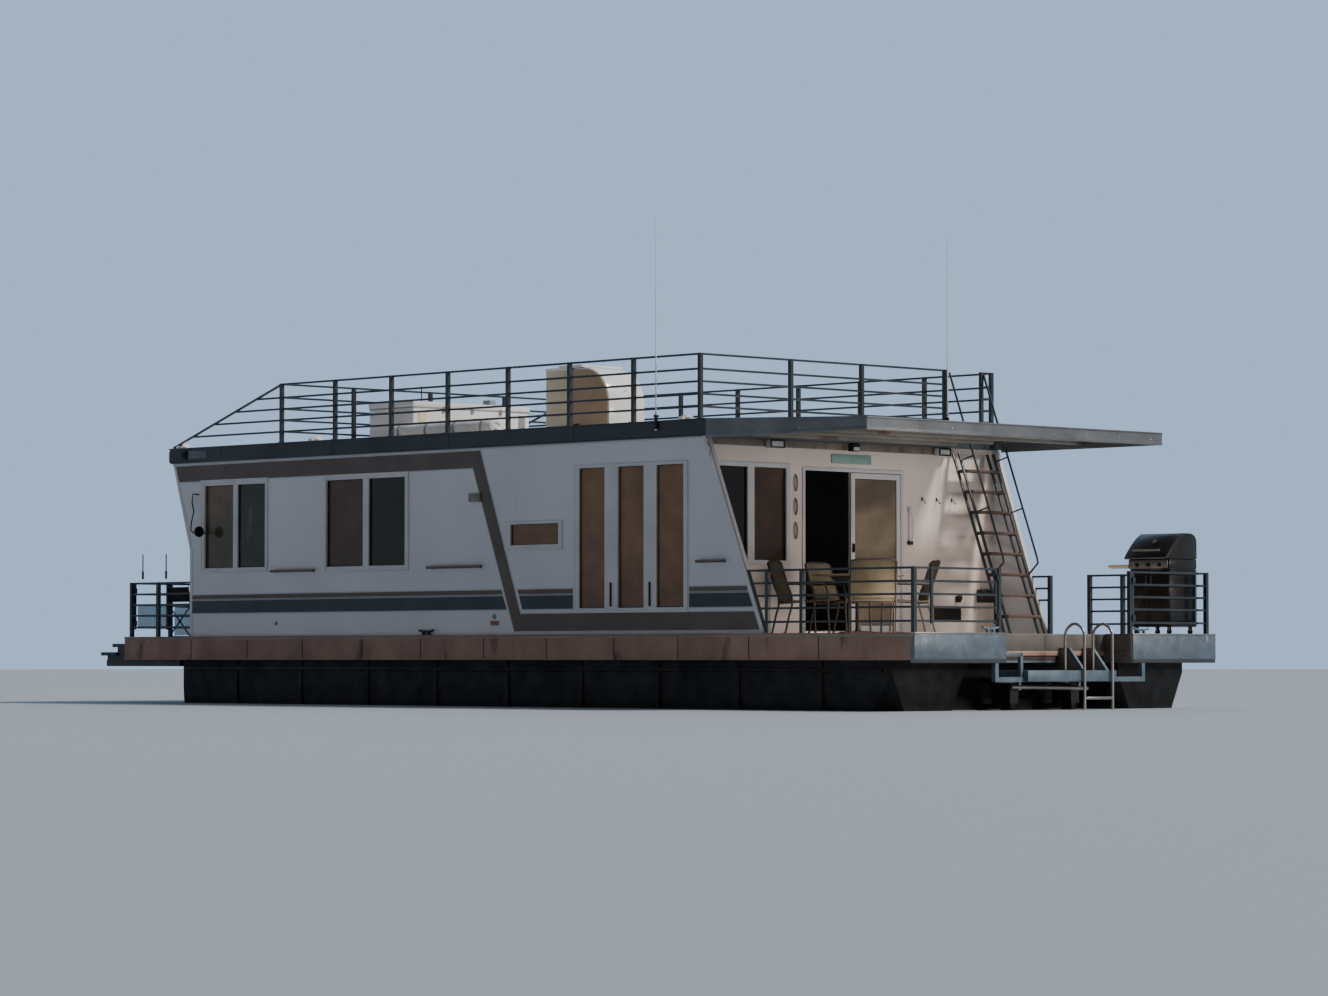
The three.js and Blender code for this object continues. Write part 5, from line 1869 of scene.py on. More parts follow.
@dataclass
class CabinTrim:
    """Trim, bars and small fittings on the cabin's walls."""

    grab_bars: tuple[tuple[float, float], ...] = ((11.04, 11.96), (7.63, 8.70), (3.16, 3.65))
    grab_height: float = 1.81
    bar_depth: float = 0.055

    def build(self) -> None:
        """Dresses the walls and adds their trim."""
        for node, finish in (
            ("side_wall_port", WALL_WHITE),
            ("side_wall_starboard", WALL_WHITE),
            ("bow_wall", WALL_WHITE),
            # the stern wall takes the copy of the panel with painted sunlight
            ("stern_wall", SUNLIT_STERN_WHITE),
        ):
            dress_node(node, finish)
        for side in Side:
            FilmBands(side).build()
            self.add_wing_trim(side)
            self.add_grab_bars(side)
            self.add_bow_corner(side)
        self.add_port_fittings()
        self.add_stern_fittings()

    def add_wing_trim(self, side: Side) -> None:
        """The white extrusion that caps the wing's sloping edge, and its lamp.

        Args:
            side: The side of the boat.
        """
        way = side.value
        low, high = 0.925, 3.335
        inner, outer = WALL_Y - 0.056, WALL_Y + 0.008
        foot, top = wing_edge(low, side), wing_edge(high, side)
        outline = [(foot - 0.012, low), (foot + 0.06, low), (top + 0.06, high), (top - 0.012, high)]
        cap = slab("cap", [(at(s), way * outer, above(h)) for s, h in outline], (0, -way * 0.008, 0), 0.002)
        back = slab(
            "back", [(at(s), way * inner, above(h)) for s, h in outline], (0, way * 0.006, 0), 0.002
        )
        strip = [(foot - 0.012, low), (foot - 0.001, low), (top - 0.001, high), (top - 0.012, high)]
        nose_line = [(at(s), way * inner, above(h)) for s, h in strip]
        nose = slab("nose", nose_line, (0, way * (outer - inner), 0), 0.002)
        dress(joined(f"wing_edge_trim_{side.label}", [cap, back, nose]), FRAME_VINYL)
        middle = 3.19
        x = wing_edge(middle, side) + 0.015
        diamond = ((-0.005, -0.10), (0.055, -0.01), (0.045, 0.09), (-0.02, 0.01))
        outline = [(at(x + u), way * (outer + 0.03), above(middle + v)) for u, v in diamond]
        lamp = slab(f"wing_lamp_{side.label}", outline, (0, -way * 0.03, 0), 0.008)
        dress(lamp, LENS)

    def add_grab_bars(self, side: Side) -> None:
        """Timber grab bars on two brackets each.

        Args:
            side: The side of the boat.
        """
        plate_line = [(0, 0), (0, 0.028), (0.006, 0.026), (0.008, 0)]
        height, depth = self.grab_height, self.bar_depth
        for k, (start, stop) in enumerate(self.grab_bars):
            line = [side_point(side, s, height, depth) for s in (start, start + 0.06, stop - 0.06, stop)]
            bar = tube("bar", line, 0.019, 12, finish=GRAB_WOOD)
            ends = (start + 0.05, stop - 0.05)
            feet = [
                tube(
                    "foot",
                    [side_point(side, s, height, out) for out in (0.0, depth)],
                    0.013,
                    8,
                    finish=STAINLESS,
                )
                for s in ends
            ]
            plates = [
                spun(
                    "plate", plate_line, side_point(side, s, height), (0, side.value, 0), 16,
                    finish=STAINLESS,
                )
                for s in ends
            ]
            dress(joined(f"grab_bar_{side.label}_{k + 1}", [bar, *feet, *plates]), None)

    def add_bow_corner(self, side: Side) -> None:
        """The extrusion down the raked bow corner.

        Args:
            side: The side of the boat.
        """
        way = side.value
        heights = (0.925, BOW_KNEE, 3.345)
        edge = [(bow_edge(h) + 0.006, h) for h in heights]
        outline = [*edge, *[(bow_edge(h) - 0.05, h) for h in reversed(heights)]]
        cap = slab(
            "cap",
            [(at(s), way * (WALL_Y + 0.006), above(h)) for s, h in outline],
            (0, -way * 0.006, 0),
            0.002,
        )
        strip = [*edge, *[(bow_edge(h), h) for h in reversed(heights)]]
        front = slab(
            "front",
            [(at(s), way * (WALL_Y - 0.045), above(h)) for s, h in strip],
            (0, way * 0.051, 0),
            0.002,
        )
        dress(joined(f"bow_corner_trim_{side.label}", [cap, front]), WALL_WHITE)

    def add_port_fittings(self) -> None:
        """The vent, the labels and the helm mirror on the port wall."""
        side = Side.PORT
        far = side_point(side, 7.90, 2.76, 0.035)
        vent = [block("box", side_point(side, 7.68, 2.65), far, 0.006, finish=GREY_VENT)]
        for z in (2.665, 2.69, 2.715, 2.74):
            far = side_point(side, 7.88, z + 0.012, 0.042)
            vent.append(block("slat", side_point(side, 7.70, z, 0.03), far, 0.002, finish=GREY_VENT))
        dress(joined("wall_vent", vent), None)
        label = block(
            "fuel_label", side_point(side, 7.33, 1.045), side_point(side, 7.50, 1.105, 0.002), 0.0005
        )
        dress(label, RED_LABEL)
        for name, profile, place, steps in (
            (
                "fuel_cap",
                [(0, 0), (0, 0.035), (0.008, 0.033), (0.012, 0.02), (0.016, 0)],
                (7.42, 1.16),
                20,
            ),
            ("drain_cap", [(0, 0), (0, 0.03), (0.006, 0.028), (0.008, 0)], (11.9, 1.10), 16),
        ):
            cap = spun(name, profile, side_point(side, *place), TO_PORT, steps)
            dress(cap, GREY_VENT)
        self.add_helm_mirror()

    def add_helm_mirror(self) -> None:
        """The helm's outside mirror on its bent arm."""
        side = Side.PORT
        centre = side_point(side, 13.44, 2.38, 0.145)
        look = (-1, 0.12, 0)
        route = [
            (13.619, 2.904, 0.0), (13.698, 2.912, 0.05), (13.68, 2.792, 0.08), (13.60, 2.662, 0.11),
            (13.631, 2.523, 0.125), (13.635, 2.406, 0.135), (13.565, 2.368, 0.145), (13.46, 2.37, 0.145),
        ]
        arm = tube("arm", [side_point(side, *knot) for knot in route], 0.010, 8)
        lower = tube(
            "lower_arm",
            [side_point(side, 13.44, 2.365, 0.14), side_point(side, 13.36, 2.36, 0.0)],
            0.010,
            8,
        )
        head = spun(
            "head",
            [(-0.03, 0.0), (-0.028, 0.05), (-0.01, 0.072), (0.012, 0.076), (0.014, 0.0)],
            centre,
            look,
            24,
        )
        glass = spun(
            "glass", [(0.0145, 0.0), (0.0145, 0.066), (0.016, 0.064), (0.016, 0.0)], centre, look, 24
        )
        for piece in (arm, lower, head):
            painted(piece, BLACK_PLASTIC)
        painted(glass, DARK_GLASS)
        dress(joined("helm_mirror", [arm, lower, head, glass]), None)

    def add_stern_fittings(self) -> None:
        """Lamps, board, hooks and small things on the stern wall."""
        for name, (near, far) in (("port", (1.17, 1.43)), ("starboard", (4.27, 4.50))):
            self.floodlight(name, near, far, 3.235, 3.345)
        self.add_over_door()
        self.add_hooks_and_shower()
        self.add_low_fittings()
        self.add_ornaments()

    def stern_box(
        self, name: str, low: Point, high: Point, bevel: float, finish: Finish
    ) -> bpy.types.Object:
        """A box on the stern wall.

        Args:
            name: The box's name.
            low: One corner: distance from the port deck edge, height, and distance out.
            high: The corner across from it.
            bevel: The radius of the edges.
            finish: The box's finish.

        Returns:
            The box.
        """
        return block(name, stern_point(*low), stern_point(*high), bevel, finish=finish)

    def add_over_door(self) -> None:
        """The lamp over the door, and the blank board on its two screws."""
        lamp = [
            self.stern_box("body", (2.67, 3.245, 0.0), (2.81, 3.345, 0.09), 0.012, BLACK_PLASTIC),
            self.stern_box("lens", (2.69, 3.255, 0.085), (2.79, 3.30, 0.096), 0.004, LENS),
        ]
        dress(joined("door_lamp", lamp), None)
        board = [self.stern_box("board", (2.36, 3.085, 0.0), (3.09, 3.20, 0.018), 0.006, BOARD_PAINT)]
        profile = [(0, 0), (0, 0.008), (0.003, 0.006), (0.004, 0)]
        for distance in (2.40, 3.05):
            place = stern_point(distance, 3.142, 0.018)
            board.append(spun("screw", profile, place, ASTERN, 10, finish=STAINLESS))
        dress(joined("blank_board", board), None)

    def add_hooks_and_shower(self) -> None:
        """Three hooks on their plates, and the hand shower with its hose."""
        knots = ((2.68, 0.0), (2.675, 0.03), (2.635, 0.045), (2.62, 0.06), (2.64, 0.075))
        for k, distance in enumerate((4.05, 4.33, 4.62)):
            line = [stern_point(distance, height, out) for height, out in knots]
            hook = tube("hook", line, 0.005, 8, smooth_route=True)
            near, far = distance - 0.012, distance + 0.012
            plate = block("plate", stern_point(near, 2.65), stern_point(far, 2.70, 0.006), 0.002)
            dress(joined(f"wall_hook_{k + 1}", [hook, plate]), BLACK_PLASTIC)
        hose = (
            (3.803, 2.50, 0.045), (3.825, 2.42, 0.05), (3.83, 2.28, 0.05), (3.82, 2.16, 0.045),
            (3.80, 2.12, 0.045),
        )
        line = [stern_point(*knot) for knot in hose]
        shower = [
            self.stern_box("rail", (3.79, 2.10, 0.0), (3.815, 2.55, 0.02), 0.004, FRAME_VINYL),
            self.stern_box("head", (3.775, 2.50, 0.0), (3.83, 2.56, 0.05), 0.008, FRAME_VINYL),
            self.stern_box("valve", (3.77, 2.08, 0.0), (3.85, 2.13, 0.045), 0.01, BLACK_PLASTIC),
            tube("hose", line, 0.006, 8, smooth_route=True, finish=FRAME_VINYL),
        ]
        dress(joined("shower_fitting", shower), None)

    def add_low_fittings(self) -> None:
        """The vent, the outlet and the power box low on the wall beside the stairs."""
        vent = [self.stern_box("rim", (4.28, 1.105, 0.0), (4.79, 1.29, 0.014), 0.004, BLACK_PLASTIC)]
        for z in (1.125, 1.15, 1.175, 1.20, 1.225, 1.25):
            vent.append(
                self.stern_box("slat", (4.30, z, 0.010), (4.77, z + 0.010, 0.024), 0.002, SEAL_RUBBER)
            )
        dress(joined("stern_wall_vent", vent), None)
        profile = [(0, 0), (0, 0.038), (0.03, 0.034), (0.04, 0.02), (0.042, 0)]
        outlet = [
            self.stern_box("base", (4.69, 1.35, 0.0), (4.78, 1.43, 0.03), 0.006, BLACK_PLASTIC),
            spun("cover", profile, stern_point(4.735, 1.41, 0.03), ASTERN, 16, finish=BLACK_PLASTIC),
        ]
        dress(joined("wall_outlet", outlet), None)
        power = [
            self.stern_box("box", (5.10, 1.35, 0.0), (5.48, 1.52, 0.10), 0.01, BLACK_PLASTIC),
            self.stern_box("lid", (5.12, 1.37, 0.09), (5.46, 1.50, 0.112), 0.008, BLACK_PLASTIC),
        ]
        dress(joined("shore_power_box", power), None)

    def add_ornaments(self) -> None:
        """Three wrought ornaments, each a long loop round a bowed stem."""
        turns = [math.tau * i / 14 for i in range(15)]
        for k, height in enumerate((2.82, 2.52, 2.22)):
            loop = [
                stern_point(1.72 + 0.03 * math.cos(a), height + 0.10 * math.sin(a), 0.012) for a in turns
            ]
            stem = ((1.72, height - 0.11, 0.01), (1.735, height, 0.022), (1.71, height + 0.11, 0.01))
            line = [stern_point(*knot) for knot in stem]
            parts = [
                tube("loop", loop, 0.006, 6, finish=WROUGHT_METAL),
                tube("stem", line, 0.006, 6, smooth_route=True, finish=WROUGHT_METAL),
            ]
            dress(joined(f"wall_ornament_{k + 1}", parts), None)

    def floodlight(self, name: str, near: float, far: float, low: float, high: float) -> None:
        """A square floodlight with its hood and lens.

        Args:
            name: The side that it lights.
            near: Its port edge.
            far: Its starboard edge.
            low: Its foot.
            high: Its top.
        """
        body = self.stern_box("body", (near, low, 0.02), (far, high, 0.10), 0.012, FRAME_VINYL)
        left, right, under, over = near + 0.005, far - 0.005, low + 0.005, high - 0.005
        corners = [
            stern_point(u, z, 0.115)
            for u, z in ((left, under), (right, under), (right, over), (left, over))
        ]
        bezel = ring("bezel", corners, 0.018, (0.02, 0, 0), 0.003, finish=BLACK_PLASTIC)
        lens = self.stern_box(
            "lens", (near + 0.02, low + 0.02, 0.098), (far - 0.02, high - 0.02, 0.104), 0.002, LENS
        )
        middle = (near + far) / 2
        foot = self.stern_box(
            "foot", (middle - 0.03, low + 0.03, 0.0), (middle + 0.03, high - 0.02, 0.03), 0.003,
            FRAME_VINYL,
        )
        dress(joined(f"floodlight_{name}", [body, bezel, lens, foot]), None)


@dataclass
class Canopy:
    """The porch canopy: fascias with screws, a ribbed soffit and the flashing at the wall."""

    start: float = 0.80
    stop: float = 3.5097
    rib_pitch: float = 0.15
    rib_height: float = 0.028
    fastener_pitch: float = 0.62

    def build(self) -> None:
        """Dresses the canopy and adds its soffit, lips and fasteners."""
        dress_node("porch_canopy", CANOPY_METAL)
        self.add_soffit()
        self.add_lips()
        self.add_flashing()

    def add_soffit(self) -> None:
        """Ribbed sheet under the tray, in two pieces beside the stairs' hatch."""
        z = WALL_TOP + 0.06
        for name, (y0, y1), (x0, x1) in (
            ("main", (-1.70, 2.665), (at(self.start) + 0.055, at(self.stop) - 0.055)),
            ("starboard", (-2.665, -1.70), (at(self.start) + 0.055, at(2.55))),
        ):
            upper = []
            y = y0
            while y < y1 - 1e-6:
                for share, lift in (
                    (0.0, 0.0), (0.35, 0.0), (0.5, self.rib_height), (0.85, self.rib_height)
                ):
                    if y + share * self.rib_pitch < y1:
                        upper.append((y + share * self.rib_pitch, z + lift))
                y += self.rib_pitch
            upper.append((y1, z))
            lower = [(a, b - 0.004) for a, b in reversed(upper)]
            sheet = slab(
                f"soffit_sheet_{name}", [(x0, a, b) for a, b in [*upper, *lower]], (x1 - x0, 0, 0), 0.0
            )
            dress(sheet, SOFFIT)
        beams = [
            block(
                "beam",
                (x - 0.02, -2.66 if x < at(2.5) else -1.69, z - 0.045),
                (x + 0.02, 2.66, z - 0.002),
                0.003,
            )
            for x in (at(1.45), at(2.1), at(2.75), at(3.38))
        ]
        dress(joined("soffit_battens", beams), SOFFIT)

    def add_lips(self) -> None:
        """Folded lips along the fascias, and the fasteners in them."""
        low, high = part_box("porch_canopy")
        y = high.y
        top = above(LIP_TOP)
        lips = [
            block("lip", (low.x - 0.006, -y, WALL_TOP - 0.034), (low.x + 0.01, y, WALL_TOP + 0.008)),
            block("top_lip", (low.x - 0.01, -y, top - 0.012), (low.x + 0.02, y, top + 0.004)),
        ]
        edge = (
            (low.x, top + 0.004), (high.x, ROOF_Z + 0.004), (high.x, ROOF_Z - 0.012), (low.x, top - 0.012)
        )
        for way in (1, -1):
            near, far = way * (y - 0.012), way * (y + 0.006)
            lips.append(block("side_lip", (low.x, near, WALL_TOP - 0.03), (high.x, far, WALL_TOP + 0.01)))
            outline = [(x, way * (y + 0.008), z) for x, z in edge]
            lips.append(slab("side_top", outline, (0, -way * 0.03, 0), 0.002))
        dress(joined("canopy_lips", lips), CANOPY_METAL)
        screws = []
        y = -2.5
        while y < 2.6:
            screws.append(self.screw(low.x, y, ASTERN))
            y += self.fastener_pitch
        for way in (1, -1):
            for station in (1.2, 1.9, 2.6, 3.2):
                screws.append(self.screw(at(station), way * 2.72, (0, way, 0)))
        dress(joined("canopy_screws", screws), STAINLESS)

    def screw(self, x: float, y: float, outward: Point) -> bpy.types.Object:
        """A domed screw in the canopy's lip.

        Args:
            x: Its place forward.
            y: Its place to port.
            outward: The way its head faces.

        Returns:
            The screw.
        """
        profile = [(0, 0), (0, 0.012), (0.004, 0.011), (0.007, 0.004), (0.007, 0)]
        return spun("screw", profile, (x, y, WALL_TOP + 0.035), outward, 10)

    def add_flashing(self) -> None:
        """The dark, brown-blotched flashing where the soffit meets the wall."""
        strip = block(
            "wall_flashing",
            (at(STERN_WALL) - 0.012, -1.70, above(3.255)),
            (at(STERN_WALL), 2.64, above(3.345)),
            0.002,
        )
        dress(strip, FLASHING)


@dataclass
class Roof:
    """The roof's fascia, its deck covering and the caps on its edge."""

    plate: tuple[float, float] = (13.42, 13.85)
    lamp: tuple[float, float] = (13.88, 13.99)
    cap_stations: tuple[float, ...] = (3.95, 7.50, 11.15, 14.08)
    seam_stations: tuple[float, ...] = (5.9, 8.3, 10.7, 13.1)

    def build(self) -> None:
        """Dresses the roof and adds its edge and covering."""
        dress_node("roof", FASCIA)
        low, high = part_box("roof")
        near, far = (low.x + 0.06, low.y + 0.08, high.z), (high.x - 0.06, high.y - 0.08, high.z + 0.006)
        cover = block("roof_covering", near, far, 0.002)
        dress(cover, ROOF_COAT)
        for side in Side:
            way = side.value
            face = way * high.y
            lip = block(
                "lip",
                (low.x, face - way * 0.02, high.z - 0.012),
                (high.x, face + way * 0.008, high.z + 0.006),
            )
            drip = block(
                "drip",
                (low.x, face - way * 0.01, low.z),
                (high.x - 0.05, face + way * 0.010, low.z + 0.014),
            )
            foot, head = low.z + 0.016, high.z - 0.012
            seams = [
                block(
                    "seam", (at(s) - 0.004, face, foot), (at(s) + 0.004, face + way * 0.004, head), 0.001
                )
                for s in self.seam_stations
            ]
            dress(joined(f"fascia_edges_{side.label}", [lip, drip, *seams]), FASCIA)
            near, far = face - way * 0.018, face - way * 0.008
            name = f"under_fascia_line_{side.label}"
            under = block(name, (low.x + 0.1, near, low.z - 0.022), (at(BOW_TOP), far, low.z), 0.002)
            dress(under, PINSTRIPE)
            plate = block(
                f"blank_number_plate_{side.label}",
                (at(self.plate[0]), face, low.z + 0.055),
                (at(self.plate[1]), face + way * 0.004, high.z - 0.045),
                0.001,
            )
            dress(plate, PLATE_GREY)
            back, front = at(self.lamp[0]), at(self.lamp[1])
            far = (front, face + way * 0.02, high.z - 0.035)
            lamp = block("body", (back, face, low.z + 0.05), far, 0.006, finish=BLACK_PLASTIC)
            far = (front - 0.012, face + way * 0.026, high.z - 0.05)
            lens = block("lens", (back + 0.012, face, low.z + 0.065), far, 0.004, finish=SEAL_RUBBER)
            dress(joined(f"side_lamp_{side.label}", [lamp, lens]), None)
            dome = [(0, 0), (0, 0.075), (0.03, 0.078), (0.055, 0.06), (0.07, 0.03), (0.074, 0)]
            near, far = face - way * 0.10, face + way * 0.012
            for k, x in enumerate([at(station) for station in self.cap_stations]):
                cap = spun("cap", dome, (x, face - way * 0.11, high.z), UP, 20)
                spout = block(
                    "spout", (x - 0.035, near, high.z + 0.004), (x + 0.035, far, high.z + 0.04), 0.008
                )
                dress(joined(f"edge_vent_{side.label}_{k + 1}", [cap, spout]), GELCOAT)
        bow = block(
            "bow_fascia_lip",
            (high.x - 0.02, low.y, high.z - 0.012),
            (high.x + 0.008, high.y, high.z + 0.006),
        )
        dress(bow, FASCIA)


@dataclass
class RoofThings:
    """The locker, the console, the antennas and what stands on the roof."""

    def build(self) -> None:
        """Builds each thing on the roof."""
        self.build_locker()
        self.build_console()
        self.dress_antennas()

    def build_locker(self) -> None:
        """A wide lidded locker across the roof, and a rolled cover against its port end."""
        low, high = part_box("roof_locker")
        x0, x1 = at(10.56), at(11.52)
        y0, y1 = -0.76, 1.40
        top = high.z
        rows = [
            ("body", (x0 + 0.01, y0 + 0.01, low.z), (x1 - 0.01, y1 - 0.01, top - 0.07), 0.03, GELCOAT),
            ("lid", (x0, y0, top - 0.085), (x1, y1, top), 0.025, GELCOAT),
            (
                "seam", (x0 + 0.006, y0 + 0.006, top - 0.095), (x1 - 0.006, y1 - 0.006, top - 0.083),
                0.002, SHADE_PLASTIC,
            ),
            (
                "panel", (x0 + 0.004, 1.16, low.z + 0.10), (x0 + 0.02, 1.30, top - 0.13), 0.004,
                CREAM_GELCOAT,
            ),
            (
                "panel", (x0 + 0.004, -0.66, low.z + 0.10), (x0 + 0.02, -0.54, top - 0.13), 0.004,
                SHADE_PLASTIC,
            ),
        ]
        for y in (-0.2, 0.32, 0.84):
            near, far = (x0 - 0.006, y - 0.025, top - 0.14), (x0 + 0.014, y + 0.025, top - 0.06)
            rows.append(("latch", near, far, 0.004, STAINLESS))
        for y in (-0.45, 1.05):
            near, far = (x1 - 0.012, y - 0.04, top - 0.12), (x1 + 0.004, y + 0.04, top - 0.05)
            rows.append(("hinge", near, far, 0.003, STAINLESS))
        rows.append(
            ("case", (x0 + 0.05, -0.16, top - 0.002), (x0 + 0.20, -0.04, top + 0.07), 0.01, SHADE_PLASTIC)
        )
        parts = [block(name, near, far, bevel, finish=finish) for name, near, far, bevel, finish in rows]
        spike = [(x0 + 0.06, 1.20, top + rise) for rise in (-0.01, 0.19)]
        parts.append(tube("spike", spike, 0.008, 8, finish=BLACK_PLASTIC))
        dome = [(0, 0), (0, 0.022), (0.03, 0.022), (0.045, 0.01), (0.048, 0)]
        parts.append(spun("light", dome, (x0 + 0.06, 1.20, top + 0.17), UP, 14, finish=LENS))
        dress(
            joined("roof_locker_piece", [*parts, *self.rolled_cover(low.z)]),
            None,
            stands_for=["roof_locker"],
        )

    def rolled_cover(self, floor: float) -> list[bpy.types.Object]:
        """A cover rolled up along the roof, with its lumps, its spiral end and four straps.

        Args:
            floor: The roof's height.

        Returns:
            The roll's pieces.
        """
        start, stop = at(8.73), at(10.75)
        y, z = 1.527, floor + 0.135
        length = stop - start
        knots = 28
        profile = [(0.0, 0.0), (0.0, 0.105)]
        for k in range(1, knots):
            share = k / knots
            radius = 0.124 + 0.008 * math.sin(share * 31.0) + 0.003 * math.sin(share * 83.0)
            profile.append((share * length, radius))
        profile += [(length, 0.10), (length, 0.0)]
        pieces = [spun("roll", profile, (start, y, z), (1, 0, 0), 28, finish=COVER_CLOTH)]
        spiral = []
        for k in range(20):
            reach, turn = 0.02 + 0.0042 * k, k * 0.7
            spiral.append((start - 0.004, y + reach * math.cos(turn), z + reach * math.sin(turn)))
        # the spiral end of the roll is blue-grey, painted shade on the white cloth
        pieces.append(tube("spiral", spiral, 0.005, 6, smooth_route=True, finish=SHADE_PLASTIC))
        strap = [(-0.02, 0.12), (-0.02, 0.1345), (0.02, 0.1345), (0.02, 0.12)]
        for share in (0.08, 0.36, 0.64, 0.92):
            place = (start + share * length, y, z)
            pieces.append(spun("strap", strap, place, ALONG, 28, finish=SHADE_PLASTIC))
        return pieces

    def build_console(self) -> None:
        """A curved moulding whose cheeks are painted tan as warm bounced light on faces in shade, and a
        cream seat box under a white lid.
        """
        low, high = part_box("roof_console")
        top = high.z - 0.03
        radius = 0.49
        centre = Vector((low.x + radius + 0.012, 0, top - radius - 0.012))
        split = at(8.24)
        y0, y1 = low.y + 0.03, high.y - 0.03

        def outline(inset: float, foot: float) -> list[tuple[float, float]]:
            """The moulding's side view, made smaller by inset.

            Args:
                inset: How far each edge moves in.
                foot: The outline's lowest Z.

            Returns:
                X and Z of the outline's points.
            """
            reach = radius - inset
            turns = [math.radians(degrees) for degrees in range(0, 91, 6)]
            arc = [(centre.x - reach * math.cos(a), centre.z + reach * math.sin(a)) for a in turns]
            return [(centre.x - reach, foot), *arc, (split, top - 0.012 - inset), (split, foot)]

        parts = [
            slab(
                "shell",
                [(x, y0, z) for x, z in outline(0.0, low.z)],
                (0, y1 - y0, 0),
                0.012,
                finish=GELCOAT,
            )
        ]
        # the cheeks' tan is painted warm light bounced from sandstone onto faces in shade
        for y, way in ((y1, 1), (y0, -1)):
            cheek = [(x, y, z) for x, z in outline(0.022, low.z + 0.01)]
            parts.append(slab("cheek", cheek, (0, way * 0.012, 0), 0.003, finish=TAN_BOARD_AND_BOUNCE))
        inner, outer, vent_x = high.y - 0.012, high.y + 0.018, split - 0.03
        lid_near = (split + 0.03, low.y + 0.005, top - 0.035)
        lid_far = (high.x, high.y - 0.005, top + 0.005)
        vent_near = (vent_x - 0.10, y1 + 0.008, low.z + 0.06)
        vent_far = (vent_x + 0.02, y1 + 0.020, low.z + 0.20)
        rows = (
            (
                "post", (split, high.y - 0.06, low.z), (split + 0.05, inner, top - 0.02), 0.006,
                SHADE_PLASTIC,
            ),
            (
                "seat_box", (split + 0.05, low.y + 0.02, low.z), (high.x, inner, top - 0.02), 0.02,
                CREAM_GELCOAT,
            ),
            ("seat_lid", lid_near, lid_far, 0.012, GELCOAT),
            (
                "top_rail", (at(8.03), low.y - 0.018, top - 0.008), (at(8.5), outer, top + 0.029), 0.01,
                GELCOAT,
            ),
            ("vent", vent_near, vent_far, 0.006, SEAL_RUBBER),
        )
        parts += [block(name, near, far, bevel, finish=finish) for name, near, far, bevel, finish in rows]
        hub = [(-0.012, 0.0), (-0.012, 0.02), (0.0, 0.03), (0.012, 0.02), (0.012, 0.0)]
        place = (low.x + 0.05, (y0 + y1) / 2, top - 0.35)
        parts.append(spun("wheel", hub, place, (-1, 0, 0.2), 16, finish=BLACK_PLASTIC))
        dress(joined("roof_helm_console", parts), None, stands_for=["roof_console"])

    def dress_antennas(self) -> None:
        """Whips with their ferrules and brackets."""
        ferrule = [(0, 0.009), (0, 0.024), (0.16, 0.022), (0.2, 0.012), (0.2, 0.008)]
        for side in Side:
            name = f"antenna_{side.label}"
            dress_node(name, ANTENNA_WHITE)
            low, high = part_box(name)
            x, y = (low.x + high.x) / 2, (low.y + high.y) / 2
            parts = [spun("ferrule", ferrule, (x, y, low.z + 0.02), UP, 16)]
            if side is Side.PORT:
                for z in (low.z + 0.05, low.z + 0.17):
                    parts.append(
                        block("clamp", (x - 0.028, y - 0.03, z), (x + 0.028, y + 0.024, z + 0.025), 0.006)
                    )
            else:
                near, far = (x - 0.045, y - 0.045, low.z), (x + 0.045, y + 0.045, low.z + 0.012)
                parts.append(block("foot", near, far, 0.005))
            for part in parts:
                painted(part, BLACK_PLASTIC)
            dress(joined(f"{name}_bracket", parts), None)


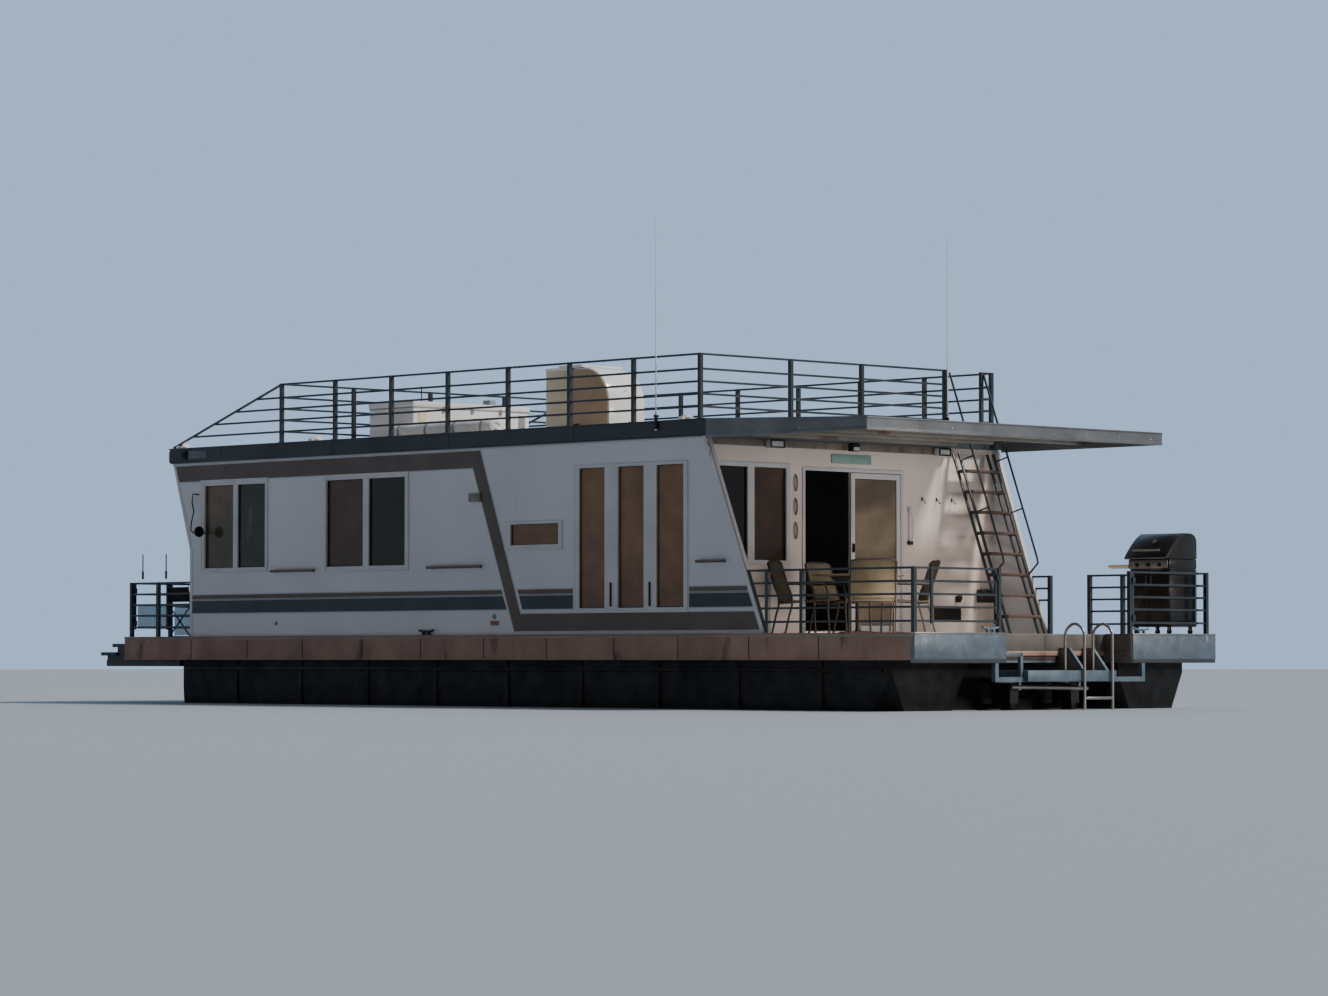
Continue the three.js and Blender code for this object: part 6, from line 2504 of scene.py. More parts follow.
@dataclass
class Rails:
    """Railings of the roof, the porch and the bow, with their feet, sheets and rod holders."""

    foot: float = 0.05
    roof_posts: tuple[float, ...] = (3.65, 4.84, 6.02, 7.19, 8.37, 9.51, 10.68, 11.825)
    rail_y: float = 2.69
    roof_height: float = 0.815
    rod_stations: tuple[float, float] = (14.425, 14.965)
    return_y: float = -2.48

    def build(self) -> None:
        """Dresses each rail, then adds the feet, the sheets and the roof rail's return."""
        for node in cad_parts:
            if "_rail_" in node or node.startswith(("stern_gate", "gate_post", "bow_gate")):
                dress_node(node, RAIL_PAINT)
        self.add_feet()
        self.add_bow_panels()
        self.add_roof_return()

    def foot_plate(self, x: float, y: float, z: float) -> bpy.types.Object:
        """A square foot plate under a post.

        Args:
            x: The post's X.
            y: The post's Y.
            z: The floor's height.

        Returns:
            The foot.
        """
        return block(
            "foot", (x - self.foot, y - self.foot, z), (x + self.foot, y + self.foot, z + 0.008), 0.002
        )

    def add_feet(self) -> None:
        """Feet under the posts of the roof and the porch."""
        for side in Side:
            way = side.value
            near, far = way * 2.63, way * 2.715
            feet = [
                block(
                    "foot",
                    (at(s) - self.foot, near, ROOF_Z),
                    (at(s) + self.foot, far, ROOF_Z + 0.012),
                    0.002,
                )
                for s in self.roof_posts
            ]
            dress(joined(f"roof_post_feet_{side.label}", feet), RAIL_PAINT)
        places = ((1.895, 1), (2.474, 1), (1.43, -1), (1.98, -1), (14.56, 1), (14.56, -1), (2.652, -1))
        porch = [self.foot_plate(at(s), way * self.rail_y, DECK_Z) for s, way in places]
        dress(joined("deck_post_feet", porch), RAIL_PAINT)

    def add_bow_panels(self) -> None:
        """Sea-green sheets in the lower half of the bow gate and the front rail, and two rod holders."""
        x = at(BOW_RAIL) - 0.018
        low, high = DECK_Z + 0.03, DECK_Z + 0.47
        fixed = [
            block("sheet", (x - 0.003, a, low), (x + 0.003, b, high), 0.001)
            for a, b in ((0.94, 1.95), (-0.26, 0.86), (-1.46, -0.34), (-2.64, -1.54))
        ]
        dress(joined("bow_rail_sheets", fixed), ACRYLIC)
        gate = block("bow_gate_sheet", (x - 0.003, 2.10, DECK_Z + 0.12), (x + 0.003, 2.60, high), 0.001)
        dress(gate, ACRYLIC, "gate_bow")
        y = self.rail_y - 0.03
        rods = [
            tube("rod", [(at(s), y, DECK_Z + 0.86), (at(s), y, DECK_Z + 1.17)], 0.009, 8)
            for s in self.rod_stations
        ]
        holders = [
            tube("holder", [(at(s), y, DECK_Z + 0.82), (at(s), y, DECK_Z + 0.93)], 0.016, 10)
            for s in self.rod_stations
        ]
        dress(joined("rod_holders", [*rods, *holders]), RAIL_PAINT)

    def add_roof_return(self) -> None:
        """The roof rail's return on the starboard side of the stairs' opening."""
        x = at(3.65)
        y = self.return_y
        post = square_tube("post", (x, y, ROOF_Z), (x, y, ROOF_Z + self.roof_height), 0.05)
        rails = [
            square_tube("rail", (x, y, ROOF_Z + z), (x, -2.65, ROOF_Z + z), 0.026)
            for z in (0.155, 0.31, 0.465, 0.62, self.roof_height - 0.013)
        ]
        dress(joined("roof_rail_return", [post, *rails]), RAIL_PAINT)


@dataclass
class Stairs:
    """Steep stairs beside the starboard wing: double stringers, timber treads and handrails."""

    foot: float = 2.62
    inside: float = -1.83
    outside: float = -2.495
    slope: float = 0.377
    treads: int = 9
    first: float = 0.26
    rise: float = 0.27
    stringer_gap: float = 0.104
    rail_offset: float = 0.295
    rail_low: float = 0.955
    stay_height: float = 1.65

    def on_line(self, height: float, offset: float = 0.0) -> float:
        """X on the stairs' line at a height above the deck, offset to the stern.

        Args:
            height: A height above the deck.
            offset: How far to the stern.

        Returns:
            X on the line.
        """
        return at(self.foot) + height * self.slope - offset

    def build(self) -> None:
        """Builds the stairs in place of their CAD node."""
        full = WALL_TOP - DECK_Z - 0.065
        parts = []
        for y in (self.inside, self.outside):
            parts += [painted(part, RAIL_PAINT) for part in self.side_frame(y, full)]
        for k in range(self.treads):
            height = self.first + k * self.rise
            if height < full:
                parts += self.tread(height)
        dress(joined("porch_stair_flight", parts), None, stands_for=["porch_stairs"])
        self.add_upper_handrails(full)

    def side_frame(self, y: float, full: float) -> list[bpy.types.Object]:
        """One side of the stairs: two stringers with their links, a foot, a handrail and its stays.

        Args:
            y: The side's place to port.
            full: The stairs' height above the deck.

        Returns:
            The side's pieces.
        """
        half_gap = self.stringer_gap / 2
        parts = []
        for offset in (half_gap, -half_gap):
            foot, head = [(self.on_line(h, offset), y, DECK_Z + h) for h in (0.0, full)]
            parts.append(square_tube("stringer", foot, head, 0.03))
        for k in range(self.treads):
            height = self.first + k * self.rise - 0.02
            if height < full - 0.02:
                aft, fore = [(self.on_line(height, o), y, DECK_Z + height) for o in (half_gap, -half_gap)]
                parts.append(square_tube("link", aft, fore, 0.022))
        x = at(self.foot)
        parts.append(block("foot", (x - 0.10, y - 0.04, DECK_Z), (x + 0.10, y + 0.04, DECK_Z + 0.008)))
        low = self.rail_low
        knots = (
            (low - 0.18, half_gap),
            (low - 0.02, self.rail_offset - 0.01),
            (low + 0.06, self.rail_offset),
            (full, self.rail_offset),
        )
        route = [(self.on_line(h, offset), y, DECK_Z + h) for h, offset in knots]
        parts.append(tube("handrail", route, 0.014, 10))
        for height in (self.stay_height, full - 0.04):
            knots = ((height, self.rail_offset), (height - 0.06, half_gap))
            stay = [(self.on_line(h, offset), y, DECK_Z + h) for h, offset in knots]
            parts.append(tube("stay", stay, 0.011, 8))
        return parts

    def tread(self, height: float) -> list[bpy.types.Object]:
        """A timber tread on two cleats.

        Args:
            height: Its top's height above the deck.

        Returns:
            The tread, then its cleats.
        """
        x, z = self.on_line(height), DECK_Z + height
        near, far = (x - 0.10, self.outside + 0.016, z - 0.036), (x + 0.075, self.inside - 0.016, z)
        parts = [block("tread", near, far, 0.006, finish=REDWOOD)]
        for y in (self.inside - 0.03, self.outside + 0.03):
            near, far = (x - 0.07, y - 0.012, z - 0.046), (x + 0.05, y + 0.012, z - 0.034)
            parts.append(block("cleat", near, far, 0.002, finish=RAIL_PAINT))
        return parts

    def add_upper_handrails(self, full: float) -> None:
        """Handrails that rise through the hatch to the top of the roof rail.

        Args:
            full: The stairs' height above the deck.
        """
        parts = []
        for y in (self.inside, self.outside):
            start = (self.on_line(full, self.rail_offset), y, DECK_Z + full)
            through = (at(3.34), y, ROOF_Z + 0.03)
            stop = (at(3.62), y, ROOF_Z + 0.775)
            parts.append(tube("rail", [start, through, stop], 0.015, 10))
        dress(joined("stair_upper_handrails", parts), RAIL_PAINT)


@dataclass
class SwimGear:
    """The step frame at the stern and the boarding ladder."""

    ladder_ys: tuple[float, float] = (-0.155, -0.675)
    tube_radius: float = 0.018
    outer: float = -0.09
    inner: float = 0.218

    def build(self) -> None:
        """Dresses the frame, adds its fittings, and builds the ladder."""
        dress_node("swim_platform", WET_STEEL)
        self.build_ladder()
        self.add_frame_fittings()

    def build_ladder(self) -> None:
        """Two stainless hoops with their rungs, straps and feet."""
        top = above(1.04)
        bottom = 0.18
        step = above(0.47)
        parts = []
        outer, inner = at(self.outer), at(self.inner)
        bend = [
            (outer, top - 0.20), (outer + 0.012, top - 0.10), (outer + 0.07, top - 0.03),
            (at((self.outer + self.inner) / 2), top), (inner - 0.07, top - 0.03),
            (inner - 0.012, top - 0.10), (inner, top - 0.20),
        ]
        flange = [(0, 0), (0, 0.045), (0.008, 0.043), (0.012, 0.022), (0.012, 0)]
        for y in self.ladder_ys:
            parts.append(
                tube("hoop", [(x, y, z) for x, z in bend], self.tube_radius, 16, smooth_route=True)
            )
            parts.append(tube("leg", [(outer, y, bottom), (outer, y, top - 0.19)], self.tube_radius, 16))
            parts.append(
                tube("inner_leg", [(inner, y, step), (inner, y, top - 0.19)], self.tube_radius, 16)
            )
            parts.append(spun("flange", flange, (inner, y, step), UP, 20))
        port, starboard = self.ladder_ys
        for z in (above(0.14), bottom + 0.06):
            parts.append(tube("rung", [(outer, starboard, z), (outer, port, z)], 0.016, 12))
            near, far = (outer - 0.018, starboard + 0.03, z - 0.008), (outer + 0.045, port - 0.03, z + 0.02)
            parts.append(block("tread", near, far, 0.006))
        for part in parts:
            painted(part, STAINLESS)
        dress(joined("boarding_ladder", parts), None, stands_for=["swim_ladder"])

    def add_frame_fittings(self) -> None:
        """Step boards, the hanger tube with its rung, and the shining bar below."""
        plates = [
            block("plate", (at(-0.062), a, above(0.47)), (at(0.445), b, above(0.478)), 0.003)
            for a, b in ((-0.782, -0.24), (-0.235, 0.29), (0.295, 0.842))
        ]
        face = block("face", (at(-0.063), -0.784, above(0.345)), (at(-0.058), 0.844, above(0.478)), 0.002)
        dress(joined("step_plates", [*plates, face]), WET_STEEL)
        for k, y in enumerate((-0.32, -0.755)):
            web = ((0.449, 0.47), (0.449, 0.752), (0.352, 0.752), (0.115, 0.47))
            outline = [(at(s), y - 0.023, above(h)) for s, h in web]
            rib = slab(f"step_rib_{k + 1}", outline, (0, 0.046, 0), 0.003)
            dress(rib, RECESS_PLATE)
        bar = tube("bar", [(at(0.30), -0.65, above(0.26)), (at(0.30), 0.75, above(0.28))], 0.030, 16)
        brackets = [
            block("bracket", (at(0.28), y - 0.02, above(0.24)), (at(0.32), y + 0.02, above(0.40)), 0.004)
            for y in (-0.50, 0.60)
        ]
        dress(joined("step_lower_bar", [bar, *brackets]), STAINLESS)
        hanger = [
            square_tube("leg", (at(0.035), 0.87, above(0.40)), (at(0.035), 0.87, above(0.69)), 0.05),
            square_tube("arm", (at(0.035), 0.87, above(0.665)), (at(0.035), 1.17, above(0.665)), 0.05),
        ]
        dress(joined("step_hanger", hanger), WET_STEEL)


@dataclass
class Drives:
    """The engines, the drive legs and their propellers."""

    axis_y: float = 0.56
    shaft_z: float = 0.27

    def build(self) -> None:
        """Dresses the drives and adds their covers, anodes and hub nuts."""
        for side in Side:
            dress_node(f"engine_{side.label}", DRIVE_PAINT)
            dress_node(f"drive_{side.label}", DRIVE_PAINT)
            dress_node(f"propeller_{side.label}", STAINLESS)
            self.add_leg_cover(side)
            self.add_hub_nut(side)

    def add_leg_cover(self, side: Side) -> None:
        """The rounded cover over a leg's head, and the zinc below its plate.

        Args:
            side: The side of the boat.
        """
        y = side.value * self.axis_y
        near, far = (at(0.415), y - 0.072, 0.60), (at(0.635), y + 0.072, 0.835)
        cover = block("cover", near, far, 0.03, finish=DRIVE_PAINT)
        side_view = ((0.46, 0.47), (0.60, 0.47), (0.62, 0.62), (0.43, 0.62))
        outline = [(at(s), y - 0.036, z) for s, z in side_view]
        fairing = slab("fairing", outline, (0, 0.072, 0), 0.02, finish=DRIVE_PAINT)
        near, far = (at(0.30), y - 0.03, 0.437), (at(0.40), y + 0.03, 0.455)
        zinc = block("zinc", near, far, 0.006, finish=GALVANISED)
        parts = [cover, fairing, zinc]
        dress(joined(f"drive_cover_{side.label}", parts), None, f"drive_leg_{side.label}")

    def add_hub_nut(self, side: Side) -> None:
        """The nut and cone on a propeller's end.

        Args:
            side: The side of the boat.
        """
        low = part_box(f"propeller_{side.label}")[0]
        place = (low.x, side.value * self.axis_y, self.shaft_z)
        profile = [(0.01, 0.0), (0.0, 0.035), (-0.015, 0.034), (-0.02, 0.02), (-0.045, 0.014), (-0.05, 0.0)]
        nut = spun(f"hub_nut_{side.label}", profile, place, ALONG, 12)
        dress(nut, STAINLESS, f"wheel_{side.label}")


@dataclass
class Grill:
    """The gas grill on its cart, its front to port and its lid hinged along its back."""

    stations: tuple[float, float] = (0.145, 0.79)
    back: float = -2.59
    front: float = -2.06
    cart_top: float = 0.80
    bowl_top: float = 0.94
    lid_front: float = -1.98

    def build(self) -> None:
        """Builds the cart, then its lid."""
        self.build_cart()
        self.build_lid()

    def build_cart(self) -> None:
        """The cart with its doors, casters, bowl, knobs and side shelf."""
        x0, x1 = at(self.stations[0]), at(self.stations[1])
        z = DECK_Z
        parts = [
            block("body", (x0, self.back, z + 0.095), (x1, self.front - 0.012, z + self.cart_top), 0.008)
        ]
        middle = (x0 + x1) / 2
        for a, b in ((x0 + 0.012, middle - 0.003), (middle + 0.003, x1 - 0.012)):
            parts.append(
                block(
                    "door",
                    (a, self.front - 0.014, z + 0.125),
                    (b, self.front, z + self.cart_top - 0.02),
                    0.004,
                )
            )
        near = (x0 - 0.004, self.back, z + self.cart_top + 0.02)
        parts.append(block("bowl", near, (x1 + 0.014, self.front + 0.012, z + self.bowl_top), 0.015))
        upper, lower = self.cart_top + 0.03, self.cart_top - 0.005
        end_view = (
            (self.back + 0.004, upper),
            (self.front, upper),
            (self.front - 0.02, lower),
            (self.back + 0.02, lower),
        )
        parts.append(slab("bowl_foot", [(x0, y, z + h) for y, h in end_view], (x1 - x0, 0, 0), 0.004))
        for piece in parts:
            painted(piece, BLACK_ENAMEL)
        pulls = []
        for x in (middle - 0.04, middle + 0.04):
            knots = ((-0.004, 0.62), (0.022, 0.63), (0.022, 0.73), (-0.004, 0.74))
            pulls.append(tube("pull", [(x, self.front + y, z + h) for y, h in knots], 0.006, 8))
        panel = block(
            "panel",
            (x0 + 0.02, self.front + 0.008, z + 0.825),
            (x1 - 0.005, self.front + 0.024, z + 0.93),
            0.004,
        )
        for piece in (*pulls, panel):
            painted(piece, GRILL_STEEL)
        profile = [(0, 0), (0, 0.026), (0.012, 0.024), (0.026, 0.019), (0.028, 0)]
        knobs = [
            spun(
                "knob",
                profile,
                (middle + s, self.front + 0.024, z + 0.868),
                TO_PORT,
                18,
                finish=BLACK_PLASTIC,
            )
            for s in (-0.18, 0.0, 0.18)
        ]
        near, far = (x1 + 0.02, self.back + 0.06, z + 0.838), (x1 + 0.352, self.front, z + 0.878)
        shelf = [block("board", near, far, 0.006, finish=TAN_BOARD_AND_BOUNCE)]
        for a, b in ((self.back + 0.10, self.back + 0.12), (self.front - 0.05, self.front - 0.03)):
            near, far = (x1 - 0.005, a, z + 0.832), (x1 + 0.33, b, z + 0.85)
            shelf.append(block("arm", near, far, 0.003, finish=BLACK_ENAMEL))
        casters = []
        for x in (x0 + 0.06, x1 - 0.06):
            for y in (self.back + 0.06, self.front - 0.06):
                casters += self.caster(x, y)
        cart = joined("grill_on_casters", [*parts, *pulls, panel, *knobs, *shelf, *casters])
        dress(cart, None, stands_for=["grill_cart"])

    def caster(self, x: float, y: float) -> list[bpy.types.Object]:
        """A caster under the cart: its wheel between two fork plates.

        Args:
            x: Its place forward.
            y: Its place to port.

        Returns:
            The wheel, then the plates.
        """
        hub = DECK_Z + 0.035
        profile = [(-0.014, 0), (-0.014, 0.03), (-0.010, 0.035), (0.010, 0.035), (0.014, 0.03), (0.014, 0)]
        parts = [spun("wheel", profile, (x, y, hub), TO_PORT, 20, finish=SEAL_RUBBER)]
        corners = ((-0.014, hub), (0.014, hub), (0.02, DECK_Z + 0.098), (-0.02, DECK_Z + 0.098))
        for aside in (-0.02, 0.016):
            outline = [(x + u, y + aside, z) for u, z in corners]
            parts.append(slab("fork", outline, (0, 0.004, 0), 0.001, finish=GRILL_STEEL))
        return parts

    def build_lid(self) -> None:
        """The rounded lid with its handle, its bright rim and its hinges."""
        x0, x1 = at(self.stations[0]) - 0.01, at(self.stations[1]) + 0.025
        z = DECK_Z + self.bowl_top
        back = self.back + 0.006
        front = self.lid_front
        arc = [(back, z + 0.001), (front, z + 0.001), (front, z + 0.025)]
        arc += curve_between((front, z + 0.025), (front - 0.19, z + 0.27), (front - 0.33, z + 0.325), 8)
        arc.append((self.back + 0.13, z + 0.325))
        arc += curve_between((self.back + 0.13, z + 0.325), (back, z + 0.31), (back, z + 0.20), 6)
        shell = slab("shell", [(x0, y, h) for y, h in arc], (x1 - x0, 0, 0), 0.008, finish=BLACK_ENAMEL)
        rim = block(
            "rim", (x0 + 0.01, front - 0.003, z + 0.006), (x1 - 0.01, front + 0.002, z + 0.02), 0.001,
            finish=GRILL_STEEL,
        )
        y, h = front - 0.005, z + 0.11
        a, b = x0 + 0.13, x1 - 0.16
        handle = tube("handle", [(a - 0.02, y, h), (b + 0.02, y, h)], 0.013, 14, finish=GRILL_STEEL)
        posts = [
            tube("post", [(x, y, h), (x, y - 0.10, h - 0.035)], 0.008, 10, finish=BLACK_ENAMEL)
            for x in (a, b)
        ]
        dial = [(0, 0), (0, 0.032), (0.008, 0.030), (0.010, 0)]
        place = ((a + b) / 2, front - 0.165, z + 0.225)
        gauge = spun("gauge", dial, place, (0, 0.72, 0.69), 20, finish=GRILL_STEEL)
        hinges = []
        for x in (x0 + 0.12, x1 - 0.12):
            barrel = [(x + end, self.back - 0.012, z + 0.016) for end in (-0.03, 0.03)]
            hinges.append(tube("barrel", barrel, 0.010, 12))
            near, far = (x - 0.03, self.back - 0.010, z + 0.012), (x + 0.03, self.back + 0.02, z + 0.020)
            hinges.append(block("leaf", near, far, 0.002))
        for piece in hinges:
            painted(piece, GRILL_STEEL)
        dress(
            joined("grill_hood", [shell, rim, handle, *posts, gauge, *hinges]),
            None,
            "lid",
            ["grill_lid"],
        )


@dataclass(frozen=True)
class ChairRow:
    """A sling chair on the porch: its CAD node's name, its place, and the way it faces from +X to +Y."""

    name: str
    station: float
    y: float
    turn_deg: float


CHAIR_ROWS = (
    ChairRow("near", 1.19, 2.20, -44.0),
    ChairRow("forward", 2.70, 2.18, -118.0),
    ChairRow("wall", 2.96, 1.18, 190.0),
    ChairRow("aft", 1.48, 0.976, 55.0),
)


@dataclass
class PorchFurniture:
    """Four sling chairs round a table, and the folding chair on the bow deck."""

    half: float = 0.27
    tube_radius: float = 0.0135
    table_place: tuple[float, float] = (2.00, 1.61)
    table_radius: float = 0.56
    table_height: float = 0.72

    def build(self) -> None:
        """Builds the chairs and the table."""
        for row in CHAIR_ROWS:
            chair = moved(self.sling_chair(), (at(row.station), row.y, DECK_Z), row.turn_deg)
            chair.name = f"sling_chair_{row.name}"
            dress(chair, None, stands_for=[f"porch_chair_{row.name}"])
        self.build_table()
        self.build_bow_chair()

    def sling_chair(self) -> bpy.types.Object:
        """A chair that faces +X about the origin: bent tube sides, cross tubes, and one sling.

        Returns:
            The chair.
        """
        tubes = []
        shoe = [(0, 0), (0, 0.019), (0.022, 0.018), (0.024, 0)]
        for y in (-self.half, self.half):
            rear = [
                (-0.07, y, 0.0), (-0.025, y, 0.20), (0.018, y, 0.40), (-0.05, y, 0.62), (-0.125, y, 0.86)
            ]
            tubes.append(tube("upright", rear, self.tube_radius, 12, smooth_route=True))
            arm = [
                (0.49, y, 0.0), (0.472, y, 0.30), (0.455, y, 0.56), (0.42, y, 0.605), (0.30, y, 0.612),
                (-0.045, y, 0.608),
            ]
            tubes.append(tube("arm", arm, self.tube_radius, 12, smooth_route=True))
            seat_side = [(0.015, y, 0.395), (0.24, y, 0.392), (0.462, y, 0.42)]
            tubes.append(tube("seat_side", seat_side, self.tube_radius, 12, smooth_route=True))
            for x in (-0.07, 0.49):
                tubes.append(spun("shoe", shoe, (x, y, 0.0), UP, 12))
        y = self.half
        top = [
            (-0.125, -y, 0.858), (-0.135, -y * 0.7, 0.880), (-0.138, 0, 0.882), (-0.135, y * 0.7, 0.880),
            (-0.125, y, 0.858),
        ]
        tubes.append(tube("top", top, self.tube_radius, 12, smooth_route=True))
        for x, z in ((0.44, 0.395), (0.03, 0.375)):
            tubes.append(tube("cross", [(x, -y, z), (x, y, z)], 0.010, 10))
        for piece in tubes:
            painted(piece, CHAIR_TUBE)
        seat = [(0.012, 0.408), (0.10, 0.392), (0.24, 0.388), (0.38, 0.402), (0.465, 0.432)]
        back = [(0.022, 0.41), (-0.020, 0.54), (-0.058, 0.66), (-0.092, 0.77), (-0.126, 0.872)]
        slings = []
        for line, thick in ((seat, (0.0, 0.006)), (back, (0.006, 0.0))):
            far = [(x + thick[0], z + thick[1]) for x, z in reversed(line)]
            slings.append(
                slab(
                    "sling", [(x, -y + 0.012, z) for x, z in [*line, *far]], (0, 2 * y - 0.024, 0), 0.0015
                )
            )
        for piece in slings:
            painted(piece, SLING)
        pads = [
            block(
                "pad", (0.05, side - 0.020, 0.616), (0.40, side + 0.020, 0.632), 0.008, finish=CHAIR_TUBE
            )
            for side in (-y, y)
        ]
        return joined("sling_chair", [*tubes, *slings, *pads])

    def build_table(self) -> None:
        """A round table: a rimmed top, an apron, a stem and a domed base."""
        centre = (at(self.table_place[0]), self.table_place[1], DECK_Z)
        top, reach = self.table_height, self.table_radius
        plate = [
            (top - 0.022, 0), (top - 0.022, reach - 0.03), (top - 0.018, reach - 0.004),
            (top - 0.010, reach), (top - 0.002, reach - 0.006), (top, reach - 0.03),
            (top - 0.003, reach - 0.045), (top - 0.003, 0),
        ]
        apron = [
            (top - 0.06, 0), (top - 0.06, 0.318), (top - 0.05, 0.33), (top - 0.02, 0.33), (top - 0.02, 0)
        ]
        stem = [
            (0.02, 0), (0.02, 0.05), (0.06, 0.034), (0.30, 0.030), (0.60, 0.034), (top - 0.05, 0.06),
            (top - 0.05, 0),
        ]
        base = [(0, 0), (0, 0.26), (0.010, 0.262), (0.024, 0.22), (0.034, 0.10), (0.036, 0)]
        parts = [
            spun(name, profile, centre, UP, steps, finish=finish)
            for name, profile, steps, finish in (
                ("top", plate, 48, SLING),
                ("apron", apron, 32, CHAIR_TUBE),
                ("stem", stem, 20, CHAIR_TUBE),
                ("base", base, 32, CHAIR_TUBE),
            )
        ]
        dress(joined("round_table", parts), None, stands_for=["porch_table"])

    def build_bow_chair(self) -> None:
        """A black folding chair that stands open on the bow deck."""
        half, reach = 0.24, 0.21
        parts = []
        for x in (-reach, reach):
            parts.append(tube("leg", [(x, -half, 0.012), (x, half, 0.44)], 0.010, 10))
            parts.append(tube("leg", [(x, half, 0.012), (x, -half, 0.44)], 0.010, 10))
            parts.append(
                spun(
                    "boss",
                    [(-0.016, 0), (-0.016, 0.016), (0.016, 0.016), (0.016, 0)],
                    (x, 0, 0.226),
                    (1, 0, 0),
                    12,
                )
            )
        for y in (-half, half):
            parts.append(tube("seat_rail", [(-reach - 0.02, y, 0.44), (reach + 0.02, y, 0.44)], 0.010, 10))
            parts.append(
                tube("foot_rail", [(-reach - 0.02, y, 0.012), (reach + 0.02, y, 0.012)], 0.010, 10)
            )
            parts.append(tube("post", [(-reach, y, 0.43), (-reach - 0.04, y, 0.72)], 0.010, 10))
        for piece in parts:
            painted(piece, BLACK_PLASTIC)
        sag = [(-half, 0.452), (-half * 0.5, 0.432), (0.0, 0.424), (half * 0.5, 0.432), (half, 0.452)]
        under = [(y, z - 0.005) for y, z in reversed(sag)]
        seat = slab("seat", [(-reach, y, z) for y, z in [*sag, *under]], (2 * reach, 0, 0), 0.001)
        foot, head = -reach - 0.006, -reach - 0.036
        sheet = [(foot, -half, 0.50), (foot, half, 0.50), (head, half, 0.71), (head, -half, 0.71)]
        back = slab("back", sheet, (0.005, 0, 0), 0.001)
        parts += [painted(seat, SEAL_RUBBER), painted(back, SEAL_RUBBER)]
        chair = moved(joined("folding_chair", parts), (at(14.60), 2.07, DECK_Z), -90.0)
        dress(chair, None)


@dataclass
class Inside:
    """What shows through the doors: carpet, lining, ceiling and a curtain."""

    stations: tuple[float, float] = (3.665, 13.74)
    half: float = 2.64

    def build(self) -> None:
        """Lines the cabin."""
        x0, x1 = at(self.stations[0]), at(self.stations[1])
        carpet = block(
            "cabin_carpet", (x0, -self.half, DECK_Z + HAIR), (x1, self.half, DECK_Z + 0.012), 0.003
        )
        dress(carpet, CARPET)
        ceiling = block(
            "cabin_ceiling", (x0, -self.half, WALL_TOP - 0.03), (x1, self.half, WALL_TOP - 0.001), 0.003
        )
        dress(ceiling, BLIND)
        for side in Side:
            y = side.value * 2.648
            low = block(
                "wainscot", (x0, y, DECK_Z + 0.012), (x1, y - side.value * 0.012, above(1.17)), 0.003
            )
            cap = block("cap", (x0, y, above(1.17)), (x1, y - side.value * 0.022, above(1.185)), 0.004)
            dress(joined(f"cabin_wainscot_{side.label}", [low, cap]), LINING)
        folds = []
        for k in range(9):
            y = 0.98 + k * 0.032
            rod, wave = x0 + 0.10, 0.012 if k % 2 else 0.0
            line = [(rod + wave, y, above(1.0)), (rod, y, above(2.2)), (rod + wave, y, above(3.08))]
            folds.append(tube("fold", line, 0.018, 10, smooth_route=True))
        dress(joined("door_curtain", folds), BLIND)


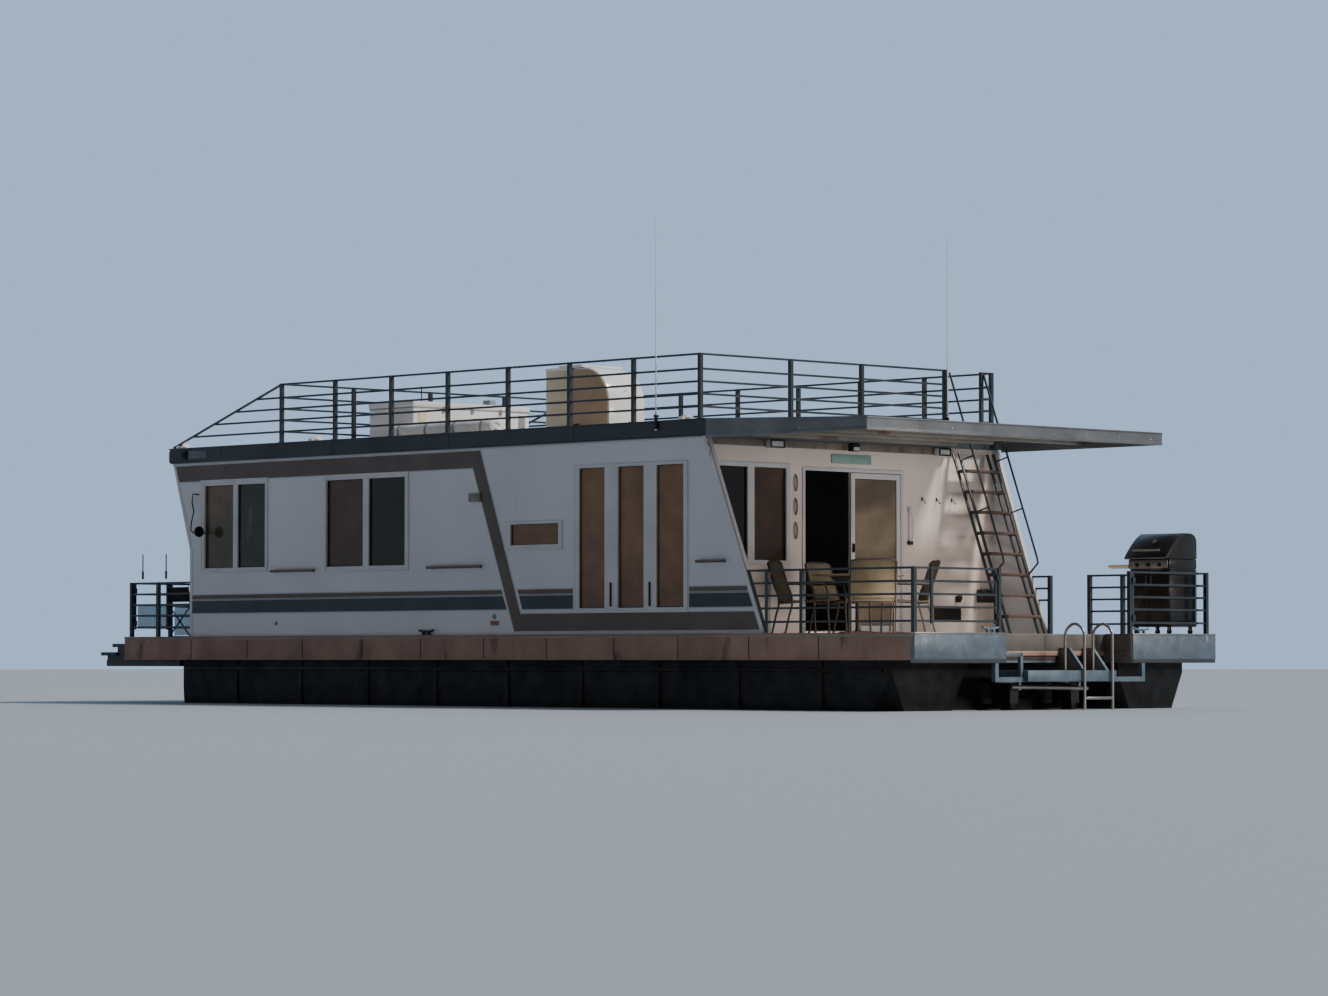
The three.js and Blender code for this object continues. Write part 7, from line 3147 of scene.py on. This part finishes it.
@dataclass
class Studio:
    """The floor at the waterline, the lights and the camera at the photograph's angle."""

    camera_place: tuple[float, float, float] = (-41.509, 39.175, 1.128)
    look_level: tuple[float, float] = (0.7206, -0.6933)
    look_pitch_deg: float = 2.151
    focal_px: float = 4256.7
    image_width: int = 1328
    sensor_mm: float = 36.0
    floor_reach: float = 150.0

    def build(self) -> None:
        """Builds the floor, the lights and the camera."""
        self.build_floor()
        self.build_lights()
        self.build_camera()

    def build_floor(self) -> None:
        """A wide pale floor with its middle under the boat."""
        clear_selection()
        bpy.ops.mesh.primitive_plane_add(size=2 * self.floor_reach, location=(0, 0, WATER_Z))
        floor = bpy.context.active_object
        floor.name = "floor"
        settle(floor)
        pale = bpy.data.materials.new("matt_pale_floor")
        pale.use_nodes = True
        shader = pale.node_tree.nodes["Principled BSDF"]
        shader.inputs["Base Color"].default_value = linear("#9ba5ae")
        shader.inputs["Roughness"].default_value = 0.9
        floor.data.materials.append(pale)

    def build_lights(self) -> None:
        """A warm soft key from astern, a low fill on the porch, the deck's bounce, and a cool sky."""
        self.build_sky()
        clear_selection()
        bpy.ops.object.light_add(type="SUN", location=(-20, -20, 20))
        key = bpy.context.active_object
        key.name = "key_light"
        key.data.energy = 3.4
        key.data.angle = math.radians(10)
        key.data.color = (1.0, 0.93, 0.85)
        key.rotation_mode = "QUATERNION"
        key.rotation_quaternion = Vector((0.56, 0.36, -0.74)).to_track_quat("-Z", "Y")
        self.add_area(
            "porch_fill", Vector((-29.0, -8.5, 5.0)), Vector((24.5, 8.5, -1.8)), (9.0, 2.4), 880.0
        )
        self.add_area(
            "deck_bounce", Vector((at(0.9), 0.1, DECK_Z + 0.06)), Vector((0.75, 0.0, 0.66)), (4.6, 0.9),
            60.0,
        )

    def add_area(
        self, name: str, place: Vector, look: Vector, size: tuple[float, float], watts: float
    ) -> None:
        """Adds one warm rectangular light.

        Args:
            name: The light's name.
            place: Where it stands.
            look: The way in which it shines.
            size: Its width and height.
            watts: Its power.
        """
        clear_selection()
        bpy.ops.object.light_add(type="AREA", location=place)
        light = bpy.context.active_object
        light.name = name
        light.data.shape = "RECTANGLE"
        light.data.size, light.data.size_y = size
        light.data.energy = watts
        light.data.color = (1.0, 0.90, 0.82)
        light.rotation_mode = "QUATERNION"
        light.rotation_quaternion = look.to_track_quat("-Z", "Y")

    def build_sky(self) -> None:
        """A pale sky that is brighter behind the boat than behind the camera."""
        world = bpy.data.worlds.new("pale_sky")
        bpy.context.scene.world = world
        world.use_nodes = True
        tree = world.node_tree
        background = tree.nodes["Background"]
        way = add_node(tree, "ShaderNodeTexCoord").outputs["Generated"]
        ahead = add_node(tree, "ShaderNodeVectorMath", {"operation": "DOT_PRODUCT"}, {"Vector": way})
        ahead.inputs[1].default_value = (*self.look_level, 0.0)
        spread = add_node(
            tree,
            "ShaderNodeMapRange",
            {"From Min": -0.3, "From Max": 0.8, "To Min": 0.20, "To Max": 1.0},
            {"Value": ahead.outputs["Value"]},
        )
        tree.links.new(spread.outputs["Result"], background.inputs["Strength"])
        tint = add_node(
            tree,
            "ShaderNodeMix",
            {"data_type": "RGBA", "A_Color": linear("#d2c6be"), "B_Color": linear("#aecbf0")},
            {"Factor_Float": spread.outputs["Result"]},
        )
        tree.links.new(socket_of(tint.outputs, "Result_Color"), background.inputs["Color"])

    def build_camera(self) -> None:
        """The camera that took the photograph."""
        data = bpy.data.cameras.new("camera")
        data.sensor_width = self.sensor_mm
        data.lens = self.focal_px * self.sensor_mm / self.image_width
        data.clip_end = 500
        camera = bpy.data.objects.new("camera", data)
        bpy.context.scene.collection.objects.link(camera)
        pitch = math.radians(self.look_pitch_deg)
        level = Vector((*self.look_level, 0)).normalized()
        look = level * math.cos(pitch) + Vector((0, 0, math.sin(pitch)))
        camera.location = self.camera_place
        camera.rotation_mode = "QUATERNION"
        camera.rotation_quaternion = look.to_track_quat("-Z", "Y")
        bpy.context.scene.camera = camera


def main() -> None:
    """Builds every sub-assembly in order and reports each."""
    logging.basicConfig(level=logging.INFO, format="%(message)s")
    for part in (
        Studio(), Hull(), CabinTrim(), Windows(), Doors(), Canopy(), Roof(), RoofThings(), Rails(),
        Stairs(), SwimGear(), Drives(), Grill(), PorchFurniture(), Inside(),
    ):
        part.build()
        log.info("built %s", type(part).__name__)


if __name__ == "__main__":
    main()
